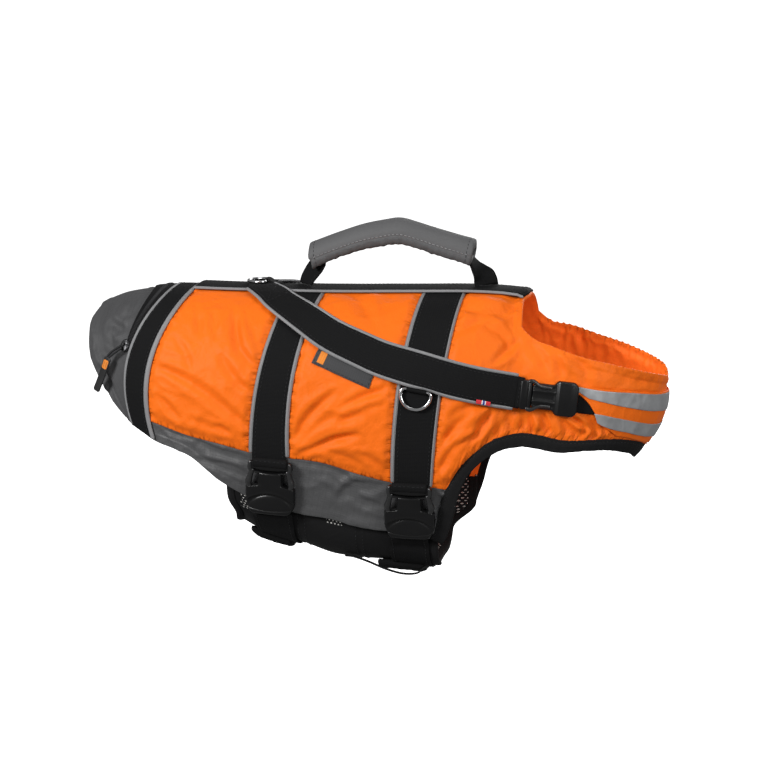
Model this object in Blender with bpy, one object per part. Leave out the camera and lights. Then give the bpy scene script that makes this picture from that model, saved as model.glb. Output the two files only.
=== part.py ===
"""Dog life jacket, filled out with no wearer.

Frame: +X towards the head, +Z up, the dog's right side is -Y (suffix _R), its left side +Y (suffix _L).
The origin is where the wearer's back carries the jacket: the inside of the shell on the spine, above x = 0.
All tables are in millimetres, with heights measured from mid height; BACK_Z brings them to the origin.
"""
import math
import bpy
import numpy as np

# ---------------------------------------------------------------- driving sizes (mm)
CLOTH = 2.5            # shell wall under the webbing
FOAM = 4.0             # extra height of the foam panels between the bands
GAP = 0.3              # clearance between sewn pieces
LIFT = 0.7             # a band above the shell skin, clear of the folds of its faces
WEB_T = 2.0            # webbing thickness
PIPE_W, PIPE_T = 4.0, 2.5   # flat reflective piping beside a band
SPINE_HALF = 25.5      # half width of the spine band with its piping
STRAP_W = 33.0         # shoulder strap with its piping
GIRTH_W = 38.0         # girth webbing at the buckles
BINDING_T = 4.0        # folded binding, thickness
HANDLE_W, HANDLE_T = 25.0, 3.0
RING_WIRE = 3.5        # steel wire of the D-rings
EXP = 2.3              # roundness of the trunk section (2 is an ellipse)
NECK_X = 150.0         # from here forward the chest closes to the nose in plan
NOSE_X = 281.0         # foremost point of the chest collar

# trunk form: section at x -> height of the back line, greatest half width, height of that width
FORM = (  # x, top, half_width, widest_z
    (-300.0, 70.0, 48.0, 15.0),
    (-270.0, 86.0, 62.0, 5.0),
    (-240.0, 93.0, 76.0, -2.0),
    (-210.0, 95.5, 86.0, -5.0),
    (-150.0, 94.5, 96.0, -10.0),
    (-60.0, 94.0, 100.0, -16.0),
    (40.0, 96.0, 100.0, -16.0),
    (85.0, 97.0, 98.0, -14.0),
    (118.0, 96.5, 91.0, -12.0),
    (150.0, 95.0, 83.0, -10.0),
)
# side-view lines down the jacket: x on the spine, x half way down, x and z at the lower edge, z of the flank seam
LINES = (  # name, x_top, x_mid, x_low, z_low, z_seam
    ("tail_hem", -286.5, -286.0, -247.0, -27.0, -14.0),
    ("tail_1", -262.0, -272.0, -244.5, -29.5, -17.0),
    ("tail_2", -237.0, -259.0, -242.0, -31.5, -20.0),
    ("rear_aft", -212.0, -245.5, -239.5, -34.0, -23.0),
    ("rear_mid", -200.0, -233.0, -228.0, -41.0, -25.0),
    ("rear_fore", -188.0, -220.0, -215.5, -48.0, -28.0),
    ("flank_1", -155.0, -183.0, -181.0, -60.0, -39.0),
    ("flank_2", -122.0, -147.0, -146.0, -87.0, -46.5),
    ("girth1_aft", -90.0, -114.0, -117.0, -102.0, -54.0),
    ("girth1_mid", -73.5, -96.0, -95.5, -109.0, -56.5),
    ("girth1_fore", -57.0, -78.0, -74.0, -115.0, -58.0),
    ("mid_1", -24.0, -43.5, -42.0, -120.0, -62.0),
    ("mid_2", 9.0, -9.0, -10.0, -128.0, -72.0),
    ("girth2_aft", 42.0, 24.5, 22.0, -131.5, -80.0),
    ("girth2_mid", 62.5, 45.0, 39.5, -135.0, -82.5),
    ("girth2_fore", 83.0, 66.0, 57.0, -138.0, -84.0),
    ("leg_1", 91.0, 77.5, 61.5, -126.0, -84.5),
    ("leg_2", 98.5, 86.5, 66.5, -108.0, -85.0),
    ("leg_3", 103.0, 92.5, 71.5, -92.0, -85.0),
    ("leg_4", 108.0, 99.0, 76.5, -81.0, None),
    ("leg_5", 117.0, 110.0, 87.5, -63.5, None),
    ("leg_6", 127.0, 123.0, 103.0, -47.5, None),
    ("leg_7", 137.0, 137.0, 123.0, -34.5, None),
    ("arch", 147.0, 150.0, 147.0, -29.5, None),
)
# chest collar, by plan angle round the nose: height of the neck edge and of the leg edge, width of the binding
COLLAR = (  # theta_deg, z_neck, z_low, binding
    (8.0, 55.0, -32.5, 12.0),
    (16.0, 48.5, -36.5, 11.5),
    (26.0, 41.5, -37.5, 9.5),
    (36.0, 36.5, -37.0, 10.0),
    (46.0, 31.5, -38.0, 11.0),
    (57.0, 26.5, -41.0, 12.5),
    (68.0, 22.5, -45.0, 13.5),
    (79.0, 19.0, -49.5, 15.0),
    (90.0, 16.5, -52.0, 16.0),
)
# binding of the leg opening along the trunk: lines from the hem corner up to the arch
LEG_BINDING = (  # line, width
    ("girth2_fore", 12.0), ("leg_1", 13.0), ("leg_2", 13.5), ("leg_3", 12.5), ("leg_4", 11.5),
    ("leg_5", 10.0), ("leg_6", 10.5), ("leg_7", 11.5), ("arch", 12.0),
)
# chest flap and its two tapes, by plan angle round the nose
FLAP_EDGE = (  # share of its height from the top, theta_deg of the rear edge
    (0.0, 24.5), (0.3, 27.0), (0.55, 30.5), (0.78, 35.0), (1.0, 44.0),
)
FLAP = (  # theta_deg, upper tape top, upper tape bottom, lower tape top, lower tape bottom, flap bottom
    (18.0, 17.5, 9.5, -6.0, -9.0, -28.0),
    (27.0, 13.5, 4.8, -9.0, -13.5, -29.0),
    (34.0, 11.0, 0.8, -12.0, -21.5, -30.5),
    (42.0, 9.0, -3.5, -16.0, -27.0, -32.5),
    (50.0, 7.2, -7.0, -19.5, -30.5, -35.0),
    (60.0, 4.6, -10.8, -23.5, -35.0, -39.5),
    (70.0, 2.6, -13.0, -26.2, -38.0, -43.5),
    (80.0, 1.8, -14.4, -27.6, -40.0, -46.5),
    (90.0, 1.6, -15.0, -28.0, -40.8, -48.0),
)
# shoulder strap centre line on the right side, projected to the form
STRAP = (  # x, y, z
    (-121.0, -21.0, 95.0), (-107.0, -37.0, 92.0), (-93.0, -52.0, 86.0), (-65.0, -70.0, 72.5),
    (-40.0, -81.0, 59.5), (-10.5, -88.0, 48.0), (14.5, -92.0, 39.0), (49.0, -94.0, 30.0),
    (97.0, -94.0, 19.0), (140.0, -84.0, 11.0),
)
# belly panel: half width and height where it tucks into the shell, height of its underside
BELLY = (  # x, z_tuck, z_under
    (-136.5, -64.5, -135.5), (-118.0, -71.0, -145.0), (-96.0, -78.5, -151.5), (-72.0, -84.0, -158.5),
    (-48.0, -89.5, -167.5), (-20.0, -95.6, -171.5), (8.0, -99.8, -172.0), (32.0, -103.4, -173.5),
    (55.0, -108.0, -176.0),
)
# grab handle: ridge of the sleeve
RIDGE = (  # x, z
    (-75.0, 142.0), (-49.0, 152.0), (-23.0, 161.0), (0.0, 166.0), (16.0, 168.0), (34.0, 164.0),
    (54.0, 158.0), (91.0, 148.0),
)
SLEEVE_SECTION = (  # y, z below the ridge
    (0.0, 0.0), (-9.0, -2.5), (-15.8, -9.0), (-17.0, -17.5), (-11.0, -24.0), (0.0, -24.0),
    (11.0, -24.0), (17.0, -17.5), (15.8, -9.0), (9.0, -2.5),
)
SLEEVE_BORE = (  # y, z below the ridge: the way through for the handle webbing
    (0.0, -9.8), (-9.0, -9.8), (-13.6, -10.6), (-13.6, -16.4), (-9.0, -17.3), (0.0, -17.3),
    (9.0, -17.3), (13.6, -16.4), (13.6, -10.6), (9.0, -9.8),
)
SLEEVE_LEAN = (0.08, -0.19)     # how far its rear and front ends lean, per mm down
HANDLE = (  # x, z, turn_deg: handle webbing from its rear foot to its front foot
    (-80.5, 100.6, 16.0), (-78.5, 106.0, 16.0), (-74.0, 113.0, 10.0), (-70.5, 119.0, 3.0), (-69.5, 126.0, 0.0),
    (-66.0, 131.6, 0.0), (-58.5, 134.9, 0.0),
    (-49.0, 138.6, 0.0), (-23.0, 147.5, 0.0), (0.0, 152.5, 0.0), (15.0, 154.4, 0.0), (33.0, 150.5, 0.0),
    (53.0, 144.6, 0.0), (78.0, 138.0, 0.0), (91.0, 134.4, 0.0), (98.5, 127.0, 14.0), (101.5, 117.0, 42.0),
    (102.5, 109.0, 48.0), (103.0, 102.9, 45.0),
)
# zip pull: centre line on the right side, with its width
PULL = (  # x, z, height off the skin, width
    (-248.0, 41.5, 8.4, 4.0), (-252.5, 38.6, 8.6, 3.6), (-257.0, 35.6, 8.8, 3.6), (-260.5, 32.5, 8.9, 4.0),
    (-261.8, 30.6, 8.9, 8.6), (-265.5, 21.0, 9.0, 9.0), (-270.0, 9.5, 9.4, 9.0), (-274.2, -1.2, 10.5, 9.0),
)
RING_W, RING_H = 29.5, 18.75    # D-ring: width and depth of the bow at the middle of the wire
RING_BAR = 21.0                 # straight bar of a D-ring
LOOP_T = 0.8                    # webbing of a ring loop
# girth buckle outline, by distance down its length
GIRTH_BUCKLE = (  # u, half_width
    (0.0, 21.0), (2.5, 23.5), (10.0, 23.5), (13.5, 19.5), (19.0, 19.5), (24.0, 24.5), (30.0, 25.5),
    (50.0, 25.5), (55.0, 24.0), (57.0, 21.0),
)
SHOULDER_BUCKLE = (  # u, half_width
    (0.0, 15.0), (1.5, 16.5), (8.0, 16.5), (12.0, 12.5), (17.0, 12.5), (21.0, 15.5), (32.0, 16.0),
    (50.0, 16.5), (53.0, 14.5),
)

SPINE0 = 0.0  # x of the origin


# ---------------------------------------------------------------- curves and the form
def smooth(table, x, col, end_flat=False):
    """Cubic through one column of a table, by its first column."""
    xs = np.array([r[0] for r in table], float)
    ys = np.array([r[col] for r in table], float)
    m = np.empty_like(ys)
    m[1:-1] = (ys[2:] - ys[:-2]) / (xs[2:] - xs[:-2])
    m[0] = (ys[1] - ys[0]) / (xs[1] - xs[0])
    m[-1] = 0.0 if end_flat else (ys[-1] - ys[-2]) / (xs[-1] - xs[-2])
    x = np.clip(np.asarray(x, float), xs[0], xs[-1])
    i = np.clip(np.searchsorted(xs, x) - 1, 0, len(xs) - 2)
    h = xs[i + 1] - xs[i]
    t = (x - xs[i]) / h
    return ((2 * t**3 - 3 * t**2 + 1) * ys[i] + (t**3 - 2 * t**2 + t) * h * m[i]
            + (-2 * t**3 + 3 * t**2) * ys[i + 1] + (t**3 - t**2) * h * m[i + 1])


def section(x):
    return smooth(FORM, x, 1, True), smooth(FORM, x, 2, True), smooth(FORM, x, 3, True)


def nose_x(z):
    return NOSE_X - 0.0078 * np.clip(z, -75.0, 0.0) ** 2


def section_width(x, z):
    """Half width of the section at x, at height z."""
    top, half, wide = section(x)
    q = np.clip((z - wide) / (top - wide), 0.0, 1.0)
    up = half * (1 - q**EXP) ** (1 / EXP)
    dn = half * (1 - 0.36 * (np.maximum(wide - z, 0) / 150.0) ** 2)
    return np.where(z > wide, up, dn)


def form_width(x, z):
    """Half width of the whole form at a side-view position."""
    x, z = np.asarray(x, float), np.asarray(z, float)
    base = section_width(np.minimum(x, NECK_X), z)
    u = np.clip((x - NECK_X) / (nose_x(z) - NECK_X), 0.0, 1.0)
    return base * np.sqrt(1 - u * u)


def implicit(p):
    """Zero on the form, positive outside."""
    x, y, z = p[..., 0], np.abs(p[..., 1]), p[..., 2]
    xc = np.minimum(x, NECK_X)
    top, half, wide = section(xc)
    low = half * (1 - 0.36 * (np.maximum(wide - z, 0) / 150.0) ** 2)
    q = np.maximum((z - wide) / (top - wide), 0.0)
    trunk = (y / low) ** EXP + q**EXP - 1.0
    base = section_width(xc, z)
    u = np.maximum((x - NECK_X) / (nose_x(z) - NECK_X), 0.0)
    nose = (y / np.maximum(base, 1.0)) ** 2 + u * u - 1.0
    return np.where(x > NECK_X, nose, trunk)


def gradient(p):
    e = 0.02
    g = np.empty_like(p)
    for k in range(3):
        d = np.zeros(3)
        d[k] = e
        g[..., k] = (implicit(p + d) - implicit(p - d)) / (2 * e)
    return g


def normal(p):
    g = gradient(p)
    return g / np.maximum(np.linalg.norm(g, axis=-1, keepdims=True), 1e-12)


def project(p, steps=5):
    """Nearest point of the form along its gradient."""
    p = np.array(p, float)
    for _ in range(steps):
        g = gradient(p)
        p = p - implicit(p)[..., None] * g / np.maximum((g * g).sum(-1, keepdims=True), 1e-12)
    return p


def on_form(x, z):
    """Point of the right side at a side-view position."""
    return np.stack([np.asarray(x, float), -form_width(x, z), np.asarray(z, float)], -1)


def line_x(line, z, z_top):
    _, xt, xm, xl, zl, _ = line
    zm = 0.5 * (z_top + zl)
    a, b, c = z_top, zm, zl
    return (xt * (z - b) * (z - c) / ((a - b) * (a - c)) + xm * (z - a) * (z - c) / ((b - a) * (b - c))
            + xl * (z - a) * (z - b) / ((c - a) * (c - b)))


def line_points(line, n=400):
    """Dense right-side points down one side-view line, from the spine to the lower edge."""
    z_top = float(section(line[1])[0])
    z = z_top - (z_top - line[4]) * np.linspace(0, 1, n) ** 2.2
    x = line_x(line, z, z_top)
    p = on_form(x, z)
    p[0] = (line[1], 0.0, z_top)
    return p


def resample(p, arcs):
    s = np.concatenate([[0], np.cumsum(np.linalg.norm(np.diff(p, axis=0), axis=1))])
    return np.stack([np.interp(arcs, s, p[:, k]) for k in range(3)], -1)


def arc_at_z(p, z):
    s = np.concatenate([[0], np.cumsum(np.linalg.norm(np.diff(p, axis=0), axis=1))])
    return float(np.interp(-z, -p[:, 2], s))


def through(points, n):
    """n evenly spaced points of a smooth curve through the given ones."""
    c = np.array(points, float)
    e = np.vstack([2 * c[0] - c[1], c, 2 * c[-1] - c[-2]])
    out = []
    for i in range(1, len(e) - 2):
        for t in np.linspace(0, 1, 24, endpoint=False):
            a, b, d, f = e[i - 1], e[i], e[i + 1], e[i + 2]
            out.append(0.5 * (2 * b + (d - a) * t + (2 * a - 5 * b + 4 * d - f) * t**2 + (3 * b - a - 3 * d + f) * t**3))
    out.append(e[-2])
    out = np.array(out)
    s = np.linalg.norm(np.diff(out, axis=0), axis=1).sum()
    return resample(out, np.linspace(0, s, n))


# ---------------------------------------------------------------- the shell grid
NAMES = [l[0] for l in LINES]
COL = {n: i for i, n in enumerate(NAMES)}
NECK_ROW, SEAM_ROW, HEM_ROW = 5, 10, 12


def shell_grid():
    """Right-side shell points by (column, row); rows run spine, neck level, flank seam, hem."""
    cols = []
    for line in LINES:
        p = line_points(line)
        top = p[0, 2]
        neck = arc_at_z(p, top - 34.0)
        total = arc_at_z(p, line[4])
        seam = arc_at_z(p, line[5]) if line[5] is not None else total
        arcs = [0.0, SPINE_HALF / 2, SPINE_HALF]
        arcs += [SPINE_HALF + (neck - SPINE_HALF) * k / 3 for k in (1, 2, 3)]
        arcs += [neck + (seam - neck) * k / 5 for k in range(1, 6)]
        arcs += [seam + (total - seam) * k / 2 for k in (1, 2)]
        cols.append(resample(p, arcs))
    for theta, z_neck, z_low, _ in COLLAR:
        t = math.radians(theta)
        col = np.full((HEM_ROW + 1, 3), np.nan)
        for k in range(NECK_ROW, SEAM_ROW + 1):
            z = z_neck + (z_low - z_neck) * (k - NECK_ROW) / (SEAM_ROW - NECK_ROW)
            col[k] = (NECK_X + (nose_x(z) - NECK_X) * math.sin(t), -section_width(NECK_X, z) * math.cos(t), z)
        cols.append(col)
    return np.array(cols)


SHELL = shell_grid()
NORM = normal(SHELL)
NORM[:, 0, 1] = 0.0
NORM[:, 0] /= np.linalg.norm(NORM[:, 0], axis=-1, keepdims=True)
ARCH = COL["arch"]
NOSE = len(SHELL) - 1
BACK_Z = float(section(SPINE0)[0]) - CLOTH


def at(c, r, h=0.0):
    """Shell point and normal at fractional column and row, on the faces between grid points."""
    i, j = min(int(c), len(SHELL) - 2), min(int(r), HEM_ROW - 1)
    u, v = c - i, r - j
    w = [((1 - u) * (1 - v), i, j), (u * (1 - v), i + 1, j), ((1 - u) * v, i, j + 1), (u * v, i + 1, j + 1)]
    p = sum(k * SHELL[a, b] for k, a, b in w if k > 1e-9)
    n = sum(k * NORM[a, b] for k, a, b in w if k > 1e-9)
    n = n / np.linalg.norm(n)
    return p + n * h


# ---------------------------------------------------------------- mesh helpers
def clear_scene():
    for ob in list(bpy.data.objects):
        bpy.data.objects.remove(ob, do_unlink=True)


MATERIALS = {
    "orange_nylon": ((0.90, 0.20, 0.02), 0.55, 0.0),
    "grey_ripstop": ((0.085, 0.085, 0.088), 0.75, 0.0),
    "sleeve_grey": ((0.13, 0.13, 0.13), 0.7, 0.0),
    "black_webbing": ((0.012, 0.012, 0.013), 0.8, 0.0),
    "black_neoprene": ((0.012, 0.012, 0.012), 0.85, 0.0),
    "reflective_piping": ((0.27, 0.27, 0.28), 0.45, 0.0),
    "reflective_tape": ((0.22, 0.225, 0.23), 0.4, 0.2),
    "black_plastic": ((0.012, 0.012, 0.013), 0.35, 0.0),
    "steel": ((0.55, 0.55, 0.56), 0.2, 1.0),
    "label_grey": ((0.05, 0.05, 0.052), 0.7, 0.0),
    "flag_red": ((0.55, 0.03, 0.04), 0.7, 0.0),
}


def material(name, slot):
    colour, rough, metal = MATERIALS[slot]
    m = bpy.data.materials.new(name + "_" + slot)
    m.use_nodes = True
    b = m.node_tree.nodes["Principled BSDF"]
    b.inputs["Base Color"].default_value = (*colour, 1.0)
    b.inputs["Roughness"].default_value = rough
    b.inputs["Metallic"].default_value = metal
    return m


def make(name, verts, faces, slot, origin=(0, 0, 0), mirror=False):
    """Closed body from points in mm; origin is the object's own origin in mm (a joint's axis)."""
    v = np.array(verts, float)
    v[:, 2] -= BACK_Z
    o = np.array(origin, float)
    if o.any():
        o = o - np.array([0, 0, BACK_Z])
    if mirror:
        v[:, 1] *= -1
    v = (v - o) * 0.001
    me = bpy.data.meshes.new(name)
    me.from_pydata([tuple(q) for q in v], [], faces)
    me.validate()
    import bmesh
    bm = bmesh.new()
    bm.from_mesh(me)
    bmesh.ops.recalc_face_normals(bm, faces=bm.faces)
    if bm.calc_volume(signed=True) < 0:
        bmesh.ops.reverse_faces(bm, faces=bm.faces)
    bm.to_mesh(me)
    bm.free()
    me.materials.append(material(name, slot))
    ob = bpy.data.objects.new(name, me)
    ob.location = tuple(o * 0.001)
    bpy.context.collection.objects.link(ob)
    return ob


def slab(outer, inner, mask=None):
    """Closed wall between two matching point grids; mask keeps the cells that exist."""
    outer, inner = np.asarray(outer), np.asarray(inner)
    ni, nj = outer.shape[:2]
    if mask is None:
        mask = np.ones((ni - 1, nj - 1), bool)
    index, verts = {}, []

    def vid(side, i, j):
        key = (side, i, j)
        if key not in index:
            index[key] = len(verts)
            verts.append(tuple((outer if side == 0 else inner)[i, j]))
        return index[key]

    faces, edges = [], {}
    for i in range(ni - 1):
        for j in range(nj - 1):
            if not mask[i, j]:
                continue
            q = [(i, j), (i + 1, j), (i + 1, j + 1), (i, j + 1)]
            faces.append([vid(0, *a) for a in q])
            faces.append([vid(1, *a) for a in reversed(q)])
            for k in range(4):
                a, b = q[k], q[(k + 1) % 4]
                if (b, a) in edges:
                    del edges[(b, a)]
                else:
                    edges[(a, b)] = True
    for a, b in edges:
        faces.append([vid(0, *b), vid(0, *a), vid(1, *a), vid(1, *b)])
    return verts, faces


def tube(rings, close=False):
    """Closed body through matching rings of points, with end caps unless it closes on itself."""
    n, m = len(rings), len(rings[0])
    verts = [tuple(p) for r in rings for p in r]
    faces = []
    for i in range(n if close else n - 1):
        a, b = i * m, ((i + 1) % n) * m
        for k in range(m):
            l = (k + 1) % m
            faces.append([a + k, a + l, b + l, b + k])
    if not close:
        faces.append(list(range(m))[::-1])
        faces.append([(n - 1) * m + k for k in range(m)])
    return verts, faces


def pull_in(grid, mask_edge, d):
    """Move one boundary line of a grid inwards by d: 'i0', 'i1', 'j0' or 'j1'."""
    g = grid
    a, b = {"i0": (g[0], g[1]), "i1": (g[-1], g[-2]), "j0": (g[:, 0], g[:, 1]), "j1": (g[:, -1], g[:, -2])}[mask_edge]
    v = b - a
    v = v / np.maximum(np.linalg.norm(v, axis=-1, keepdims=True), 1e-9)
    a += np.nan_to_num(v) * d


# ---------------------------------------------------------------- shell panels
def puff_at(name_col, row, kind):
    """Height of the foam above the shell skin."""
    if kind == "none":
        return 0.0
    name = NAMES[name_col] if name_col < len(NAMES) else "collar"
    if name in ("rear_mid", "girth1_mid", "girth2_mid", "girth1_aft", "girth1_fore", "girth2_aft", "girth2_fore",
                "rear_fore", "rear_aft"):
        return 0.0
    if row <= 1:
        return 2.4
    if row == 2:
        return 2.2
    rise = {3: 0.8, 4: 1.0, 5: 1.0, 6: 1.0, 7: 1.0, 8: 1.0, 9: 0.85, 10: 0.15}.get(row, 0.0)
    if kind == "foam":
        return FOAM * rise
    fade = {"leg_1": 0.6, "leg_2": 0.75, "leg_3": 0.75, "leg_4": 0.75, "leg_5": 0.6, "leg_6": 0.4, "leg_7": 0.2}
    return FOAM * rise * fade.get(name, 0.0)


def panel(name, c0, c1, r0, r1, kind, slot, gaps, mask=None):
    p = SHELL[c0:c1 + 1, r0:r1 + 1].copy()
    n = NORM[c0:c1 + 1, r0:r1 + 1]
    for g in gaps:
        pull_in(p, g, 0.5 * GAP + 0.02)
    if r0 == 0:
        p[:, 0, 1] = -0.5 * GAP
    if c1 == NOSE:
        p[-1, :, 1] = -0.5 * GAP
    puff = np.array([[puff_at(c, r, kind) for r in range(r0, r1 + 1)] for c in range(c0, c1 + 1)])
    v, f = slab(p + n * puff[..., None], p - n * CLOTH, mask)
    for side, flip in (("_R", False), ("_L", True)):
        make(name + side, v, f, slot, mirror=flip)


def shell():
    c = COL
    # tail hood: one piece over the rump
    a, b = c["tail_hem"], c["rear_mid"]
    p, n = SHELL[a:b + 1].copy(), NORM[a:b + 1].copy()
    pull_in(p, "i1", 0.5 * GAP + 0.02)
    flip = np.array([1, -1, 1])
    p2 = np.concatenate([p[:, ::-1], p[:, 1:] * flip], axis=1)
    n2 = np.concatenate([n[:, ::-1], n[:, 1:] * flip], axis=1)
    v, f = slab(p2, p2 - n2 * CLOTH)
    make("tail_panel", v, f, "grey_ripstop")
    panel("rear_panel", c["rear_mid"], c["girth1_mid"], 0, SEAM_ROW, "foam", "orange_nylon", ("i0", "i1", "j1"))
    panel("mid_panel", c["girth1_mid"], c["girth2_mid"], 0, SEAM_ROW, "foam", "orange_nylon", ("i0", "i1", "j1"))
    # front panel: the collar part has no rows above the neck edge
    nc = NOSE - c["girth2_mid"]
    mask = np.ones((nc, SEAM_ROW), bool)
    mask[ARCH - c["girth2_mid"]:, :NECK_ROW] = False
    panel("front_panel", c["girth2_mid"], NOSE, 0, SEAM_ROW, "front", "orange_nylon", ("i0", "j1"), mask)
    panel("lower_panel", c["rear_mid"], c["leg_3"], SEAM_ROW, HEM_ROW, "none", "grey_ripstop", ("i0", "j0"))


# ---------------------------------------------------------------- bands on the shell
def wrapped(name, c_list, r_end, h0, h1, slot):
    """Band over the back along fractional columns, from its right end to its left end."""
    rows = [r for r in range(0, int(math.floor(r_end - 1e-6)) + 1)] + [r_end]
    near = np.array([[at(c, r, h0) for r in rows] for c in c_list])
    far = np.array([[at(c, r, h1) for r in rows] for c in c_list])
    flip = np.array([1, -1, 1])
    inner = np.concatenate([near[:, ::-1], near[:, 1:] * flip], axis=1)
    outer = np.concatenate([far[:, ::-1], far[:, 1:] * flip], axis=1)
    v, f = slab(outer, inner)
    make(name, v, f, slot)


def banded(name, aft, width, end_black, end_pipe):
    """A webbing band with piping on both edges; aft is the column of its rear edge."""
    k = 2.0 / width                 # columns per mm across the band
    g = GAP * k
    w = PIPE_W * k
    wrapped(name + "_piping_aft", (aft, aft + w), end_pipe, LIFT, LIFT + PIPE_T, "reflective_piping")
    wrapped(name, (aft + w + g, aft + 1, aft + 2 - w - g), end_black, LIFT, LIFT + WEB_T, "black_webbing")
    wrapped(name + "_piping_fore", (aft + 2 - w, aft + 2), end_pipe, LIFT, LIFT + PIPE_T, "reflective_piping")


SPINE_H = LIFT + PIPE_T + GAP       # the spine band crosses over the girth bands


def spine_band():
    c = COL
    cols = [c["rear_fore"] + 0.05] + list(range(c["flank_1"], ARCH + 1))
    flip = np.array([1, -1, 1])
    edge = (SPINE_HALF - PIPE_W - GAP) / (SPINE_HALF / 2)
    rows = (edge, 1, 0)
    half = [np.array([[at(q, r, h) for r in rows] for q in cols]) for h in (SPINE_H, SPINE_H + WEB_T)]
    inner, outer = [np.concatenate([g, g[:, 1::-1][:, :] * flip], axis=1) for g in half]
    v, f = slab(outer, inner)
    make("spine_band", v, f, "black_webbing")
    rows = (2.0, 2.0 - PIPE_W / (SPINE_HALF / 2))
    inner, outer = [np.array([[at(q, r, h) for r in rows] for q in cols]) for h in (SPINE_H, SPINE_H + PIPE_T)]
    v, f = slab(outer, inner)
    make("spine_piping_R", v, f, "reflective_piping")
    make("spine_piping_L", v, f, "reflective_piping", mirror=True)


# ---------------------------------------------------------------- ribbons laid on the form
def ribbon(centre, offsets, h0, h1, lift=None):
    """Strip round a centre line on the form; offsets are distances across it, heights are off the skin."""
    centre = project(centre)
    t = np.gradient(centre, axis=0)
    t /= np.linalg.norm(t, axis=1, keepdims=True)
    n = normal(centre)
    b = np.cross(n, t)
    grid = np.stack([project(centre + b * o) for o in offsets], axis=0)
    nn = normal(grid)
    up = np.zeros(len(centre)) if lift is None else np.asarray(lift, float)
    return grid + nn * (h0 + up)[None, :, None], grid + nn * (h1 + up)[None, :, None]


STRAP_H = SPINE_H + PIPE_T + GAP
SIDE_RING_X, SIDE_RING_Z = 47.0, 12.4
BACK_RING_X = -119.0


def shoulder_straps():
    line = through(STRAP, 20)
    w = STRAP_W / 2
    lift = 3.4 * np.exp(-((line[:, 0] - SIDE_RING_X) / 28.0) ** 2)      # over the bar of the side ring
    lift += 0.5 * np.clip((-85.0 - line[:, 0]) / 20.0, 0.0, 1.0)        # over the edge of the spine band
    for name, offs, dh, slot in (
            ("shoulder_strap", (-w + PIPE_W + GAP, 0.0, w - PIPE_W - GAP), WEB_T, "black_webbing"),
            ("strap_piping_lower", (-w, -w + PIPE_W), PIPE_T, "reflective_piping"),
            ("strap_piping_upper", (w - PIPE_W, w), PIPE_T, "reflective_piping")):
        inner, outer = ribbon(line, offs, STRAP_H, STRAP_H + dh, lift)
        v, f = slab(outer, inner)
        make(name + "_R", v, f, slot)
        make(name + "_L", v, f, slot, mirror=True)



# ---------------------------------------------------------------- chest flap, bindings, trims
def collar_point(theta, z, h):
    t = math.radians(theta)
    p = np.array([NECK_X + (float(nose_x(z)) - NECK_X) * math.sin(t),
                  -float(section_width(NECK_X, z)) * math.cos(t), z])
    n = normal(p[None])[0]
    if theta > 89.99:
        n[1] = 0.0
        n /= np.linalg.norm(n)
    return p + n * h


def round_nose(name, columns, h0, h1, slot):
    """Piece round the chest; columns are lists of (theta, z) from its rear edge to the middle of the nose."""
    flip = np.array([1, -1, 1])
    inner, outer = [np.array([[collar_point(t, z, h) for t, z in col] for col in columns]) for h in (h0, h1)]
    inner = np.concatenate([inner, inner[-2::-1] * flip])
    outer = np.concatenate([outer, outer[-2::-1] * flip])
    v, f = slab(outer, inner)
    make(name, v, f, slot)


FLAP_H, FLAP_T = 3.6, 1.6


def chest_flap():
    n = 9
    vs = (0.0, 0.3, 0.55, 0.78, 1.0)
    cols = []
    for k in range(n):
        col = []
        for v in vs:
            t0 = float(smooth(FLAP_EDGE, v, 1))
            t = t0 + (90.0 - t0) * k / (n - 1)
            top, bottom = float(smooth(FLAP, t, 1)) + 1.2, float(smooth(FLAP, t, 5))
            col.append((t, top + (bottom - top) * v))
        cols.append(col)
    round_nose("chest_flap", cols, FLAP_H, FLAP_H + FLAP_T, "orange_nylon")
    h = FLAP_H + FLAP_T + 0.5
    for name, a, b, t_top, t_low in (("tape_upper", 1, 2, 25.0, 27.0), ("tape_lower", 3, 4, 29.5, 31.5)):
        cols = []
        for k in range(10):
            col = []
            for v in (0.0, 0.5, 1.0):
                t0 = t_top + (t_low - t_top) * v
                t = t0 + (90.0 - t0) * k / 9
                za, zb = float(smooth(FLAP, t, a)), float(smooth(FLAP, t, b))
                col.append((t, za + (zb - za) * v))
            cols.append(col)
        round_nose(name, cols, h, h + 0.9, "reflective_tape")


def leg_bindings():
    edge, width = [], []
    for name, w in LEG_BINDING:
        c = COL[name]
        edge.append(SHELL[c, HEM_ROW if LINES[c][5] is not None else SEAM_ROW])
        width.append(w)
    for k, row in enumerate(COLLAR):
        edge.append(SHELL[ARCH + 1 + k, SEAM_ROW])
        width.append(row[3])
    edge, width = np.array(edge), np.array(width)
    t = np.gradient(edge, axis=0)
    t[-1] = (0, 1, 0)
    t /= np.linalg.norm(t, axis=1, keepdims=True)
    n = normal(edge)
    n[-1, 1] = 0
    n /= np.linalg.norm(n, axis=1, keepdims=True)
    b = np.cross(t, n)                                  # in the skin, away from the panel
    b[:, 2] = np.where(b[:, 2] > 0.6, -b[:, 2], b[:, 2])
    grid = np.stack([edge + b * (GAP + 0.1), edge + b * (0.5 * width[:, None]), edge + b * width[:, None]], axis=0)
    grid[:, -1, 1] = -0.5 * GAP
    v, f = slab(grid + n * 0.7, grid - n * (BINDING_T - 0.7))
    make("leg_binding_R", v, f, "black_webbing")
    make("leg_binding_L", v, f, "black_webbing", mirror=True)


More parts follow.
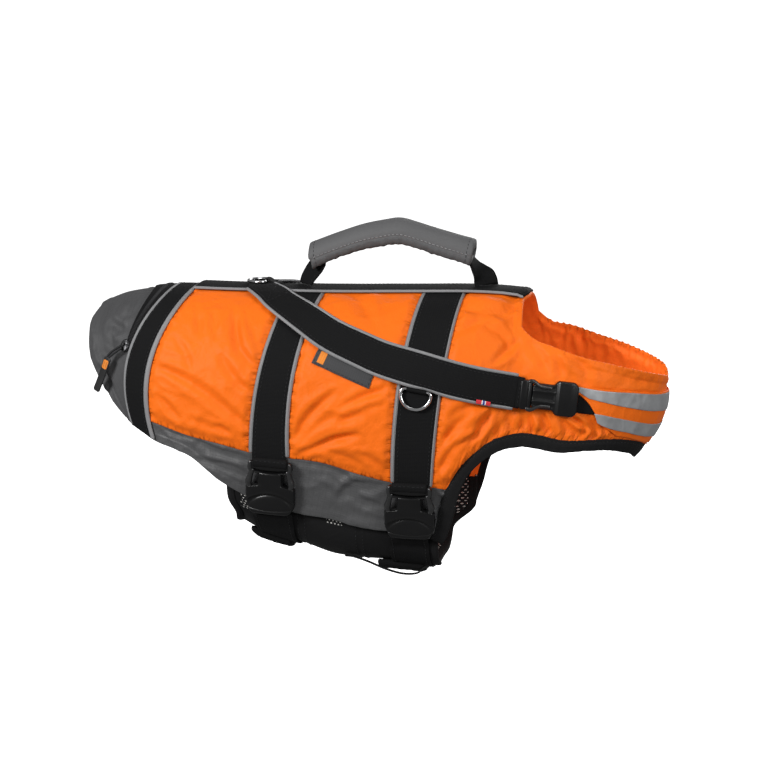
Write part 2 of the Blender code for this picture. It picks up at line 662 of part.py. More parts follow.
def zip_tape():
    rows = [0, 1, 2, 3, 4, 5, 6, 6.3]
    flip = np.array([1, -1, 1])
    grids = []
    for h in (LIFT, LIFT + 1.5):
        g = []
        for share in (0.0, 1.0):
            line = []
            for r in rows:
                w = 0.44 * (1 - r / 6.3) + 0.22 * (r / 6.3)
                line.append(at(2.965 - w * (1 - share), r, h))
            g.append(line)
        g = np.array(g)
        grids.append(np.concatenate([g[:, ::-1], g[:, 1:] * flip], axis=1))
    v, f = slab(grids[1], grids[0])
    make("zip_tape", v, f, "black_webbing")


def frame_at(x, z, towards):
    """Point of the right skin with its outward normal and the in-skin direction towards another point."""
    p = on_form(x, z)
    n = normal(p[None])[0]
    d = on_form(*towards) - p
    d -= n * d.dot(n)
    d /= np.linalg.norm(d)
    return p, n, d, np.cross(n, d)


def zip_parts():
    p, n, d, w = frame_at(-247.5, 43.5, (-251.0, 30.0))
    rings = []
    for u, half, top in ((-6.0, 2.6, 4.6), (-4.5, 4.0, 6.0), (3.0, 4.6, 6.0), (5.5, 3.4, 5.0)):
        rings.append([p + d * u + w * half + n * 2.7, p + d * u - w * half + n * 2.7,
                      p + d * u - w * half * 0.8 + n * top, p + d * u + w * half * 0.8 + n * top])
    v, f = tube(rings)
    make("zip_slider", v, f, "steel")
    rings = []
    pts = np.array([on_form(x, z) + normal(on_form(x, z)[None])[0] * h for x, z, h, _ in PULL])
    pts[:, 1] = np.minimum(pts[:, 1], -66.5)            # hangs flat, clear of the hem
    t = np.gradient(pts, axis=0)
    t /= np.linalg.norm(t, axis=1, keepdims=True)
    face = n
    for q, tt, row in zip(pts, t, PULL):
        side = np.cross(tt, face)
        side /= np.linalg.norm(side)
        up = np.cross(side, tt)
        hw, ht = row[3] / 2, 1.1 if row[3] < 5 else 1.3
        rings.append([q + side * hw + up * ht, q - side * hw + up * ht, q - side * hw - up * ht, q + side * hw - up * ht])
    v, f = tube(rings)
    make("zip_pull", v, f, "black_plastic", origin=pts[0])


def label_and_flag():
    corners = ((-49.5, 48.3), (-56.0, 34.6), (5.5, 28.6), (0.5, 12.8))     # top and bottom, rear then front
    grid = []
    for k in range(6):
        u = k / 5
        row = []
        for v in (0.0, 0.5, 1.0):
            a = np.array(corners[0]) * (1 - v) + np.array(corners[1]) * v
            b = np.array(corners[2]) * (1 - v) + np.array(corners[3]) * v
            x, z = a * (1 - u) + b * u
            row.append(on_form(x, z))
        grid.append(row)
    grid = np.array(grid)
    n = normal(grid)
    v, f = slab(grid + n * 5.9, grid + n * 4.9)
    make("label", v, f, "label_grey")
    line = through([on_form(102.5, 3.2), on_form(109.0, 2.0), on_form(115.5, 0.8)], 3)
    inner, outer = ribbon(line, (-2.3, 2.3), STRAP_H + PIPE_T + 0.4, STRAP_H + PIPE_T + 1.2)
    v, f = slab(outer, inner)
    make("flag_tag", v, f, "flag_red")


# ---------------------------------------------------------------- belly panel and what hangs from it
INSET = 6.0


def hem_z(x):
    xs = [l[3] for l in LINES[3:16]]
    zs = [l[4] for l in LINES[3:16]]
    return float(np.interp(x, xs, zs))


def belly_line(x, n_side=3, n_round=6):
    """Right-side section of the belly panel's outer face at x, from its tucked edge to the middle underneath."""
    tuck, under = float(smooth(BELLY, x, 1)), float(smooth(BELLY, x, 2))
    z_h = min(hem_z(x), tuck - 10.0) - 2.0
    pts = []
    for k in range(n_side):
        z = tuck + (z_h - tuck) * k / n_side
        pts.append((x, -float(form_width(x, z)) + INSET, z))
    ys = float(form_width(x, z_h)) - INSET
    for k in range(n_round + 1):
        a = 0.5 * math.pi * k / n_round
        pts.append((x, -ys * max(math.cos(a), 0.0) ** 0.72, z_h - (z_h - under) * math.sin(a) ** 0.92))
    pts[-1] = (x, 0.0, under)
    return np.array(pts)


def section_normals(p):
    """Outward normals of a right-side section in its own plane."""
    t = np.gradient(p, axis=0)
    n = np.stack([np.zeros(len(p)), t[:, 2], -t[:, 1]], -1)
    n /= np.linalg.norm(n, axis=1, keepdims=True)
    n[-1] = (0, 0, -1)
    return n


def belly_grid(xs, h):
    cols = []
    for x in xs:
        p = belly_line(x)
        p = p + section_normals(p) * h
        cols.append(np.concatenate([p, p[-2::-1] * np.array([1, -1, 1])]))
    return np.array(cols)


def belly():
    xs = [r[0] for r in BELLY]
    outer, inner = belly_grid(xs, 0.0), belly_grid(xs, -3.0)
    v, f = slab(outer, inner)
    make("belly_panel", v, f, "black_neoprene")
    front, rear = xs[-1], xs[0]
    for name, a, b in (("belly_binding_front", front + GAP, front + 10.5), ("belly_binding_rear", rear - 6.0, rear - GAP)):
        ref = belly_grid([front if a > 0 else rear], 0.0)[0]
        n = np.concatenate([section_normals(belly_line(front if a > 0 else rear))])
        n = np.concatenate([n, n[-2::-1] * np.array([1, -1, 1])])
        g = []
        for x in (a, b):
            q = ref.copy()
            q[:, 0] = x
            g.append(q)
        g = np.array(g)
        v, f = slab(g + n * 0.6, g - n * 3.4)
        make(name, v, f, "black_webbing")


def belly_at(x, y, h, half=2.5):
    """Point below the belly panel at x and y, where a strip of this half width lies h off its outer face."""
    p = belly_line(x)
    q = p + section_normals(p) * h
    return (x, y, min(float(np.interp(y + d, q[:, 1], q[:, 2])) for d in (-half, 0.0, half)))


def belly_straps():
    flip = np.array([1, -1, 1])
    for name, xm, z_top in (("rear", -98.5, -123.5), ("front", 35.3, -138.6)):
        for piece, h0, h1 in (("belly_strap_", 1.2, 1.2 + WEB_T),):
            grids = []
            for h in (h0, h1):
                g = []
                for x in (xm - GIRTH_W / 2, xm, xm + GIRTH_W / 2):
                    p = belly_line(x)
                    p = p + section_normals(p) * h
                    low = p[np.argmax(p[:, 2] < z_top - 6.0):]
                    out = float(form_width(xm, z_top)) + 3.0 + h
                    g.append(np.vstack([[(x, -out, z_top)], low]))
                m = min(len(q) for q in g)
                g = np.array([np.vstack([q[:1], q[-(m - 1):]]) for q in g])
                grids.append(np.concatenate([g, g[:, -2::-1] * flip], axis=1))
            v, f = slab(grids[1], grids[0])
            make(piece + name, v, f, "black_webbing")
    for name, x0, x1 in (("rear", -126.0, -88.0), ("front", 2.0, 46.0)):
        grids = []
        for h in (4.2, 8.2):
            g = []
            for x in (x0, 0.5 * (x0 + x1), x1):
                p = belly_line(x)
                n = section_normals(p)
                q = p + n * h
                y = np.array([-49.0, -43.0, -36.0, -29.0, -22.0])
                s = p[:, 1]
                row = np.stack([np.full(len(y), x), np.interp(y, s, q[:, 1]), np.interp(y, s, q[:, 2])], -1)
                g.append(row)
            grids.append(np.array(g))
        v, f = slab(grids[1], grids[0])
        make("strap_tail_" + name, v, f, "black_webbing")
    # elastic loop, sewn flat to the panel behind and to the front strap
    path = through([belly_at(-31.0, -56.0, 1.3), belly_at(-22.0, -56.0, 1.3), (-8.0, -56.0, -168.0),
                    (10.0, -56.0, -175.0), (27.0, -56.0, -179.0), (41.0, -56.0, -178.0),
                    belly_at(48.5, -56.0, 5.6), belly_at(52.5, -56.0, 4.6)], 20)
    t = np.gradient(path, axis=0)
    t /= np.linalg.norm(t, axis=1, keepdims=True)
    y = np.array([0.0, 1.0, 0.0])
    rings = []
    for p, tt in zip(path, t):
        up = np.cross(tt, y)
        up /= np.linalg.norm(up)
        rings.append([p + y * 2.5 + up * 0.7, p - y * 2.5 + up * 0.7, p - y * 2.5 - up * 0.7, p + y * 2.5 - up * 0.7])
    v, f = tube(rings)
    make("elastic_loop", v, f, "black_webbing")


# ---------------------------------------------------------------- buckles, rings, handle
def buckle(name, top, bottom, h_top, h_bottom, outline, thick, slot="black_plastic"):
    """Flat moulded body with a chamfered face, laid between two points of the right side."""
    a, b = on_form(*top), on_form(*bottom)
    na, nb = normal(a[None])[0], normal(b[None])[0]
    a, b = a + na * h_top, b + nb * h_bottom
    d = b - a
    length = np.linalg.norm(d)
    d /= length
    n = na + nb
    n -= d * n.dot(d)
    n /= np.linalg.norm(n)
    w = np.cross(n, d)
    k = length / outline[-1][0]
    rings = []
    for u, hw in outline:
        c = min(1.8, 0.12 * hw)
        crown = thick - 1.6 * abs(2 * u / outline[-1][0] - 1) ** 4
        o = a + d * (u * k)
        rings.append([o + w * hw, o + w * hw + n * (crown - c), o + w * (hw - c) + n * crown,
                      o - w * (hw - c) + n * crown, o - w * hw + n * (crown - c), o - w * hw])
    v, f = tube(rings)
    make(name + "_R", v, f, slot)
    make(name + "_L", v, f, slot, mirror=True)


def d_ring(name, origin, bar, bow, slot="steel"):
    """Wire ring: bar along one axis through the origin, bow away from it."""
    path = [(-RING_BAR / 2, 0.0), (0.0, 0.0), (RING_BAR / 2, 0.0)]
    hw = RING_W / 2
    path += [(hw - 1.6, 0.9), (hw - 0.2, 3.0)]
    for k in range(1, 12):                                  # the far end of the bow is a short straight
        a = math.pi * k / 12
        path.append((hw * math.cos(a), min(4.0 + (RING_H - 4.0) * math.sin(a), RING_H - 0.5)))
    path += [(-hw + 0.2, 3.0), (-hw + 1.6, 0.9)]
    pts = np.array([origin + bar * u + bow * v for u, v in path])
    m = len(pts)
    up = np.cross(bar, bow)
    rings = []
    for k in range(m):
        t = pts[(k + 1) % m] - pts[k - 1]
        t /= np.linalg.norm(t)
        s = np.cross(up, t)
        r = RING_WIRE / 2
        rings.append([pts[k] + s * r * math.cos(q) + up * r * math.sin(q)
                      for q in [2 * math.pi * (j + 0.5) / 8 for j in range(8)]])
    v, f = tube(rings, close=True)
    make(name, v, f, slot, origin=origin)


def ring_loop(name, origin, bar, tail, up, half, length, slot="black_webbing"):
    """Webbing folded round a ring's bar, its two layers lying together behind it."""
    r = RING_WIRE / 2 + GAP + LOOP_T / 2
    low = -r
    mid = [(length, low), (length * 0.5, low)]
    for k in range(7):
        a = -0.5 * math.pi - math.pi * k / 6
        mid.append((r * math.cos(a), r * math.sin(a)))
    top = low + LOOP_T + 0.35
    mid += [(2.2, r * 0.86), (5.2, 0.1), (8.0, top + 0.15), (length, top)]
    mid = np.array(mid)
    t = np.gradient(mid, axis=0)
    t /= np.linalg.norm(t, axis=1, keepdims=True)
    nn = np.stack([-t[:, 1], t[:, 0]], -1) * LOOP_T / 2
    rings = []
    for c, q in zip(mid, nn):
        a, b = c + q, c - q
        pa, pb = [origin + tail * e[0] + up * e[1] for e in (a, b)]
        rings.append([pa - bar * half, pa + bar * half, pb + bar * half, pb - bar * half])
    v, f = tube(rings)
    make(name, v, f, slot)


def rings():
    p, n, d, w = frame_at(SIDE_RING_X, SIDE_RING_Z, (SIDE_RING_X - 3.4, SIDE_RING_Z - 20.0))
    h = LIFT + WEB_T + GAP + LOOP_T + GAP + RING_WIRE / 2
    o = p + n * h
    bar = np.cross(d, n)
    d_ring("side_ring", o, bar, d)
    ring_loop("side_ring_loop", o, bar, -d, n, 9.5, 14.0)
    top = float(section(BACK_RING_X)[0])
    h = SPINE_H + WEB_T + GAP + LOOP_T + GAP + RING_WIRE / 2
    o = np.array([BACK_RING_X, 0.0, top + h + 0.2])
    d_ring("back_ring", o, np.array([0.0, 1.0, 0.0]), np.array([-1.0, 0.0, 0.0]))
    ring_loop("back_ring_loop", o, np.array([0.0, 1.0, 0.0]), np.array([1.0, 0.0, 0.0]), np.array([0.0, 0.0, 1.0]), 8.0, 15.0)


def handle():
    ridge = through([(x, 0.0, z) for x, z in RIDGE], 10)
    n = len(ridge)
    outer, bore = [], []
    for k, p in enumerate(ridge):
        u = k / (n - 1)
        lean = SLEEVE_LEAN[0] * max(0.0, 1 - 3 * u) + SLEEVE_LEAN[1] * max(0.0, 3 * u - 2)
        for out, table in ((outer, SLEEVE_SECTION), (bore, SLEEVE_BORE)):
            notch = 12.0 if k == 0 else 0.0             # the rear leg comes out underneath
            under = -16.0 if out is outer else -14.0
            out.append([p + np.array([-z * lean + (notch if z < under else 0.0), y, z]) for y, z in table])
    m = len(SLEEVE_SECTION)
    verts = [tuple(q) for ring in outer + bore for q in ring]
    faces = []
    for side in (0, n):
        for i in range(n - 1):
            for k in range(m):
                l = (k + 1) % m
                a, b = (side + i) * m, (side + i + 1) * m
                faces.append([a + k, b + k, b + l, a + l] if side == 0 else [a + k, a + l, b + l, b + k])
    for k in range(m):
        l = (k + 1) % m
        faces.append([k, l, n * m + l, n * m + k])
        e = (n - 1) * m
        faces.append([e + l, e + k, n * m + e + k, n * m + e + l])
    make("handle_sleeve", verts, faces, "sleeve_grey")
    path = through([(x, 0.0, z) for x, z, _ in HANDLE], 32)
    turn = np.interp(path[:, 0], [r[0] for r in HANDLE], [r[2] for r in HANDLE])
    t = np.gradient(path, axis=0)
    t[0], t[-1] = (0.0, 0.0, 1.0), (0.0, 0.0, -1.0)
    t /= np.linalg.norm(t, axis=1, keepdims=True)
    rings_ = []
    for p, tt, q in zip(path, t, np.radians(turn)):
        y = np.array([0.0, 1.0, 0.0])
        up = np.cross(tt, y)
        w = y * math.cos(q) + up * math.sin(q)
        s = np.cross(tt, w)
        hw, ht = HANDLE_W / 2, HANDLE_T / 2
        rings_.append([p + w * hw + s * ht, p - w * hw + s * ht, p - w * hw - s * ht, p + w * hw - s * ht])
    v, f = tube(rings_)
    make("handle_webbing", v, f, "black_webbing")


def chest_webbing():
    line = through([on_form(199.5, 3.0), on_form(208.0, 1.6), on_form(217.0, 0.4), on_form(228.0, -0.6)], 6)
    inner, outer = ribbon(line, (-11.5, 0.0, 11.5), LIFT, LIFT + 1.6)
    v, f = slab(outer, inner)
    make("chest_webbing_R", v, f, "black_webbing")
    make("chest_webbing_L", v, f, "black_webbing", mirror=True)


def build():
    clear_scene()
    shell()
    banded("rear_band", COL["rear_aft"], 27.0, 11.73, 11.73)
    banded("girth_band_rear", COL["girth1_aft"], 41.0, 10.33, 9.92)
    banded("girth_band_front", COL["girth2_aft"], 41.0, 10.2, 9.92)
    spine_band()
    shoulder_straps()
    chest_flap()
    leg_bindings()
    zip_tape()
    zip_parts()
    label_and_flag()
    belly()
    belly_straps()
    buckle("girth_buckle_rear", (-96.5, -58.5), (-99.5, -120.5), 3.5, 3.4, GIRTH_BUCKLE, 9.0)
    buckle("girth_buckle_front", (39.2, -78.0), (37.5, -136.0), 3.8, 3.4, GIRTH_BUCKLE, 9.0)
    buckle("shoulder_buckle", (144.6, 9.3), (198.6, 3.2), 4.6, 2.2, SHOULDER_BUCKLE, 8.0)
    rings()
    handle()
    chest_webbing()


if __name__ == "__main__":
    build()
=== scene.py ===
"""Looks of the dog life jacket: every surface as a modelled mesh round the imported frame.

Tables are in millimetres in the jacket's own design frame (heights from mid height); M() brings them to metres
in the shared frame. The dog's right side is -Y (suffix _R), its left side +Y (suffix _L).
"""
import math
import bpy
import numpy as np
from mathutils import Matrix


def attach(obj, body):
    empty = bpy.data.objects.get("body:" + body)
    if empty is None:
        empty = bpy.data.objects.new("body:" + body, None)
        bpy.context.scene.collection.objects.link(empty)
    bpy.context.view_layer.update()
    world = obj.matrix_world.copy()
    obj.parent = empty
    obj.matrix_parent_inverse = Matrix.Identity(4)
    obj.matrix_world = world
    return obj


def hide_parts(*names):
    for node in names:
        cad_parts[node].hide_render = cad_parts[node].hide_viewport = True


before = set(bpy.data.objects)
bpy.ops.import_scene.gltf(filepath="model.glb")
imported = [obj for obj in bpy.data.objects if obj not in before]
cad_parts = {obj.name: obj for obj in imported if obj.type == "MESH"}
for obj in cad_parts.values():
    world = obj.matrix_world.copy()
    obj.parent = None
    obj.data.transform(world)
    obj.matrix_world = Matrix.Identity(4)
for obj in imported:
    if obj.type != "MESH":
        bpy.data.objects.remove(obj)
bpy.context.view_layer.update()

# ---------------------------------------------------------------- camera, floor, light
scene = bpy.context.scene
AZ, EL = math.radians(9.0), math.radians(9.5)
TARGET = (0.0, 0.0, -0.0926)


def camera():
    cam = bpy.data.cameras.new("camera")
    cam.lens, cam.sensor_width = 121.56, 36.0
    cam.clip_start, cam.clip_end = 0.05, 400.0
    ob = bpy.data.objects.new("camera", cam)
    d = 2.6
    ob.location = (TARGET[0] + d * math.sin(AZ) * math.cos(EL), TARGET[1] - d * math.cos(AZ) * math.cos(EL),
                   TARGET[2] + d * math.sin(EL))
    ob.rotation_euler = (math.pi / 2 - EL, 0.0, AZ)
    scene.collection.objects.link(ob)
    scene.camera = ob


camera()

# ---------------------------------------------------------------- sizes shared with the CAD
CLOTH, FOAM, GAP, LIFT = 2.5, 4.0, 0.3, 0.7
WEB_T, PIPE_W, PIPE_T, SPINE_HALF = 2.0, 4.0, 2.5, 25.5
STRAP_W, GIRTH_W, BINDING_T = 33.0, 38.0, 4.0
HANDLE_W, HANDLE_T, RING_WIRE = 25.0, 3.0, 3.5
EXP, NECK_X, NOSE_X = 2.3, 150.0, 281.0
FORM = (  # x, top, half_width, widest_z
    (-300.0, 70.0, 48.0, 15.0), (-270.0, 86.0, 62.0, 5.0), (-240.0, 93.0, 76.0, -2.0), (-210.0, 95.5, 86.0, -5.0),
    (-150.0, 94.5, 96.0, -10.0), (-60.0, 94.0, 100.0, -16.0), (40.0, 96.0, 100.0, -16.0), (85.0, 97.0, 98.0, -14.0),
    (118.0, 96.5, 91.0, -12.0), (150.0, 95.0, 83.0, -10.0),
)
LINES = (  # name, x_top, x_mid, x_low, z_low, z_seam
    ("tail_hem", -286.5, -286.0, -247.0, -27.0, -14.0),
    ("tail_1", -262.0, -272.0, -244.5, -29.5, -17.0),
    ("tail_2", -237.0, -259.0, -242.0, -31.5, -20.0),
    ("rear_aft", -212.0, -245.5, -239.5, -34.0, -23.0),
    ("rear_mid", -200.0, -233.0, -228.0, -41.0, -25.0),
    ("rear_fore", -188.0, -220.0, -215.5, -48.0, -28.0),
    ("flank_1", -155.0, -183.0, -181.0, -60.0, -39.0),
    ("flank_2", -122.0, -147.0, -146.0, -87.0, -46.5),
    ("girth1_aft", -90.0, -114.0, -117.0, -102.0, -54.0),
    ("girth1_mid", -73.5, -96.0, -95.5, -109.0, -56.5),
    ("girth1_fore", -57.0, -78.0, -74.0, -115.0, -58.0),
    ("mid_1", -24.0, -43.5, -42.0, -120.0, -62.0),
    ("mid_2", 9.0, -9.0, -10.0, -128.0, -72.0),
    ("girth2_aft", 42.0, 24.5, 22.0, -131.5, -80.0),
    ("girth2_mid", 62.5, 45.0, 39.5, -135.0, -82.5),
    ("girth2_fore", 83.0, 66.0, 57.0, -138.0, -84.0),
    ("leg_1", 91.0, 77.5, 61.5, -126.0, -84.5),
    ("leg_2", 98.5, 86.5, 66.5, -108.0, -85.0),
    ("leg_3", 103.0, 92.5, 71.5, -92.0, -85.0),
    ("leg_4", 108.0, 99.0, 76.5, -81.0, None),
    ("leg_5", 117.0, 110.0, 87.5, -63.5, None),
    ("leg_6", 127.0, 123.0, 103.0, -47.5, None),
    ("leg_7", 137.0, 137.0, 123.0, -34.5, None),
    ("arch", 147.0, 150.0, 147.0, -29.5, None),
)
COLLAR = (  # theta_deg, z_neck, z_low, binding
    (8.0, 55.0, -32.5, 12.0), (16.0, 48.5, -36.5, 11.5), (26.0, 41.5, -37.5, 9.5), (36.0, 36.5, -37.0, 10.0),
    (46.0, 31.5, -38.0, 11.0), (57.0, 26.5, -41.0, 12.5), (68.0, 22.5, -45.0, 13.5), (79.0, 19.0, -49.5, 15.0),
    (90.0, 16.5, -52.0, 16.0),
)
LEG_BINDING = (  # line, width
    ("girth2_fore", 12.0), ("leg_1", 13.0), ("leg_2", 13.5), ("leg_3", 12.5), ("leg_4", 11.5),
    ("leg_5", 10.0), ("leg_6", 10.5), ("leg_7", 11.5), ("arch", 12.0),
)
FLAP_EDGE = ((0.0, 16.0), (0.13, 21.5), (0.3, 26.5), (0.55, 30.5), (0.78, 35.0), (1.0, 44.0))   # share from the top, theta_deg
FLAP = (  # theta_deg, upper tape top, upper tape bottom, lower tape top, lower tape bottom, flap bottom
    (18.0, 17.5, 9.5, -6.0, -9.0, -28.0), (27.0, 13.5, 4.8, -9.0, -13.5, -29.0),
    (34.0, 11.0, 0.8, -12.0, -21.5, -30.5), (42.0, 9.0, -3.5, -16.0, -27.0, -32.5),
    (50.0, 7.2, -7.0, -19.5, -30.5, -35.0), (60.0, 4.6, -10.8, -23.5, -35.0, -39.5),
    (70.0, 2.6, -13.0, -26.2, -38.0, -43.5), (80.0, 1.8, -14.4, -27.6, -40.0, -46.5),
    (90.0, 1.6, -15.0, -28.0, -40.8, -48.0),
)
STRAP = (  # x, y, z
    (-121.0, -21.0, 95.0), (-107.0, -37.0, 92.0), (-93.0, -52.0, 86.0), (-65.0, -70.0, 72.5),
    (-40.0, -81.0, 59.5), (-10.5, -88.0, 48.0), (14.5, -92.0, 39.0), (49.0, -94.0, 30.0),
    (97.0, -94.0, 19.0), (140.0, -84.0, 11.0),
)
BELLY = (  # x, z_tuck, z_under
    (-136.5, -64.5, -135.5), (-118.0, -71.0, -145.0), (-96.0, -78.5, -151.5), (-72.0, -84.0, -158.5),
    (-48.0, -89.5, -167.5), (-20.0, -95.6, -171.5), (8.0, -99.8, -172.0), (32.0, -103.4, -173.5),
    (55.0, -108.0, -176.0),
)
RIDGE = ((-75.0, 142.0), (-49.0, 152.0), (-23.0, 161.0), (0.0, 166.0), (16.0, 168.0), (34.0, 164.0),
         (54.0, 158.0), (91.0, 148.0))      # x, z
SLEEVE_LEAN = (0.08, -0.19)
HANDLE = (  # x, z, turn_deg
    (-80.5, 100.6, 16.0), (-78.5, 106.0, 16.0), (-74.0, 113.0, 10.0), (-70.5, 119.0, 3.0), (-69.5, 126.0, 0.0),
    (-66.0, 131.6, 0.0), (-58.5, 134.9, 0.0), (-49.0, 138.6, 0.0), (-23.0, 147.5, 0.0), (0.0, 152.5, 0.0),
    (15.0, 154.4, 0.0), (33.0, 150.5, 0.0), (53.0, 144.6, 0.0), (78.0, 138.0, 0.0), (91.0, 134.4, 0.0),
    (98.5, 127.0, 14.0), (101.5, 117.0, 42.0), (102.5, 109.0, 48.0), (103.0, 102.9, 45.0),
)
PULL = (  # x, z, height off the skin, width
    (-248.0, 41.5, 8.4, 4.0), (-252.5, 38.6, 8.6, 3.6), (-257.0, 35.6, 8.8, 3.6), (-260.5, 32.5, 8.9, 4.0),
    (-261.8, 30.6, 8.9, 8.6), (-265.5, 21.0, 9.0, 9.0), (-270.0, 9.5, 9.4, 9.0), (-274.2, -1.2, 10.5, 9.0),
)
RING_W, RING_H, RING_BAR, LOOP_T = 29.5, 18.75, 21.0, 0.8
SPINE_H = LIFT + PIPE_T + GAP
STRAP_H = SPINE_H + PIPE_T + GAP
SIDE_RING_X, SIDE_RING_Z, BACK_RING_X = 47.0, 12.4, -119.0
FLAP_H, FLAP_T, INSET = 3.6, 1.6, 6.0
NECK_ROW, SEAM_ROW, HEM_ROW = 5, 10, 12
NAMES = [l[0] for l in LINES]
COL = {n: i for i, n in enumerate(NAMES)}
ARCH, NOSE = COL["arch"], len(LINES) + len(COLLAR) - 1
FLIP = np.array([1.0, -1.0, 1.0])


# ---------------------------------------------------------------- curves and the form
def smooth(table, x, col, end_flat=False):
    xs = np.array([r[0] for r in table], float)
    ys = np.array([r[col] for r in table], float)
    m = np.empty_like(ys)
    m[1:-1] = (ys[2:] - ys[:-2]) / (xs[2:] - xs[:-2])
    m[0] = (ys[1] - ys[0]) / (xs[1] - xs[0])
    m[-1] = 0.0 if end_flat else (ys[-1] - ys[-2]) / (xs[-1] - xs[-2])
    x = np.clip(np.asarray(x, float), xs[0], xs[-1])
    i = np.clip(np.searchsorted(xs, x) - 1, 0, len(xs) - 2)
    h = xs[i + 1] - xs[i]
    t = (x - xs[i]) / h
    return ((2 * t**3 - 3 * t**2 + 1) * ys[i] + (t**3 - 2 * t**2 + t) * h * m[i]
            + (-2 * t**3 + 3 * t**2) * ys[i + 1] + (t**3 - t**2) * h * m[i + 1])


def section(x):
    return smooth(FORM, x, 1, True), smooth(FORM, x, 2, True), smooth(FORM, x, 3, True)


BACK_Z = float(section(0.0)[0]) - CLOTH


def nose_x(z):
    return NOSE_X - 0.0078 * np.clip(z, -75.0, 0.0) ** 2


def section_width(x, z):
    top, half, wide = section(x)
    q = np.clip((z - wide) / (top - wide), 0.0, 1.0)
    up = half * (1 - q**EXP) ** (1 / EXP)
    dn = half * (1 - 0.36 * (np.maximum(wide - z, 0) / 150.0) ** 2)
    return np.where(z > wide, up, dn)


def form_width(x, z):
    x, z = np.asarray(x, float), np.asarray(z, float)
    base = section_width(np.minimum(x, NECK_X), z)
    u = np.clip((x - NECK_X) / (nose_x(z) - NECK_X), 0.0, 1.0)
    return base * np.sqrt(1 - u * u)


def implicit(p):
    x, y, z = p[..., 0], np.abs(p[..., 1]), p[..., 2]
    xc = np.minimum(x, NECK_X)
    top, half, wide = section(xc)
    low = half * (1 - 0.36 * (np.maximum(wide - z, 0) / 150.0) ** 2)
    q = np.maximum((z - wide) / (top - wide), 0.0)
    trunk = (y / low) ** EXP + q**EXP - 1.0
    base = section_width(xc, z)
    u = np.maximum((x - NECK_X) / (nose_x(z) - NECK_X), 0.0)
    nose = (y / np.maximum(base, 1.0)) ** 2 + u * u - 1.0
    return np.where(x > NECK_X, nose, trunk)


def gradient(p):
    e = 0.02
    g = np.empty_like(p)
    for k in range(3):
        d = np.zeros(3)
        d[k] = e
        g[..., k] = (implicit(p + d) - implicit(p - d)) / (2 * e)
    return g


def normal(p):
    g = gradient(np.asarray(p, float))
    return g / np.maximum(np.linalg.norm(g, axis=-1, keepdims=True), 1e-12)


def project(p, steps=5):
    p = np.array(p, float)
    for _ in range(steps):
        g = gradient(p)
        p = p - implicit(p)[..., None] * g / np.maximum((g * g).sum(-1, keepdims=True), 1e-12)
    return p


def on_form(x, z):
    return np.stack([np.asarray(x, float), -form_width(x, z), np.asarray(z, float)], -1)


def resample(p, arcs):
    s = np.concatenate([[0], np.cumsum(np.linalg.norm(np.diff(p, axis=0), axis=1))])
    return np.stack([np.interp(arcs, s, p[:, k]) for k in range(p.shape[1])], -1)


def through(points, n):
    c = np.array(points, float)
    e = np.vstack([2 * c[0] - c[1], c, 2 * c[-1] - c[-2]])
    out = []
    for i in range(1, len(e) - 2):
        for t in np.linspace(0, 1, 24, endpoint=False):
            a, b, d, f = e[i - 1], e[i], e[i + 1], e[i + 2]
            out.append(0.5 * (2 * b + (d - a) * t + (2 * a - 5 * b + 4 * d - f) * t**2 + (3 * b - a - 3 * d + f) * t**3))
    out.append(e[-2])
    out = np.array(out)
    s = np.linalg.norm(np.diff(out, axis=0), axis=1).sum()
    return resample(out, np.linspace(0, s, n))


def unit(v):
    return v / np.maximum(np.linalg.norm(v, axis=-1, keepdims=True), 1e-12)


def ease(t):
    t = np.clip(t, 0.0, 1.0)
    return t * t * (3 - 2 * t)


# ---------------------------------------------------------------- the shell by column and row
_tab = np.array([[a, b, c, d, e if e is not None else d] for _, a, b, c, d, e in LINES])


def rows_of(table, c):
    """Smooth rows of a table at fractional index c."""
    c = np.clip(np.asarray(c, float), 0, len(table) - 1)
    i = np.clip(np.floor(c).astype(int), 0, len(table) - 2)
    t = (c - i)[:, None]
    e = np.vstack([2 * table[0] - table[1], table, 2 * table[-1] - table[-2]])
    a, b, d, f = e[i], e[i + 1], e[i + 2], e[i + 3]
    return 0.5 * (2 * b + (d - a) * t + (2 * a - 5 * b + 4 * d - f) * t**2 + (3 * b - a - 3 * d + f) * t**3)


def trunk_line(prm, rows, n=260):
    """Points on one side-view line at fractional rows."""
    xt, xm, xl, zl, zs = prm
    top = float(section(xt)[0])
    z = top - (top - zl) * np.linspace(0, 1, n) ** 2.2
    a, b, c = top, 0.5 * (top + zl), zl
    x = (xt * (z - b) * (z - c) / ((a - b) * (a - c)) + xm * (z - a) * (z - c) / ((b - a) * (b - c))
         + xl * (z - a) * (z - b) / ((c - a) * (c - b)))
    p = on_form(x, z)
    p[0] = (xt, 0.0, top)
    s = np.concatenate([[0], np.cumsum(np.linalg.norm(np.diff(p, axis=0), axis=1))])
    neck, total, seam = np.interp([-(top - 34.0), -zl, -zs], -z, s)
    arcs = np.interp(rows, [0, 2, NECK_ROW, SEAM_ROW, HEM_ROW], [0, SPINE_HALF, neck, seam, total])
    return np.stack([np.interp(arcs, s, p[:, k]) for k in range(3)], -1)


_arch_rows = np.linspace(0, SEAM_ROW, 201)
_arch = trunk_line(_tab[ARCH], _arch_rows)
_col = np.array([[0.0, 61.0, -29.5]] + [list(r[:3]) for r in COLLAR])


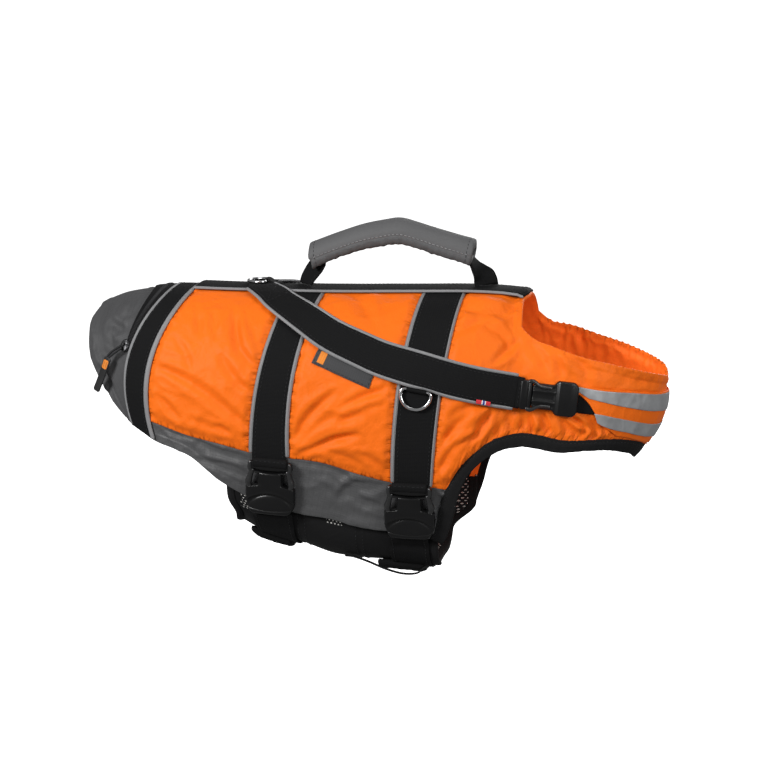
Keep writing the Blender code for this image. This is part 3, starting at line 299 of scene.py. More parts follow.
def shell(cs, rs):
    """Form points (nc, nr, 3) at columns cs and rows rs, which may be one list or one row list for each column."""
    cs = np.asarray(cs, float)
    rs = np.asarray(rs, float)
    if rs.ndim == 1:
        rs = np.repeat(rs[None], len(cs), axis=0)
    out = np.zeros((len(cs), rs.shape[1], 3))
    prm = rows_of(_tab, cs)
    col = rows_of(_col, cs - ARCH)
    for i, c in enumerate(cs):
        r = rs[i]
        if c <= ARCH + 1e-9:
            out[i] = trunk_line(prm[i], r)
            continue
        theta, zn, zl = col[i]
        ra = np.interp(r, _arch_rows, _arch[:, 2])
        s = (r - NECK_ROW) / (SEAM_ROW - NECK_ROW)
        z = np.where(r >= NECK_ROW, zn + (zl - zn) * s, zn + (ra - 61.0))
        w = max(0.0, 1.0 - (c - ARCH))
        z = z + w * np.where(r >= NECK_ROW, ra - (61.0 + (-29.5 - 61.0) * s), 0.0)
        t = math.radians(theta)
        x = NECK_X + (nose_x(z) - NECK_X) * math.sin(t) + w * (np.interp(r, _arch_rows, _arch[:, 0]) - NECK_X)
        out[i] = np.stack([x, -section_width(NECK_X, z) * math.cos(t), z], -1)
    flat = out.reshape(-1, 3)
    keep = np.abs(flat[:, 1]) > 0.5
    flat[keep] = project(flat[keep], 2)
    return flat.reshape(out.shape)


def shell_normal(p):
    n = normal(p)
    mid = np.abs(p[..., 1]) < 1e-6
    n[mid, 1] = 0.0
    return unit(n)


def collar_point(theta, z, h):
    """Points round the chest by plan angle (degrees) and height."""
    theta, z = np.broadcast_arrays(np.asarray(theta, float), np.asarray(z, float))
    t = np.radians(theta)
    p = np.stack([NECK_X + (nose_x(z) - NECK_X) * np.sin(t), -section_width(NECK_X, z) * np.cos(t), z], -1)
    n = normal(p)
    n[theta > 89.99, 1] = 0.0
    n = unit(n)
    return p + n * np.asarray(h, float)[..., None] if np.ndim(h) else p + n * h


# ---------------------------------------------------------------- noise, seeded and the same on each run
def waves(seed, lo, hi, n=14):
    """Sum of plane waves in space with wavelengths from lo to hi (mm): a function of points, about -1 to 1."""
    rng = np.random.default_rng(seed)
    d = unit(rng.normal(size=(n, 3)))
    k = 2 * math.pi / rng.uniform(lo, hi, n)
    ph = rng.uniform(0, 2 * math.pi, n)

    def f(p):
        out = np.zeros(p.shape[:-1])
        for a in range(n):
            out += np.sin((p @ d[a]) * k[a] + ph[a])
        return out * (1.6 / n)
    return f


def ridged(seed, lo, hi, n=6):
    """Creased noise: sharp ridges between soft hollows, 0 to 1."""
    a, b = waves(seed, lo, hi, n), waves(seed + 1, lo * 1.6, hi * 1.6, n)

    def f(p):
        return np.clip(1.0 - np.abs(a(p) + 0.35 * b(p)) * 1.9, 0.0, 1.0) ** 2
    return f


# ---------------------------------------------------------------- meshes
def M(v):
    """Design millimetres to metres in the shared frame."""
    v = np.array(v, float)
    v[..., 2] -= BACK_Z
    return v * 0.001


def new_object(name, verts, faces, mats, face_mat=None, st=None, sharp=None):
    """verts in design mm; faces lists of quads or triangles (numpy arrays)."""
    me = bpy.data.meshes.new(name)
    v = M(verts)
    faces = [np.asarray(f, np.int32) for f in (faces if isinstance(faces, (list, tuple)) else [faces]) if len(f)]
    me.vertices.add(len(v))
    me.vertices.foreach_set("co", v.astype(np.float32).ravel())
    loops = np.concatenate([f.ravel() for f in faces])
    sizes = np.concatenate([np.full(len(f), f.shape[1], np.int32) for f in faces])
    starts = np.concatenate([[0], np.cumsum(sizes)[:-1]]).astype(np.int32)
    me.loops.add(len(loops))
    me.loops.foreach_set("vertex_index", loops.astype(np.int32))
    me.polygons.add(len(sizes))
    me.polygons.foreach_set("loop_start", starts)
    me.polygons.foreach_set("loop_total", sizes)
    me.polygons.foreach_set("use_smooth", np.ones(len(sizes), bool))
    for m in (mats if isinstance(mats, (list, tuple)) else [mats]):
        me.materials.append(m)
    if face_mat is not None:
        me.polygons.foreach_set("material_index", np.asarray(face_mat, np.int32))
    me.update(calc_edges=True)
    if st is not None:
        a = me.attributes.new("st", "FLOAT_VECTOR", "POINT")
        a.data.foreach_set("vector", np.asarray(st, np.float32).ravel())
    if sharp is not None:
        me.set_sharp_from_angle(angle=math.radians(sharp))
    me.validate()
    ob = bpy.data.objects.new(name, me)
    scene.collection.objects.link(ob)
    return ob


def fix_normals(ob):
    import bmesh
    bm = bmesh.new()
    bm.from_mesh(ob.data)
    bmesh.ops.recalc_face_normals(bm, faces=bm.faces)
    if bm.calc_volume(signed=True) < 0:
        bmesh.ops.reverse_faces(bm, faces=bm.faces)
    bm.to_mesh(ob.data)
    bm.free()
    ob.data.update()
    return ob


BODY = {}


def piece(ob, nodes=(), body="jacket"):
    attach(ob, body)
    if nodes:
        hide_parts(*((nodes,) if isinstance(nodes, str) else nodes))
    return ob


def slab(name, outer, inner, mats, mask=None, bulge=0.8, st=None, inner_mat=0, edge_mat=0, mirror=False, steps=3):
    """Closed wall between two point grids (design mm) with rounded edges."""
    outer, inner = np.array(outer, float), np.array(inner, float)
    ni, nj = outer.shape[:2]
    if mask is None:
        mask = np.ones((ni - 1, nj - 1), bool)
    used = np.zeros((ni, nj), bool)
    ii, jj = np.nonzero(mask)
    for a, b in ((0, 0), (1, 0), (1, 1), (0, 1)):
        used[ii + a, jj + b] = True
    idx = -np.ones((ni, nj), int)
    idx[used] = np.arange(used.sum())
    n0 = int(used.sum())
    V = [outer[used], inner[used]]
    q = np.stack([idx[ii, jj], idx[ii + 1, jj], idx[ii + 1, jj + 1], idx[ii, jj + 1]], 1)
    F = [q, q[:, ::-1] + n0]
    mat = [np.zeros(len(q), int), np.full(len(q), inner_mat)]
    # boundary edges, in the order of the outer faces
    pm = np.zeros((ni + 1, nj + 1), bool)
    pm[1:-1, 1:-1] = mask
    edges = []
    for (a, b), (c, d), off in (((0, 0), (1, 0), (0, -1)), ((1, 0), (1, 1), (1, 0)), ((1, 1), (0, 1), (0, 1)),
                                ((0, 1), (0, 0), (-1, 0))):
        free = ~pm[ii + 1 + off[0], jj + 1 + off[1]]
        e = np.stack([ii[free] + a, jj[free] + b, ii[free] + c, jj[free] + d, ii[free], jj[free]], 1)
        edges.append(e)
    edges = np.concatenate(edges)
    A, B = outer[edges[:, 0], edges[:, 1]], outer[edges[:, 2], edges[:, 3]]
    cells = 0.25 * (outer[edges[:, 4], edges[:, 5]] + outer[edges[:, 4] + 1, edges[:, 5]]
                    + outer[edges[:, 4], edges[:, 5] + 1] + outer[edges[:, 4] + 1, edges[:, 5] + 1])
    t = unit(B - A)
    o = 0.5 * (A + B) - cells
    o = unit(o - (o * t).sum(1, keepdims=True) * t)
    out = np.zeros((ni, nj, 3))
    for k in (0, 2):
        np.add.at(out, (edges[:, k], edges[:, k + 1]), o)
    bnd = np.zeros((ni, nj), bool)
    bnd[edges[:, 0], edges[:, 1]] = True
    bnd[edges[:, 2], edges[:, 3]] = True
    half = 0.5 * (outer[bnd] - inner[bnd])
    ln = np.maximum(np.linalg.norm(half, axis=1, keepdims=True), 1e-9)
    ob_ = unit(out[bnd])
    ob_ = unit(ob_ - (ob_ * half).sum(1, keepdims=True) * half / ln**2)
    mid = 0.5 * (outer[bnd] + inner[bnd])
    bl = bulge if np.isscalar(bulge) else np.asarray(bulge)[bnd][:, None]
    nb = int(bnd.sum())
    bidx = -np.ones((ni, nj), int)
    bidx[bnd] = np.arange(nb)
    for k in range(1, steps + 1):
        a = math.pi * k / (steps + 1)
        V.append(mid + half * math.cos(a) + ob_ * bl * math.sin(a))
    base = 2 * n0
    ea, eb = idx[edges[:, 0], edges[:, 1]], idx[edges[:, 2], edges[:, 3]]
    ba, bb = bidx[edges[:, 0], edges[:, 1]], bidx[edges[:, 2], edges[:, 3]]
    ring_a = [ea] + [base + k * nb + ba for k in range(steps)] + [ea + n0]
    ring_b = [eb] + [base + k * nb + bb for k in range(steps)] + [eb + n0]
    for k in range(steps + 1):
        F.append(np.stack([ring_b[k], ring_a[k], ring_a[k + 1], ring_b[k + 1]], 1))
        mat.append(np.full(len(edges), edge_mat))
    V = np.concatenate(V)
    F, mat = np.concatenate(F), np.concatenate(mat)
    if st is not None:
        st = np.asarray(st, float)
        if st.shape[-1] == 2:
            st = np.concatenate([st, np.zeros(st.shape[:-1] + (1,))], -1)
        st = np.concatenate([st[used], st[used]] + [st[bnd]] * steps)
    if mirror:
        V = V * FLIP
    if st is None:
        st = np.zeros((len(V), 3))
    # orientation: the outer side must face outwards
    a, b, c = V[F[0, 0]], V[F[0, 1]], V[F[0, 2]]
    nrm = np.cross(b - a, c - a)
    first = V[F[0]] .mean(0) - V[F[len(q)]].mean(0)
    if nrm.dot(first) < 0:
        F = F[:, ::-1]
    return new_object(name, V, F, mats, mat, st)


def tube(name, rings, mats, close=False, st=None, sharp=None, cap=True, mirror=False):
    """Closed body through matching rings of points."""
    rings = np.array(rings, float)
    n, m = rings.shape[:2]
    V = rings.reshape(-1, 3)
    i, k = np.meshgrid(np.arange(n if close else n - 1), np.arange(m), indexing="ij")
    i, k = i.ravel(), k.ravel()
    a, b, l = i * m, ((i + 1) % n) * m, (k + 1) % m
    F = np.stack([a + k, a + l, b + l, b + k], 1)
    S = np.zeros((len(V), 3)) if st is None else np.asarray(st, float).reshape(-1, 3)
    faces = [F]
    if not close and cap:
        V = np.vstack([V, rings[0].mean(0), rings[-1].mean(0)])
        S = np.vstack([S, S[:1], S[-1:]])
        kk = np.arange(m)
        faces.append(np.stack([(kk + 1) % m, kk, np.full(m, n * m)], 1))
        e = (n - 1) * m
        faces.append(np.stack([e + kk, e + (kk + 1) % m, np.full(m, n * m + 1)], 1))
    if mirror:
        V = V * FLIP
    ob = new_object(name, V, faces, mats, st=S, sharp=sharp)
    return fix_normals(ob)


def profile(w, t, crown=0.0, n=10, corner=4):
    """Closed strip section with rounded edges: (across, up), width w, thickness t, base at 0."""
    r = t / 2
    xs = np.linspace(-w / 2 + r, w / 2 - r, n)
    top = [(x, t + crown * (1 - (2 * x / w) ** 2)) for x in xs]
    ang = [math.pi / 2 - math.pi * k / corner for k in range(1, corner)]
    right = [(w / 2 - r + r * math.cos(a), r + r * math.sin(a)) for a in ang]
    bottom = [(x, 0.0) for x in xs[::-1]]
    left = [(-w / 2 + r - r * math.cos(a), r - r * math.sin(a)) for a in ang]
    return np.array(top + right + bottom + left)


def sweep_on(name, centre, across, up, prof, mats, close=False, st_scale=True, mirror=False, cap=True, rise=None):
    """Sweep a section (across, up) along a centre line with given side and up vectors."""
    centre, across, up = [np.asarray(a, float) for a in (centre, across, up)]
    prof = np.asarray(prof, float)
    if prof.ndim == 2:
        prof = np.repeat(prof[None], len(centre), axis=0)
    rings = centre[:, None] + across[:, None] * prof[..., :1] + up[:, None] * prof[..., 1:2]
    s = np.concatenate([[0], np.cumsum(np.linalg.norm(np.diff(centre, axis=0), axis=1))])
    st = np.stack([prof[..., 0], np.repeat(s[:, None], prof.shape[1], 1), prof[..., 1]], -1) * 0.001
    return tube(name, rings, mats, close=close, st=st, mirror=mirror, cap=cap)


def stitch_mesh(name, runs, mat, length=2.6, gap=1.5, r=0.26, lift=0.12):
    """Thread stitches as small capsules along runs of (points, normals)."""
    V, F, base = [], [], 0
    prof = ((-0.5, 0.05), (-0.37, 1.0), (0.37, 1.0), (0.5, 0.05))
    m_ = 4
    for pts, nrm in runs:
        pts, nrm = np.asarray(pts, float), np.asarray(nrm, float)
        s = np.concatenate([[0], np.cumsum(np.linalg.norm(np.diff(pts, axis=0), axis=1))])
        step = length + gap
        k = int(s[-1] // step)
        if k < 1:
            continue
        mids = (np.arange(k) + 0.5) * (s[-1] / k)
        for m in mids:
            a = np.array([np.interp(m - length / 2, s, pts[:, q]) for q in range(3)])
            b = np.array([np.interp(m + length / 2, s, pts[:, q]) for q in range(3)])
            n = unit(np.array([np.interp(m, s, nrm[:, q]) for q in range(3)]))
            t = unit(b - a)
            w = unit(np.cross(t, n))
            u = np.cross(w, t)
            c = 0.5 * (a + b) + u * lift
            ln = np.linalg.norm(b - a)
            ring0 = base
            for px, pr in prof:
                for q in range(m_):
                    an = 2 * math.pi * q / m_
                    V.append(c + t * ln * px + (w * math.cos(an) + u * math.sin(an)) * r * pr)
            for i in range(len(prof) - 1):
                for q in range(m_):
                    l = (q + 1) % m_
                    F.append((ring0 + i * m_ + q, ring0 + i * m_ + l, ring0 + (i + 1) * m_ + l, ring0 + (i + 1) * m_ + q))
            for e in (0, len(prof) - 1):
                o = ring0 + e * m_
                x = (0, 1, 2, 3)
                F.append(tuple(o + y for y in (x if e else x[::-1])))
            base += len(prof) * m_
    V = np.array(V)
    ob = new_object(name, V, np.array(F), mat, st=np.zeros((len(V), 3)))
    return ob


# ---------------------------------------------------------------- materials
class Nodes:
    """Small helper to wire a procedural material."""

    def __init__(self, name):
        self.m = bpy.data.materials.new(name)
        self.m.use_nodes = True
        self.t = self.m.node_tree
        self.b = self.t.nodes["Principled BSDF"]
        self.co = None

    def new(self, kind, **kw):
        n = self.t.nodes.new(kind)
        for k, v in kw.items():
            setattr(n, k, v)
        return n

    def link(self, a, b):
        self.t.links.new(a, b)

    def st(self):
        n = self.new("ShaderNodeAttribute", attribute_name="st")
        return n.outputs["Vector"]

    def obj(self):
        return self.new("ShaderNodeTexCoord").outputs["Object"]

    def scaled(self, vec, s, rot=(0, 0, 0)):
        n = self.new("ShaderNodeMapping")
        n.inputs["Scale"].default_value = s if hasattr(s, "__len__") else (s, s, s)
        n.inputs["Rotation"].default_value = rot
        self.link(vec, n.inputs["Vector"])
        return n.outputs["Vector"]

    def noise(self, vec, scale, detail=3.0, rough=0.55, dist=0.0):
        n = self.new("ShaderNodeTexNoise")
        self.link(vec, n.inputs["Vector"])
        n.inputs["Scale"].default_value = scale
        n.inputs["Detail"].default_value = detail
        n.inputs["Roughness"].default_value = rough
        n.inputs["Distortion"].default_value = dist
        return n.outputs["Fac"]

    def math(self, op, a, b=None, clamp=False):
        n = self.new("ShaderNodeMath", operation=op, use_clamp=clamp)
        for k, v in enumerate((a, b)):
            if v is None:
                continue
            if isinstance(v, (int, float)):
                n.inputs[k].default_value = v
            else:
                self.link(v, n.inputs[k])
        return n.outputs[0]

    def part(self, vec, axis):
        n = self.new("ShaderNodeSeparateXYZ")
        self.link(vec, n.inputs[0])
        return n.outputs[axis]

    def thread(self, vec, axis, pitch):
        """Rounded threads across one axis: 0 in the gap, 1 on the crown."""
        v = self.math("MULTIPLY", self.part(vec, axis), math.pi / pitch)
        return self.math("ABSOLUTE", self.math("SINE", v))

    def ramp(self, fac, stops):
        n = self.new("ShaderNodeValToRGB")
        e = n.color_ramp.elements
        while len(e) < len(stops):
            e.new(0.5)
        for k, (p, c) in enumerate(stops):
            e[k].position = p
            e[k].color = (*c, 1.0) if len(c) == 3 else c
        self.link(fac, n.inputs[0])
        return n.outputs["Color"]

    def mix(self, fac, a, b):
        n = self.new("ShaderNodeMix", data_type="RGBA")
        for sock, v in ((n.inputs[0], fac), (n.inputs[6], a), (n.inputs[7], b)):
            if isinstance(v, (int, float)):
                sock.default_value = v
            elif isinstance(v, tuple):
                sock.default_value = (*v, 1.0)
            else:
                self.link(v, sock)
        return n.outputs[2]

    def bump(self, height, strength, distance, prev=None):
        n = self.new("ShaderNodeBump")
        n.inputs["Strength"].default_value = strength
        n.inputs["Distance"].default_value = distance
        self.link(height, n.inputs["Height"])
        if prev is not None:
            self.link(prev, n.inputs["Normal"])
        self.link(n.outputs["Normal"], self.b.inputs["Normal"])
        return n.outputs["Normal"]

    def rough(self, fac, lo, hi):
        n = self.new("ShaderNodeMapRange")
        self.link(fac, n.inputs["Value"])
        n.inputs["To Min"].default_value, n.inputs["To Max"].default_value = lo, hi
        self.link(n.outputs[0], self.b.inputs["Roughness"])

    def set(self, **kw):
        for k, v in kw.items():
            self.b.inputs[k.replace("_", " ")].default_value = v


def tint(c, k):
    return tuple(min(1.0, x * k) for x in c)


def cloth_material(name, colour, weave=0.0006, weave_bump=0.25, crinkle=0.5, spec=0.35, rough=(0.5, 0.62), sheen=0.0,
                   grid=None, vary=0.10, sheen_tint=(1, 1, 1, 1), gather_shade=0.0):
    """Woven cloth: threads both ways, soft crinkle, slow change of colour; grid adds the raised ripstop threads."""
    n = Nodes(name)
    st, ob = n.st(), n.obj()
    slow = n.noise(ob, 14.0, 2.0)
    fine = n.noise(ob, 900.0, 2.0)
    col = n.ramp(slow, ((0.25, tint(colour, 1 - vary)), (0.75, tint(colour, 1 + vary))))
    a, b = n.thread(st, 0, weave), n.thread(st, 1, weave)
    wv = n.math("MULTIPLY", a, b)
    # painted shade: the colour is darkened in the gaps between the threads
    col = n.mix(n.math("MULTIPLY", n.math("SUBTRACT", 1.0, wv), 0.10), col, tint(colour, 0.72))
    col = n.mix(n.math("MULTIPLY", fine, 0.10), col, tint(colour, 0.85))
    nb = n.bump(wv, weave_bump, 0.00012)
    if grid:
        ga = n.math("POWER", n.math("SUBTRACT", 1.0, n.thread(st, 0, grid[0])), 10.0)
        gb = n.math("POWER", n.math("SUBTRACT", 1.0, n.thread(st, 1, grid[1])), 8.0)
        g = n.math("MAXIMUM", n.math("MULTIPLY", ga, 0.6), gb)
        col = n.mix(n.math("MULTIPLY", g, grid[2]), col, tint(colour, grid[3]))
        nb = n.bump(g, 0.5, 0.0002, nb)
    cr = n.noise(ob, 55.0, 4.0, 0.6, 0.8)
    nb = n.bump(cr, crinkle, 0.0022, nb)
    nb = n.bump(n.noise(ob, 170.0, 2.0, 0.5, 0.6), crinkle, 0.0006, nb)
    if gather_shade:
        # small sharp gathers where the cloth is caught in a seam: the bump gives their relief, and their colour is
        # darkened as painted shade; st.z is 1 at a seam, positive beside one that runs across the form and negative
        # beside one that runs along it
        z = n.part(st, 2)
        for sign, sc in ((1.0, (75.0, 340.0, 0.0)), (-1.0, (340.0, 75.0, 0.0))):
            mask = n.math("MULTIPLY", z, sign, True)
            tk = n.math("MULTIPLY", n.math("SUBTRACT", n.noise(n.scaled(st, sc), 1.0, 1.0, 0.4, 0.25), 0.53), 8.0, True)
            tk = n.math("MULTIPLY", tk, mask)
            col = n.mix(n.math("MULTIPLY", tk, gather_shade), col, tint(colour, 0.42))
            nb = n.bump(n.math("SUBTRACT", 1.0, tk), 0.8, 0.0009, nb)
    n.link(col, n.b.inputs["Base Color"])
    n.rough(slow, *rough)
    n.b.inputs["Specular IOR Level"].default_value = spec
    n.b.inputs["Sheen Weight"].default_value = sheen
    n.b.inputs["Sheen Roughness"].default_value = 0.4
    n.b.inputs["Sheen Tint"].default_value = sheen_tint
    return n.m


def web_material(name, colour, rib=0.0013, across=1, rough=(0.62, 0.78), strength=0.6, spec=0.3, herring=0.0022):
    """Woven webbing: ribs across its run, threads along it, with painted shade in the grooves and painted highlight on
    the crowns.
    """
    n = Nodes(name)
    st, ob = n.st(), n.obj()
    rb = n.thread(st, across, rib)
    th = n.thread(st, 0 if across == 1 else 1, herring)
    h = n.math("MULTIPLY", rb, n.math("ADD", n.math("MULTIPLY", th, 0.5), 0.5))
    slow = n.noise(ob, 22.0, 3.0)
    lines = n.noise(n.scaled(st, (30.0, 900.0, 1.0) if across == 1 else (900.0, 30.0, 1.0)), 1.0, 2.0)
    # painted shade and highlight: darker in the grooves, lighter on the crowns of the ribs
    col = n.mix(h, tint(colour, 0.62), tint(colour, 1.15))
    col = n.mix(n.math("MULTIPLY", n.math("MULTIPLY", lines, slow), 0.7), col, tint(colour, 1.9))
    n.link(col, n.b.inputs["Base Color"])
    nb = n.bump(h, strength, 0.00025)
    n.bump(n.noise(ob, 60.0, 3.0), 0.25, 0.0012, nb)
    n.rough(slow, *rough)
    n.b.inputs["Specular IOR Level"].default_value = spec
    return n.m


def plastic_material(name, colour, rough=(0.26, 0.42), metal=0.0, coat=0.0, grain=0.12, spec=0.5):
    n = Nodes(name)
    ob = n.obj()
    slow = n.noise(ob, 60.0, 3.0)
    fine = n.noise(ob, 1600.0, 2.0)
    n.link(n.ramp(slow, ((0.3, tint(colour, 0.85)), (0.7, tint(colour, 1.15)))), n.b.inputs["Base Color"])
    n.bump(n.math("ADD", n.math("MULTIPLY", fine, 0.5), slow), grain, 0.0003)
    n.rough(slow, *rough)
    n.b.inputs["Metallic"].default_value = metal
    n.b.inputs["Coat Weight"].default_value = coat
    n.b.inputs["Specular IOR Level"].default_value = spec
    return n.m


def mesh_material(name):
    """Black lining net with small pale knots in a staggered repeat."""
    n = Nodes(name)
    st, ob = n.st(), n.obj()
    a, b = n.part(st, 0), n.part(st, 1)
    pitch = 0.0036
    u, v = n.math("DIVIDE", a, pitch), n.math("DIVIDE", b, pitch * 0.8)
    row = n.math("MULTIPLY", n.math("MODULO", n.math("ABSOLUTE", n.math("FLOOR", v)), 2.0), 0.5)
    du = n.math("SUBTRACT", n.math("FRACT", n.math("ADD", u, row)), 0.5)
    dv = n.math("SUBTRACT", n.math("FRACT", v), 0.5)
    d = n.math("SQRT", n.math("ADD", n.math("MULTIPLY", du, du), n.math("MULTIPLY", dv, dv)))
    dot = n.math("LESS_THAN", d, 0.23)
    patch = n.noise(ob, 30.0, 2.0)
    keep = n.math("GREATER_THAN", patch, 0.27)
    dot = n.math("MULTIPLY", dot, keep)
    n.link(n.mix(dot, (0.010, 0.010, 0.011), (0.50, 0.49, 0.46)), n.b.inputs["Base Color"])
    n.bump(d, 0.6, 0.0004)
    n.rough(patch, 0.7, 0.9)
    n.b.inputs["Specular IOR Level"].default_value = 0.2
    return n.m


ORANGE_C = (0.89, 0.156, 0.0080)
ORANGE = cloth_material("orange_nylon", ORANGE_C, weave=0.0005, crinkle=0.55, spec=0.13, rough=(0.44, 0.56), vary=0.06, gather_shade=0.6)
# inside of the orange cloth: a lighter copy of the orange with a painted glow, which lift the shade inside the neck and
# leg openings
ORANGE_IN_GLOW = cloth_material("orange_nylon_inside_glow", (0.98, 0.170, 0.014), weave=0.0005, crinkle=0.45, spec=0.2,
                           rough=(0.55, 0.65), vary=0.08, gather_shade=0.75)
ORANGE_IN_GLOW.node_tree.nodes["Principled BSDF"].inputs["Emission Color"].default_value = (1.0, 0.115, 0.010, 1.0)
ORANGE_IN_GLOW.node_tree.nodes["Principled BSDF"].inputs["Emission Strength"].default_value = 0.17      # painted glow: emission stands in for daylight through the cloth
RIPSTOP = cloth_material("grey_ripstop", (0.078, 0.078, 0.080), weave=0.0006, crinkle=0.4, spec=0.4, rough=(0.42, 0.56),
                         grid=(0.0060, 0.0026, 1.0, 0.62), vary=0.18)
# the tail panel takes a darker copy of the grey ripstop: painted shade
RIPSTOP_TAIL_SHADED = cloth_material("grey_ripstop_tail_shaded", (0.066, 0.066, 0.068), weave=0.0006, crinkle=0.4, spec=0.22, rough=(0.50, 0.62),
                           grid=(0.0060, 0.0026, 0.9, 0.55), vary=0.2)
RIPSTOP_IN = cloth_material("grey_ripstop_inside", (0.035, 0.035, 0.036), weave=0.0006, crinkle=0.3, spec=0.2,
                            rough=(0.6, 0.75), grid=(0.0046, 0.0023, 0.4, 0.6))
LINING = mesh_material("lining_net")
SLEEVE = cloth_material("sleeve_grey", (0.102, 0.102, 0.104), weave=0.0009, weave_bump=0.45, crinkle=0.25, spec=0.3,
                        rough=(0.55, 0.68), vary=0.07)
# the underside of the handle's lip takes a darker copy of the sleeve grey: painted shade
SLEEVE_UNDER_SHADED = cloth_material("sleeve_grey_under_shaded", (0.088, 0.088, 0.090), weave=0.0009, weave_bump=0.45, crinkle=0.4,
                            spec=0.25, rough=(0.6, 0.72), vary=0.1)
WEB = web_material("black_webbing", (0.0066, 0.0066, 0.0069), rough=(0.74, 0.88), spec=0.10)
WEB_X = web_material("black_webbing_long", (0.0066, 0.0066, 0.0069), across=0, rough=(0.74, 0.88), spec=0.10)
BINDING = web_material("black_binding", (0.0105, 0.0105, 0.0108), rib=0.0009, strength=0.35, rough=(0.75, 0.88), spec=0.12)
NEOPRENE = cloth_material("black_neoprene", (0.0085, 0.0085, 0.0088), weave=0.0008, weave_bump=0.35, crinkle=0.35, spec=0.12,
                          rough=(0.66, 0.8), sheen=0.02, vary=0.15)
PIPING = web_material("reflective_piping", (0.20, 0.20, 0.204), rib=0.0008, strength=0.35, rough=(0.42, 0.55), spec=0.45)
TAPE = plastic_material("reflective_tape", (0.30, 0.307, 0.315), rough=(0.34, 0.50), metal=0.25, grain=0.35, spec=0.45)
PLASTIC = plastic_material("black_plastic", (0.0042, 0.0042, 0.0045), rough=(0.24, 0.34), grain=0.08, spec=0.34)
CHROME = plastic_material("steel", (0.62, 0.62, 0.63), rough=(0.10, 0.20), metal=1.0, grain=0.05)
DARK_METAL = plastic_material("dark_metal", (0.05, 0.05, 0.052), rough=(0.30, 0.42), metal=0.9, grain=0.10)
LABEL = web_material("label_grey", (0.040, 0.040, 0.042), rib=0.0006, strength=0.25, rough=(0.6, 0.72), spec=0.3)
LABEL_END = web_material("label_orange", (0.72, 0.20, 0.02), rib=0.0006, strength=0.25, rough=(0.55, 0.7), spec=0.3)
RED = web_material("flag_red", (0.55, 0.025, 0.035), rib=0.0005, strength=0.2, rough=(0.6, 0.7))
WHITE = web_material("flag_white", (0.75, 0.75, 0.76), rib=0.0005, strength=0.2, rough=(0.6, 0.7))
BLUE = web_material("flag_blue", (0.02, 0.04, 0.22), rib=0.0005, strength=0.2, rough=(0.6, 0.7))
THREAD_BLACK = plastic_material("thread_black", (0.016, 0.016, 0.017), rough=(0.6, 0.75), grain=0.2, spec=0.3)
THREAD_GREY = plastic_material("thread_grey", (0.33, 0.33, 0.34), rough=(0.6, 0.75), grain=0.2, spec=0.3)
THREAD_ORANGE = plastic_material("thread_orange", (0.75, 0.12, 0.01), rough=(0.6, 0.75), grain=0.2, spec=0.3)
THREAD_DARK = plastic_material("thread_dark_grey", (0.10, 0.10, 0.10), rough=(0.6, 0.75), grain=0.2, spec=0.3)
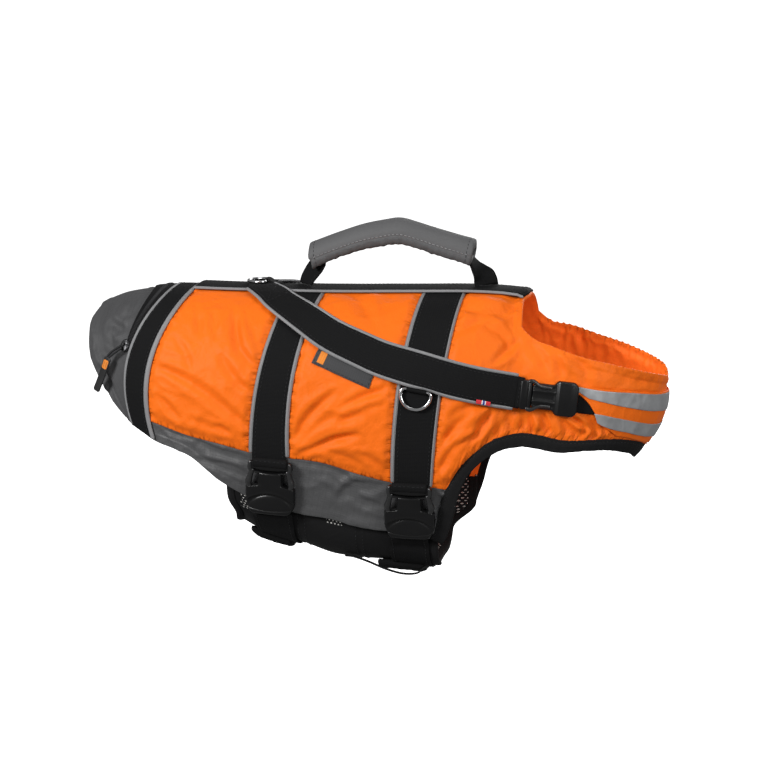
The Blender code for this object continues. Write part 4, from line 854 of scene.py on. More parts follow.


# ---------------------------------------------------------------- creases, placed in the side view
CREASES = {  # piece: (depth mm, half width mm, points x, z); a trough is positive, a ridge negative
    "rear": (
        (1.9, 4.6, ((-139, 76), (-129, 48), (-114, 31))), (1.0, 4.0, ((-177, 78), (-170, 57))),
        (1.7, 5.0, ((-210, 27), (-173, 10), (-142, -10), (-117, -27))), (1.3, 4.2, ((-149, 40), (-133, 19), (-115, 5))),
        (1.0, 3.6, ((-211, -1), (-188, -23))), (0.9, 3.6, ((-159, 74), (-153, 54))), (1.3, 3.4, ((-152, -27), (-137, -35))),
        (-0.9, 6.0, ((-200, 18), (-165, 1), (-136, -16))), (-0.9, 5.0, ((-131, 66), (-120, 44), (-113, 36))),
        (0.8, 3.4, ((-196, 55), (-182, 38), (-176, 22))), (0.8, 4.0, ((-175, -22), (-150, -32))),
    ),
    "mid": (
        (1.7, 4.4, ((-72, -38), (-57, -14), (-34, 8))), (2.1, 4.4, ((-67, -52), (-39, -39), (-10, -32))),
        (1.2, 4.0, ((-24, -4), (-2, 5), (19, 15))), (1.2, 4.4, ((-31, -24), (-5, -8), (15, -1))),
        (1.1, 5.0, ((-39, 98), (-17, 87), (2, 70))), (0.8, 4.0, ((-5, 103), (15, 89))), (1.3, 4.4, ((-10, -50), (6, -59), (21, -75))),
        (-1.2, 5.4, ((-61, -46), (-38, -29), (-12, -22))), (-0.8, 5.0, ((-20, -12), (0, -2), (16, 4))),
        (0.9, 3.6, ((-68, 66), (-52, 72), (-36, 66))), (0.9, 4.0, ((-45, -48), (-20, -56), (2, -66))),
    ),
    "front": (
        (1.4, 4.4, ((76, 88), (112, 80), (142, 87))), (1.4, 4.2, ((74, 62), (103, 72), (130, 61), (139, 51))),
        (1.3, 3.8, ((148, 58), (135, 51), (117, 38))), (1.4, 4.4, ((69, -25), (90, -6), (120, 3))),
        (1.9, 4.4, ((66, -50), (80, -26), (99, -9))), (2.0, 3.6, ((65, -72), (82, -43), (99, -31))),
        (1.2, 4.0, ((157, 57), (164, 42), (171, 28))), (0.9, 3.4, ((178, 50), (182, 36), (184, 24))),
        (2.1, 2.8, ((154, -12), (156, -28))), (2.0, 2.6, ((167, -10), (170, -22), (173, -33))),
        (1.9, 2.8, ((186, -17), (197, -29), (200, -37))), (2.1, 2.6, ((191, -12), (205, -23), (202, -36))),
        (1.9, 2.8, ((210, -13), (216, -28), (209, -38))), (1.7, 3.4, ((140, -1), (135, -15), (138, -28))),
        (1.6, 3.6, ((118, -6), (107, -24), (98, -37))), (1.0, 2.4, ((231, -25), (238, -33))),
        (0.9, 4.4, ((214, 44), (236, 37), (262, 24))), (0.7, 4.0, ((225, 33), (249, 22), (270, 16))),
        (1.1, 3.0, ((240, -33), (256, -26), (273, -26))), (-1.3, 3.6, ((160, -12), (162, -30))),
        (-1.2, 3.4, ((178, -13), (184, -34))), (-1.4, 3.4, ((200, -12), (207, -30))), (-1.2, 4.0, ((73, -58), (88, -36), (106, -24))),
        (-1.0, 5.0, ((92, -16), (116, -4))), (1.3, 2.8, ((148, -14), (145, -29))), (1.2, 2.6, ((221, -20), (225, -33))),
        (1.1, 4.0, ((147, 84), (160, 60), (176, 46))), (-1.0, 4.6, ((168, 50), (190, 38), (206, 30))),
        (1.0, 3.4, ((128, -18), (121, -34))), (0.9, 5.0, ((196, 50), (206, 30), (208, 15))),
    ),
    "tail": (
        (1.9, 4.6, ((-266, 64), (-252, 57), (-240, 63), (-226, 76))), (1.5, 4.0, ((-261, 40), (-248, 48), (-239, 57))),
        (1.9, 4.4, ((-256, 18), (-245, 8), (-239, -6))), (1.0, 3.6, ((-266, 50), (-261, 36))),
        (1.5, 5.0, ((-234, 92), (-242, 77), (-258, 68))), (1.1, 4.4, ((-221, 92), (-230, 77), (-236, 63))),
        (-1.2, 5.0, ((-272, 30), (-262, 14), (-252, 0))), (1.2, 4.0, ((-276, 20), (-262, -2), (-250, -14))),
        (-1.2, 5.0, ((-250, 88), (-254, 74), (-268, 66))),
    ),
    "lower": (
        (1.5, 4.0, ((-211, -30), (-190, -37), (-166, -39))), (1.7, 4.4, ((-178, -40), (-151, -54), (-119, -62))),
        (1.3, 4.0, ((-170, -64), (-141, -71), (-116, -81))), (1.5, 4.4, ((-69, -61), (-39, -65), (-16, -80))),
        (2.1, 5.4, ((-31, -97), (-14, -86), (15, -83))), (1.7, 4.6, ((-38, -76), (-17, -97), (8, -105))),
        (1.0, 2.6, ((68, -86), (79, -90))), (-1.2, 5.0, ((-52, -78), (-30, -86), (-14, -106))), (1.0, 3.0, ((64, -100), (72, -94))),
    ),
}


def crease_height(kind, p, side=1):
    """Sum of soft troughs and ridges at points; the far side has its own shifted set."""
    x, z = p[..., 0], p[..., 2]
    out = np.zeros(x.shape)
    rng = np.random.default_rng(len(kind) * 7 + (0 if side > 0 else 91))
    for depth, width, pts in CREASES[kind]:
        c = through([(a, b, 0.0) for a, b in pts], 22)[:, :2]
        amp = depth
        if side < 0:
            c = c + np.array([rng.uniform(-7, 7), rng.uniform(-5, 5)])
            amp = depth * rng.uniform(0.7, 1.15)
            width = width * rng.uniform(0.85, 1.2)
        best = np.full(x.shape, 1e9)
        u = np.zeros(x.shape)
        sd = np.zeros(x.shape)
        for k in range(len(c) - 1):
            a, b = c[k], c[k + 1]
            d = b - a
            l2 = float(d @ d)
            t = np.clip(((x - a[0]) * d[0] + (z - a[1]) * d[1]) / l2, 0, 1)
            ex, ez = x - (a[0] + d[0] * t), z - (a[1] + d[1] * t)
            q = ex * ex + ez * ez
            m = q < best
            best = np.where(m, q, best)
            u = np.where(m, (k + t) / (len(c) - 1), u)
            sd = np.where(m, np.sign(d[0] * ez - d[1] * ex), sd)
        dist = np.sqrt(best)
        w = 0.82 * width * (0.75 + 0.5 * np.sin(np.pi * u))
        body = np.exp(-(dist / w) ** 1.45)
        lip = np.exp(-((dist - 1.9 * w) / (0.9 * w)) ** 2)
        end = np.sin(np.pi * np.clip(0.04 + 0.92 * u, 0, 1)) ** 0.6
        out -= amp * end * (body - (0.45 + 0.2 * sd) * lip)
    return (1.9 if kind == "lower" else 2.3) * out


def puckers(seed, s, d, reach=14.0, pitch=9.0, amp=0.8):
    """Gathers standing off a seam: s runs along it, d is the distance from it."""
    rng = np.random.default_rng(seed)
    out = np.zeros(s.shape)
    lo, hi = float(s.min()), float(s.max())
    t = lo + rng.uniform(0, pitch)
    while t < hi:
        w = rng.uniform(1.6, 3.4)
        length = reach * rng.uniform(0.45, 1.4)
        a = amp * rng.uniform(0.35, 1.25)
        slant = rng.uniform(-0.45, 0.45)
        ww = w * (1 + 0.55 * d / length)
        rise = ease(d / (0.16 * length)) * (1 - ease(d / length))
        out += a * np.exp(-((s - t - slant * d) / ww) ** 2) * rise
        out -= 0.55 * a * np.exp(-((s - t - slant * d - 1.9 * ww) / ww) ** 2) * rise
        t += pitch * rng.uniform(0.5, 1.7)
    return out


def spaced(knots, pitch, along="c", r=5.0):
    """Column or row list through the knots with about one step for each pitch (mm)."""
    out = [knots[0]]
    for a, b in zip(knots[:-1], knots[1:]):
        probe = np.linspace(a, b, 9)
        pts = shell(probe, [r])[:, 0] if along == "c" else shell([r], probe)[0]
        n = max(1, int(round(np.linalg.norm(np.diff(pts, axis=0), axis=1).sum() / pitch)))
        out += list(np.linspace(a, b, n + 1)[1:])
    return np.array(out)


def arcs_of(P):
    du = np.concatenate([np.zeros((1,) + P.shape[1:2]), np.cumsum(np.linalg.norm(np.diff(P, axis=0), axis=2), axis=0)])
    dv = np.concatenate([np.zeros(P.shape[:1] + (1,)), np.cumsum(np.linalg.norm(np.diff(P, axis=1), axis=2), axis=1)], axis=1)
    return du, dv


def edge_gap(P, which, d):
    a, b = {"i0": (P[0], P[1]), "i1": (P[-1], P[-2]), "j0": (P[:, 0], P[:, 1]), "j1": (P[:, -1], P[:, -2])}[which]
    a += np.nan_to_num(unit(b - a)) * d


SLOW, MID_N, CRUMPLE, FINE_N = waves(11, 55, 110), waves(12, 26, 48), ridged(13, 16, 34), waves(15, 7, 14, 18)
CRUMPLE2 = ridged(19, 30, 60)
STEP = 2.2


def slack(p, side):
    """The left leg edge hangs a little further forward than the right one; p is in right-side numbers."""
    if side > 0:
        return p
    p = np.array(p, float)
    x, z = p[..., 0], p[..., 2]
    p[..., 0] = x + 9.0 * ease((x - 55.0) / 15.0) * ease((-50.0 - z) / 22.0) * (1 - ease((x - 104.0) / 26.0))
    return p


NECK_EDGE_X = float(shell([ARCH], [0])[0, 0, 0])


def neck_pull(p, side):
    """The back edge of the neck opening is drawn back a little, most on the right side."""
    p = np.array(p, float)
    x, y, z = p[..., 0], np.abs(p[..., 1]), p[..., 2]
    d = x - NECK_EDGE_X
    p[..., 0] = x - 6.5 * np.exp(-(d / np.where(d < 0, 20.0, 15.0)) ** 2) * ease((z - 36.0) / 20.0) * (0.25 + (0.75 if side > 0 else 0.0) * ease((y - 6.0) / 20.0))
    return p


def seam_marks(across, along):
    """Third number of st: how near a seam is, positive for one across the form and negative for one along it; the
    orange cloth paints shade on its gathers there.
    """
    a, b = np.clip(across, 0, 1), np.clip(along, 0, 1)
    return np.where(a >= b, a, -b)


def side_noise(p, side):
    """Points moved apart for the left side, so that it has folds of its own."""
    return p if side > 0 else p + np.array([331.0, 57.0, -113.0])


def foam_panel(base, c0, c1, vis0, vis1, kind, seed):
    """Quilted side panel between two bands; vis0 and vis1 are the columns of the bands' edges."""
    cs = spaced([c0, vis0, vis1, c1], STEP, "c", 6.0)
    rs = spaced([0, 2, 5, SEAM_ROW], STEP, "r", 0.5 * (c0 + c1))
    P0 = shell(cs, rs)
    N = shell_normal(P0)
    du, dv = arcs_of(P0)
    ia, ib = np.argmin(np.abs(cs - vis0)), np.argmin(np.abs(cs - vis1))
    da, db = du - du[ia], du[ib] - du
    dseam = dv[:, -1:] - dv
    dspine = dv - SPINE_HALF
    P = P0.copy()
    for g in ("i0", "i1", "j1"):
        edge_gap(P, g, 0.17)
    P[:, 0, 1] = -0.15
    for side, suffix in ((1, "_R"), (-1, "_L")):
        q = side_noise(P0, side)
        inside = ease(da / 9.0) * ease(db / 9.0)
        puff = FOAM * inside * (0.12 + 0.88 * ease((dseam - 0.5) / 13.0))
        puff = np.where(dspine < 0, 2.2 * ease((da + 4) / 8.0) * ease((db + 4) / 8.0), puff)
        near = ease((dspine + 3.0) / 12.0)
        puff = np.where(dspine < 0, puff, 2.2 * inside * (1 - near) + puff * near)
        w = 0.6 * SLOW(q) + 0.55 * MID_N(q) + 1.05 * CRUMPLE2(q) + 0.55 * CRUMPLE(q) - 0.5
        w = w * ease(da / 12.0) * ease(db / 12.0) * ease(dseam / 8.0)
        w += crease_height(kind, P0, side) * ease(da / 7.0) * ease(db / 7.0) * ease(dseam / 6.0)
        w *= ease((dspine + 2.0) / 12.0)
        pk = (puckers(seed + side, dv, np.maximum(da, 0), 13.0, 6.2, 1.5) * (da > 0)
              + puckers(seed + 5 + side, dv, np.maximum(db, 0), 13.0, 6.2, 1.5) * (db > 0)
              + puckers(seed + 9 + side, du, dseam, 12.0, 9.0, 0.9))
        pk *= ease((dspine + 1.0) / 8.0)
        pk += 0.10 * FINE_N(q) * inside
        h = np.minimum(puff + w + pk, 5.6)
        label = (side > 0) * ease((P0[..., 0] + 62) / 4) * ease((12 - P0[..., 0]) / 4) * ease((P0[..., 2] - 7) / 4) * ease((53 - P0[..., 2]) / 4)
        h = h * (1 - label) + np.minimum(h, 4.5) * label
        strap_room = ease((dspine + 4) / 16.0)
        h = np.where(dspine < 14, np.minimum(h, 2.4 + 3.2 * strap_room), h)
        hin = -CLOTH + 0.3 * (w + pk) * inside
        st = np.stack([du * 0.001, dv * 0.001, seam_marks(1 - np.minimum(np.abs(da), np.abs(db)) / 6.5, 1 - dseam / 6.0) * (dspine > 0)], -1)
        ob = slab(base + suffix + "_cloth", P + N * h[..., None], P + N * np.minimum(hin, h - 1.2)[..., None],
                  [ORANGE, LINING], bulge=0.35, st=st, inner_mat=1, mirror=side < 0)
        piece(ob, base + suffix)


def tail():
    cs = spaced([0, 3, 4], 2.0, "c", 6.0)
    rs = spaced([0, 5, HEM_ROW], 2.0, "r", 1.5)
    P0 = shell(cs, rs)
    N = shell_normal(P0)
    du, dv = arcs_of(P0)
    P = P0.copy()
    edge_gap(P, "i1", 0.17)
    H, HI = [], []
    dend = du[-1:] - du
    for side in (1, -1):
        q = side_noise(P0, 1 if side > 0 else -1)
        mid = ease(dv / 22.0)
        qq = P0
        w0 = 1.1 * SLOW(qq * FLIP) * (1 - mid) + (1.5 * SLOW(q) + 1.3 * MID_N(q) + 1.7 * CRUMPLE2(q) + 0.6 * CRUMPLE(q) - 0.8) * mid
        w0 += crease_height("tail", P0, side) * mid
        fade = ease((dend - 24.0) / 16.0)
        pk = puckers(501 + side, dv, np.maximum(dend - 31.0, 0), 20.0, 12.0, 1.3) * (dend > 31) * mid
        pk += puckers(507 + side, dv, du, 12.0, 12.0, 0.9) * mid
        h = (w0 + pk) * fade
        # hem roll at the free rear edge
        hem = 0.9 * (1 - ease((du - 7.5) / 1.6)) + 0.0
        H.append(np.clip(h + hem, -2.4, 5.0))
        HI.append(np.clip(h * 0.9, -2.2, 4.4) - CLOTH)
    outer = np.concatenate([(P + N * H[0][..., None])[:, ::-1], ((P + N * H[1][..., None]) * FLIP)[:, 1:]], axis=1)
    inner = np.concatenate([(P + N * HI[0][..., None])[:, ::-1], ((P + N * HI[1][..., None]) * FLIP)[:, 1:]], axis=1)
    dd = np.concatenate([-dv[:, ::-1], dv[:, 1:]], axis=1)
    uu = np.concatenate([du[:, ::-1], du[:, 1:]], axis=1)
    # the two middle columns share their height
    ob = slab("tail_panel_cloth", outer, inner, [RIPSTOP_TAIL_SHADED, RIPSTOP_IN], bulge=1.1, st=np.stack([uu, dd], -1) * 0.001,
              inner_mat=1)
    piece(ob, "tail_panel")
    return ob


def lower_panels():
    cs = spaced([4, 5, 8, 10, 13, 15, 16, 18], STEP, "c", 11.0)
    rs = spaced([SEAM_ROW, HEM_ROW], STEP, "r", 12.0)
    P0 = shell(cs, rs)
    N = shell_normal(P0)
    du, dv = arcs_of(P0)
    P = P0.copy()
    for g in ("i0", "j0"):
        edge_gap(P, g, 0.17)
    dlow = dv[:, -1:] - dv
    out = []
    for side, suffix in ((1, "_R"), (-1, "_L")):
        q = side_noise(P0, side)
        c = cs[:, None] + 0 * dv
        under = np.zeros_like(dv)
        for a, b in ((3, 5), (8, 10), (13, 15)):
            under = np.maximum(under, ease((c - (a - 0.35)) / 0.35) * (1 - ease((c - b) / 0.35)))
        free = 1 - under
        w = 0.8 * SLOW(q) + 0.8 * MID_N(q) + 1.0 * CRUMPLE2(q) + 0.45 * CRUMPLE(q) - 0.55 + crease_height("lower", P0, side)
        w *= ease(dv / 5.0) * (0.35 + 0.65 * free)
        w += puckers(611 + side, du, dv, 15.0, 9.0, 0.8) * free
        w += 0.8 * (1 - ease((dlow - 8.0) / 1.6)) * free * ease(dv / 3.0)      # hem
        h = np.where(under > 0.6, np.clip(w, -1.2, 0.3), np.clip(w, -1.4, 3.2))
        st = np.stack([du, dv], -1) * 0.001
        ob = slab("lower_panel" + suffix + "_cloth", slack(P + N * h[..., None], side), slack(P + N * (h * 0.85 - 2.2)[..., None], side),
                  [RIPSTOP, LINING], bulge=0.9, st=st, inner_mat=1, mirror=side < 0)
        piece(ob, "lower_panel" + suffix)
        out.append(ob)
    return out


def front_panels():
    """Shoulder and chest panel: the trunk part and the collar part share their rows at the arch."""
    r_open = 4.35
    ca = spaced([14, 15, 19, ARCH], STEP, "c", 7.0)
    cb = spaced([ARCH, ARCH + 1, NOSE], STEP, "c", 6.5)[1:]
    cs = np.concatenate([ca, cb])
    ra = spaced([0, 2, r_open], STEP, "r", 20.0)
    rb = spaced([r_open, 5, 7, SEAM_ROW], STEP * 0.86, "r", 22.5)[1:]
    rows = np.concatenate([ra, rb])
    j0 = len(ra) - 1
    R = np.repeat(rows[None], len(cs), axis=0)
    for i, c in enumerate(cs):
        if c > ARCH:
            top = 5 - (5 - r_open) * max(0.0, 1 - (c - ARCH) / 0.85) ** 2.0
            R[i] = np.where(rows >= r_open, 10 - (10 - rows) * (10 - top) / (10 - r_open), rows)
    P0 = np.zeros((len(cs), len(rows), 3))
    ka = len(ca)
    P0[:ka] = shell(cs[:ka], R[:ka])
    P0[ka:, j0:] = shell(cs[ka:], R[ka:, j0:])
    N = np.zeros_like(P0)
    N[:ka] = shell_normal(P0[:ka])
    N[ka:, j0:] = shell_normal(P0[ka:, j0:])
    N[-1, j0:, 1] = 0
    N[-1, j0:] = unit(N[-1, j0:])
    mask = np.ones((len(cs) - 1, len(rows) - 1), bool)
    mask[ka - 1:, :j0] = False
    du, dv = arcs_of(np.where(np.arange(len(rows))[None, :, None] >= j0, P0, P0))
    dvb = np.zeros_like(dv)
    dvb[:, j0:] = dv[:, j0:] - dv[:, j0:j0 + 1]
    dneck = np.where(np.arange(len(cs))[:, None] >= ka - 1, dvb, 1e3)        # from the neck edge, collar part
    x_edge = du[ka - 1:ka]
    dback = np.where((np.arange(len(cs))[:, None] < ka) & (np.arange(len(rows))[None] <= j0 + 3), x_edge - du, 1e3)
    dneck = np.minimum(dneck, dback)
    dleg = dv[:, -1:] - dv
    ib = np.argmin(np.abs(cs - 15))
    db = du - du[ib]
    dspine = np.where(np.arange(len(cs))[:, None] < ka, dv - SPINE_HALF, 1e3)
    c2 = cs[:, None] + 0 * dv
    P = P0.copy()
    edge_gap(P, "i0", 0.17)
    P[:, -1] += np.nan_to_num(unit(P[:, -2] - P[:, -1])) * 0.17
    P[:ka, 0, 1] = -0.15
    P[-1, j0:, 1] = -0.15
    # under the flap the cloth stays flat
    theta = np.interp(c2, ARCH + np.arange(len(_col)), _col[:, 0])
    z = P0[..., 2]
    t_edge = np.interp((1.2 + smooth(FLAP, theta, 1) - z) / np.maximum(1.2 + smooth(FLAP, theta, 1) - smooth(FLAP, theta, 5), 1),
                       [r[0] for r in FLAP_EDGE], [r[1] for r in FLAP_EDGE])
    covered = ease((theta - t_edge + 3.0) / 3.0) * ease((smooth(FLAP, theta, 1) + 4.0 - z) / 3.0) * ease((z - smooth(FLAP, theta, 5) + 3.0) / 3.0)
    covered = np.where(c2 > ARCH, covered, 0.0)
    # under the shoulder buckle and the webbing too
    for side, suffix in ((1, "_R"), (-1, "_L")):
        q = side_noise(P0, side)
        trunk = np.where(c2 < ARCH, 1 - ease((c2 - 18.5) / 4.2), 0.0)
        puff = FOAM * ease(db / 9.0) * trunk * (0.15 + 0.85 * ease(dleg / 14.0))
        puff = np.where(dspine < 0, np.minimum(puff, 2.2), np.where(dspine < 12, 2.2 * ease(db / 9.0) * trunk
                        + (puff - 2.2 * ease(db / 9.0) * trunk) * ease(dspine / 12.0), puff))
        w = 0.6 * SLOW(q) + 0.65 * MID_N(q) + 1.15 * CRUMPLE2(q) + 0.65 * CRUMPLE(q) - 0.5
        w = (w + crease_height("front", P0, side)) * ease(db / 8.0) * ease(dleg / 4.0) * ease((dspine + 2) / 12.0)
        gather = np.where(c2 > 17.0, 1.0, 0.6)
        pk = puckers(711 + side, du, dleg, 20.0, 6.6, 1.7) * gather
        pk += puckers(715 + side, dv, np.maximum(db, 0), 15.0, 8.5, 0.95) * (db > 0) * ease((dspine + 1) / 8)
        nk = puckers(719 + side, du, dneck, 16.0, 8.0, 0.75) * (dneck < 60) * np.where(c2 > ARCH, 1.0, 0.4)
        # rolled hem of the neck edge
        hem = 0.75 * (1 - ease((dneck - 6.5) / 1.4)) - 0.35 * np.exp(-((dneck - 8.2) / 0.9) ** 2)
        rip = (0.12 if side > 0 else 0.35) * np.sin(du * 2 * math.pi / 3.4 + 2.0 * MID_N(q)) * (1 - ease((dneck - 7.0) / 3.0)) * (c2 > ARCH)
        calm = 1 - 0.85 * covered
        h = puff + (w + pk + nk) * calm * ease(dneck / 5.0) + (hem + rip) * (dneck < 20)
        h = np.where(dspine < 0, np.minimum(h, 2.5), h)
        buckle_zone = ease((c2 - 22.2) / 0.6) * (1 - ease((theta - 28) / 4.0)) * np.exp(-(((z - 6.0) / 19.0) ** 6))
        h = h * (1 - buckle_zone) + np.minimum(h, 0.9) * buckle_zone
        h = h * (1 - covered) + np.clip(h, -1.0, 0.1) * covered
        h = np.clip(h, -2.1, 5.6)
        pleat = 1.5 * puckers(727 + side, du, dneck, 34.0, 9.0, 1.4) * ease((dneck - 7.0) / 5.0) * (dneck < 80)
        pleat += 1.9 * puckers(733 + side, du, np.maximum(dneck - 4.5, 0), 10.0, 4.8, 1.3) * (dneck > 4.5) * (dneck < 30)
        pleat += (0.8 * CRUMPLE2(q * 1.3) + 0.5 * MID_N(q * 1.2)) * ease((dneck - 8.0) / 10.0)
        hin = np.where(c2 > ARCH, h * 0.6 - 2.4 - np.clip(pleat, -0.6, 3.2), -CLOTH + 0.35 * (w + pk) * ease(dneck / 5.0))
        marks = seam_marks(1 - np.abs(db) / 6.5, np.maximum((1 - dleg / 13.0) * (0.6 + 0.4 * (c2 > 17)), np.where(c2 > ARCH, (1 - dneck / 7.0) * (0.25 if side > 0 else 1.0), 0.0)))
        st = np.stack([du * 0.001, dv * 0.001, marks * (dspine > 0) * calm], -1)
        O_, I_ = neck_pull(P + N * h[..., None], side), neck_pull(P + N * np.minimum(hin, h - 1.1)[..., None], side)
        # the left neck edge stands a little higher
        lift = 4.6 * (side < 0) * ease((c2 - ARCH - 0.15) / 2.0) * (1 - ease((c2 - NOSE + 1.3) / 1.3)) * (1 - ease(dneck / 42.0))
        # small uneven scallops where the hem is drawn up
        scal = (0.2 if side > 0 else 0.65) * np.sin(du * 2 * math.pi / 6.4 + 3.0 * MID_N(q)) * (c2 > ARCH + 0.5) * (1 - ease(dneck / 7.0))
        for g_ in (O_, I_):
            g_[..., 2] += np.where(c2 > ARCH, lift + scal, 0.0)
        ob = slab("front_panel" + suffix + "_cloth", slack(O_, side), slack(I_, side),
                  [ORANGE, ORANGE_IN_GLOW], mask=mask, bulge=0.8, st=st, inner_mat=1, mirror=side < 0)
        piece(ob, "front_panel" + suffix)


def flap_base(t):
    """Underside of the flap off the collar: high where the webbing goes under it, close to the cloth in front."""
    return 0.55 + 1.35 * (1 - ease((t - 33.0) / 14.0))


def chest_flap():
    n, m = 126, 34
    grids = {}
    vv = np.linspace(0, 1, m)
    kk = np.concatenate([np.linspace(0, 1, n)])
    T, Z = np.zeros((n, m)), np.zeros((n, m))
    for j, v in enumerate(vv):
        t0 = float(smooth(FLAP_EDGE, v, 1))
        t = t0 + (90.0 - t0) * kk
        top, bottom = smooth(FLAP, t, 1) + 1.2, smooth(FLAP, t, 5)
        T[:, j], Z[:, j] = t, top + (bottom - top) * v
    p = collar_point(T, Z, 0.0)
    nn = unit(collar_point(T, Z, 1.0) - p)
    du, dv = arcs_of(p)
    d_low, d_top, d_rear = dv[:, -1:] - dv, dv, du
    edge = np.minimum(np.minimum(d_low, d_top), d_rear)
    out, inn = [], []
    for side in (1, -1):
        q = side_noise(p, side)
        w = 0.25 * SLOW(q) + 0.3 * MID_N(q) + 0.25 * CRUMPLE(q)
        fade = ease((90.0 - T) / 12.0)
        w = w * fade + (0.25 * SLOW(p)) * (1 - fade)
        hem = 0.35 * (1 - ease((edge - 1.6) / 1.0)) - 0.3 * np.exp(-((edge - 2.8) / 0.6) ** 2)
        pk = puckers(801 + side, du, d_low, 8.0, 8.0, 0.35) * fade
        base = flap_base(T) + np.clip(w, -0.25, 0.35)
        out.append(p + nn * (base + 0.9 + np.clip(hem + pk, -0.3, 0.4))[..., None])
        inn.append(p + nn * base[..., None])
    O = np.concatenate([out[0], (out[1] * FLIP)[-2::-1]])
    I = np.concatenate([inn[0], (inn[1] * FLIP)[-2::-1]])
    st = np.stack([np.concatenate([du, (2 * du[-1:] - du)[-2::-1]]), np.concatenate([dv, dv[-2::-1]])], -1) * 0.001
    ob = slab("chest_flap_cloth", O, I, ORANGE, bulge=0.75, st=st)
    piece(ob, "chest_flap")
    pieces_ = [ob]
    h0 = 1.35
    for name, a, b, t_top, t_low in (("tape_upper", 1, 2, 17.5, 27.0), ("tape_lower", 3, 4, 29.5, 31.5)):
        m2 = 12
        kk2 = np.linspace(0, 1, 112)
        T, Z = np.zeros((len(kk2), m2)), np.zeros((len(kk2), m2))
        for j, v in enumerate(np.linspace(0, 1, m2)):
            t0 = t_top + (t_low - t_top) * v
            t = t0 + (90.0 - t0) * kk2
            za, zb = smooth(FLAP, t, a), smooth(FLAP, t, b)
            T[:, j], Z[:, j] = t, za + (zb - za) * v
        p = collar_point(T, Z, 0.0)
        nn = unit(collar_point(T, Z, 1.0) - p)
        du, dv = arcs_of(p)
        o, i2 = [], []
        for side in (1, -1):
            q = side_noise(p, side)
            fade = ease((90.0 - T) / 10.0)
            w = np.clip(0.25 * MID_N(q) + 0.35 * CRUMPLE(q) + 0.25 * FINE_N(q), -0.25, 0.45) * fade
            # the cloth under it bends across the tape in a few places
            for t_b, k_b in ((52.0, 0.5), (66.0, 0.35), (38.0, 0.35), (79.0, 0.3)):
                w = w + k_b * np.exp(-((T - t_b - 1.5 * side) / 1.8) ** 2) * fade
            hh = flap_base(T) + h0
            o.append(p + nn * (hh + 0.45 + w)[..., None])
            i2.append(p + nn * hh[..., None])
        O = np.concatenate([o[0], (o[1] * FLIP)[-2::-1]])
        I = np.concatenate([i2[0], (i2[1] * FLIP)[-2::-1]])
        st = np.stack([np.concatenate([du, (2 * du[-1:] - du)[-2::-1]]), np.concatenate([dv, dv[-2::-1]])], -1) * 0.001
        ob2 = slab(name + "_strip", O, I, TAPE, bulge=0.3, st=st)
        piece(ob2, name)
        pieces_.append(ob2)
    return pieces_


foam_panel("rear_panel", 4, 9, 5, 8, "rear", 101)
foam_panel("mid_panel", 9, 14, 10, 13, "mid", 201)
front_panels()
TAIL = tail()
LOWER = lower_panels()
FLAP_PIECES = chest_flap()


# ---------------------------------------------------------------- bands, pipings and straps
STITCHES = {"black": [], "grey": [], "orange": [], "dark": []}
BAND_PIPE, STRAP_PIPE, SPINE_PIPE = 2.2, 1.9, 2.1      # what shows of each piping beside its webbing


def mirror_runs(runs):
    return [(np.asarray(p) * FLIP, np.asarray(n) * FLIP) for p, n in runs]


def wrapped(name, node, c0, c1, r_end, h0, t, mat, across=9, crown=0.0, waves_amp=0.12, bulge=0.6):
    """Strip over the back between two columns, from its right end over the spine to its left end."""
    cs = np.linspace(c0, c1, across)
    rs = spaced([0, 2, 5, SEAM_ROW, r_end] if r_end > SEAM_ROW else [0, 2, 5, r_end], 2.2, "r", 0.5 * (c0 + c1))
    P = shell(cs, rs)
    N = shell_normal(P)
    du, dv = arcs_of(P)
    u = np.linspace(-1, 1, across)[:, None]
    dome = crown * (1 - u * u)
    grids = []
    for side in (1, -1):
        q = side_noise(P, side)
        w = waves_amp * (MID_N(q) + 0.6 * SLOW(q)) * ease(dv / 15.0)
        top = h0 + t + dome + w
        low = h0 + np.minimum(w, 0.15)
        grids.append((P + N * top[..., None], P + N * low[..., None]))
    O = np.concatenate([grids[0][0][:, ::-1], (grids[1][0] * FLIP)[:, 1:]], axis=1)
    I = np.concatenate([grids[0][1][:, ::-1], (grids[1][1] * FLIP)[:, 1:]], axis=1)
    st = np.stack([np.concatenate([du[:, ::-1], du[:, 1:]], 1), np.concatenate([-dv[:, ::-1], dv[:, 1:]], 1)], -1) * 0.001
    ob = slab(name, O, I, mat, bulge=bulge, st=st)
    piece(ob, node)
    # the outer grid goes back to the caller, which may sew two lines of thread just inside the long edges
    return ob, O


def banded(name, aft, width, end_black, end_pipe, thread=True):
    k = 2.0 / width
    g, w = GAP * k, BAND_PIPE * k
    wrapped(name + "_piping_aft_strip", name + "_piping_aft", aft, aft + w, end_pipe, LIFT, PIPE_T - 0.7, PIPING, 7, 0.7,
            0.10, 0.9)
    ob, O = wrapped(name + "_web", name, aft + w + g, aft + 2 - w - g, end_black, LIFT, WEB_T - 0.1, WEB, 15, 0.12, 0.14, 0.6)
    wrapped(name + "_piping_fore_strip", name + "_piping_fore", aft + 2 - w, aft + 2, end_pipe, LIFT, PIPE_T - 0.7, PIPING,
            7, 0.7, 0.10, 0.9)
    if thread:
        n = shell_normal(O)
        for j in (1, -2):
            STITCHES["dark"].append((O[j], n[j]))


banded("rear_band", 3, 27.0, 11.73, 11.73)
banded("girth_band_rear", 8, 41.0, 10.33, 9.92)
banded("girth_band_front", 13, 41.0, 10.2, 9.92)


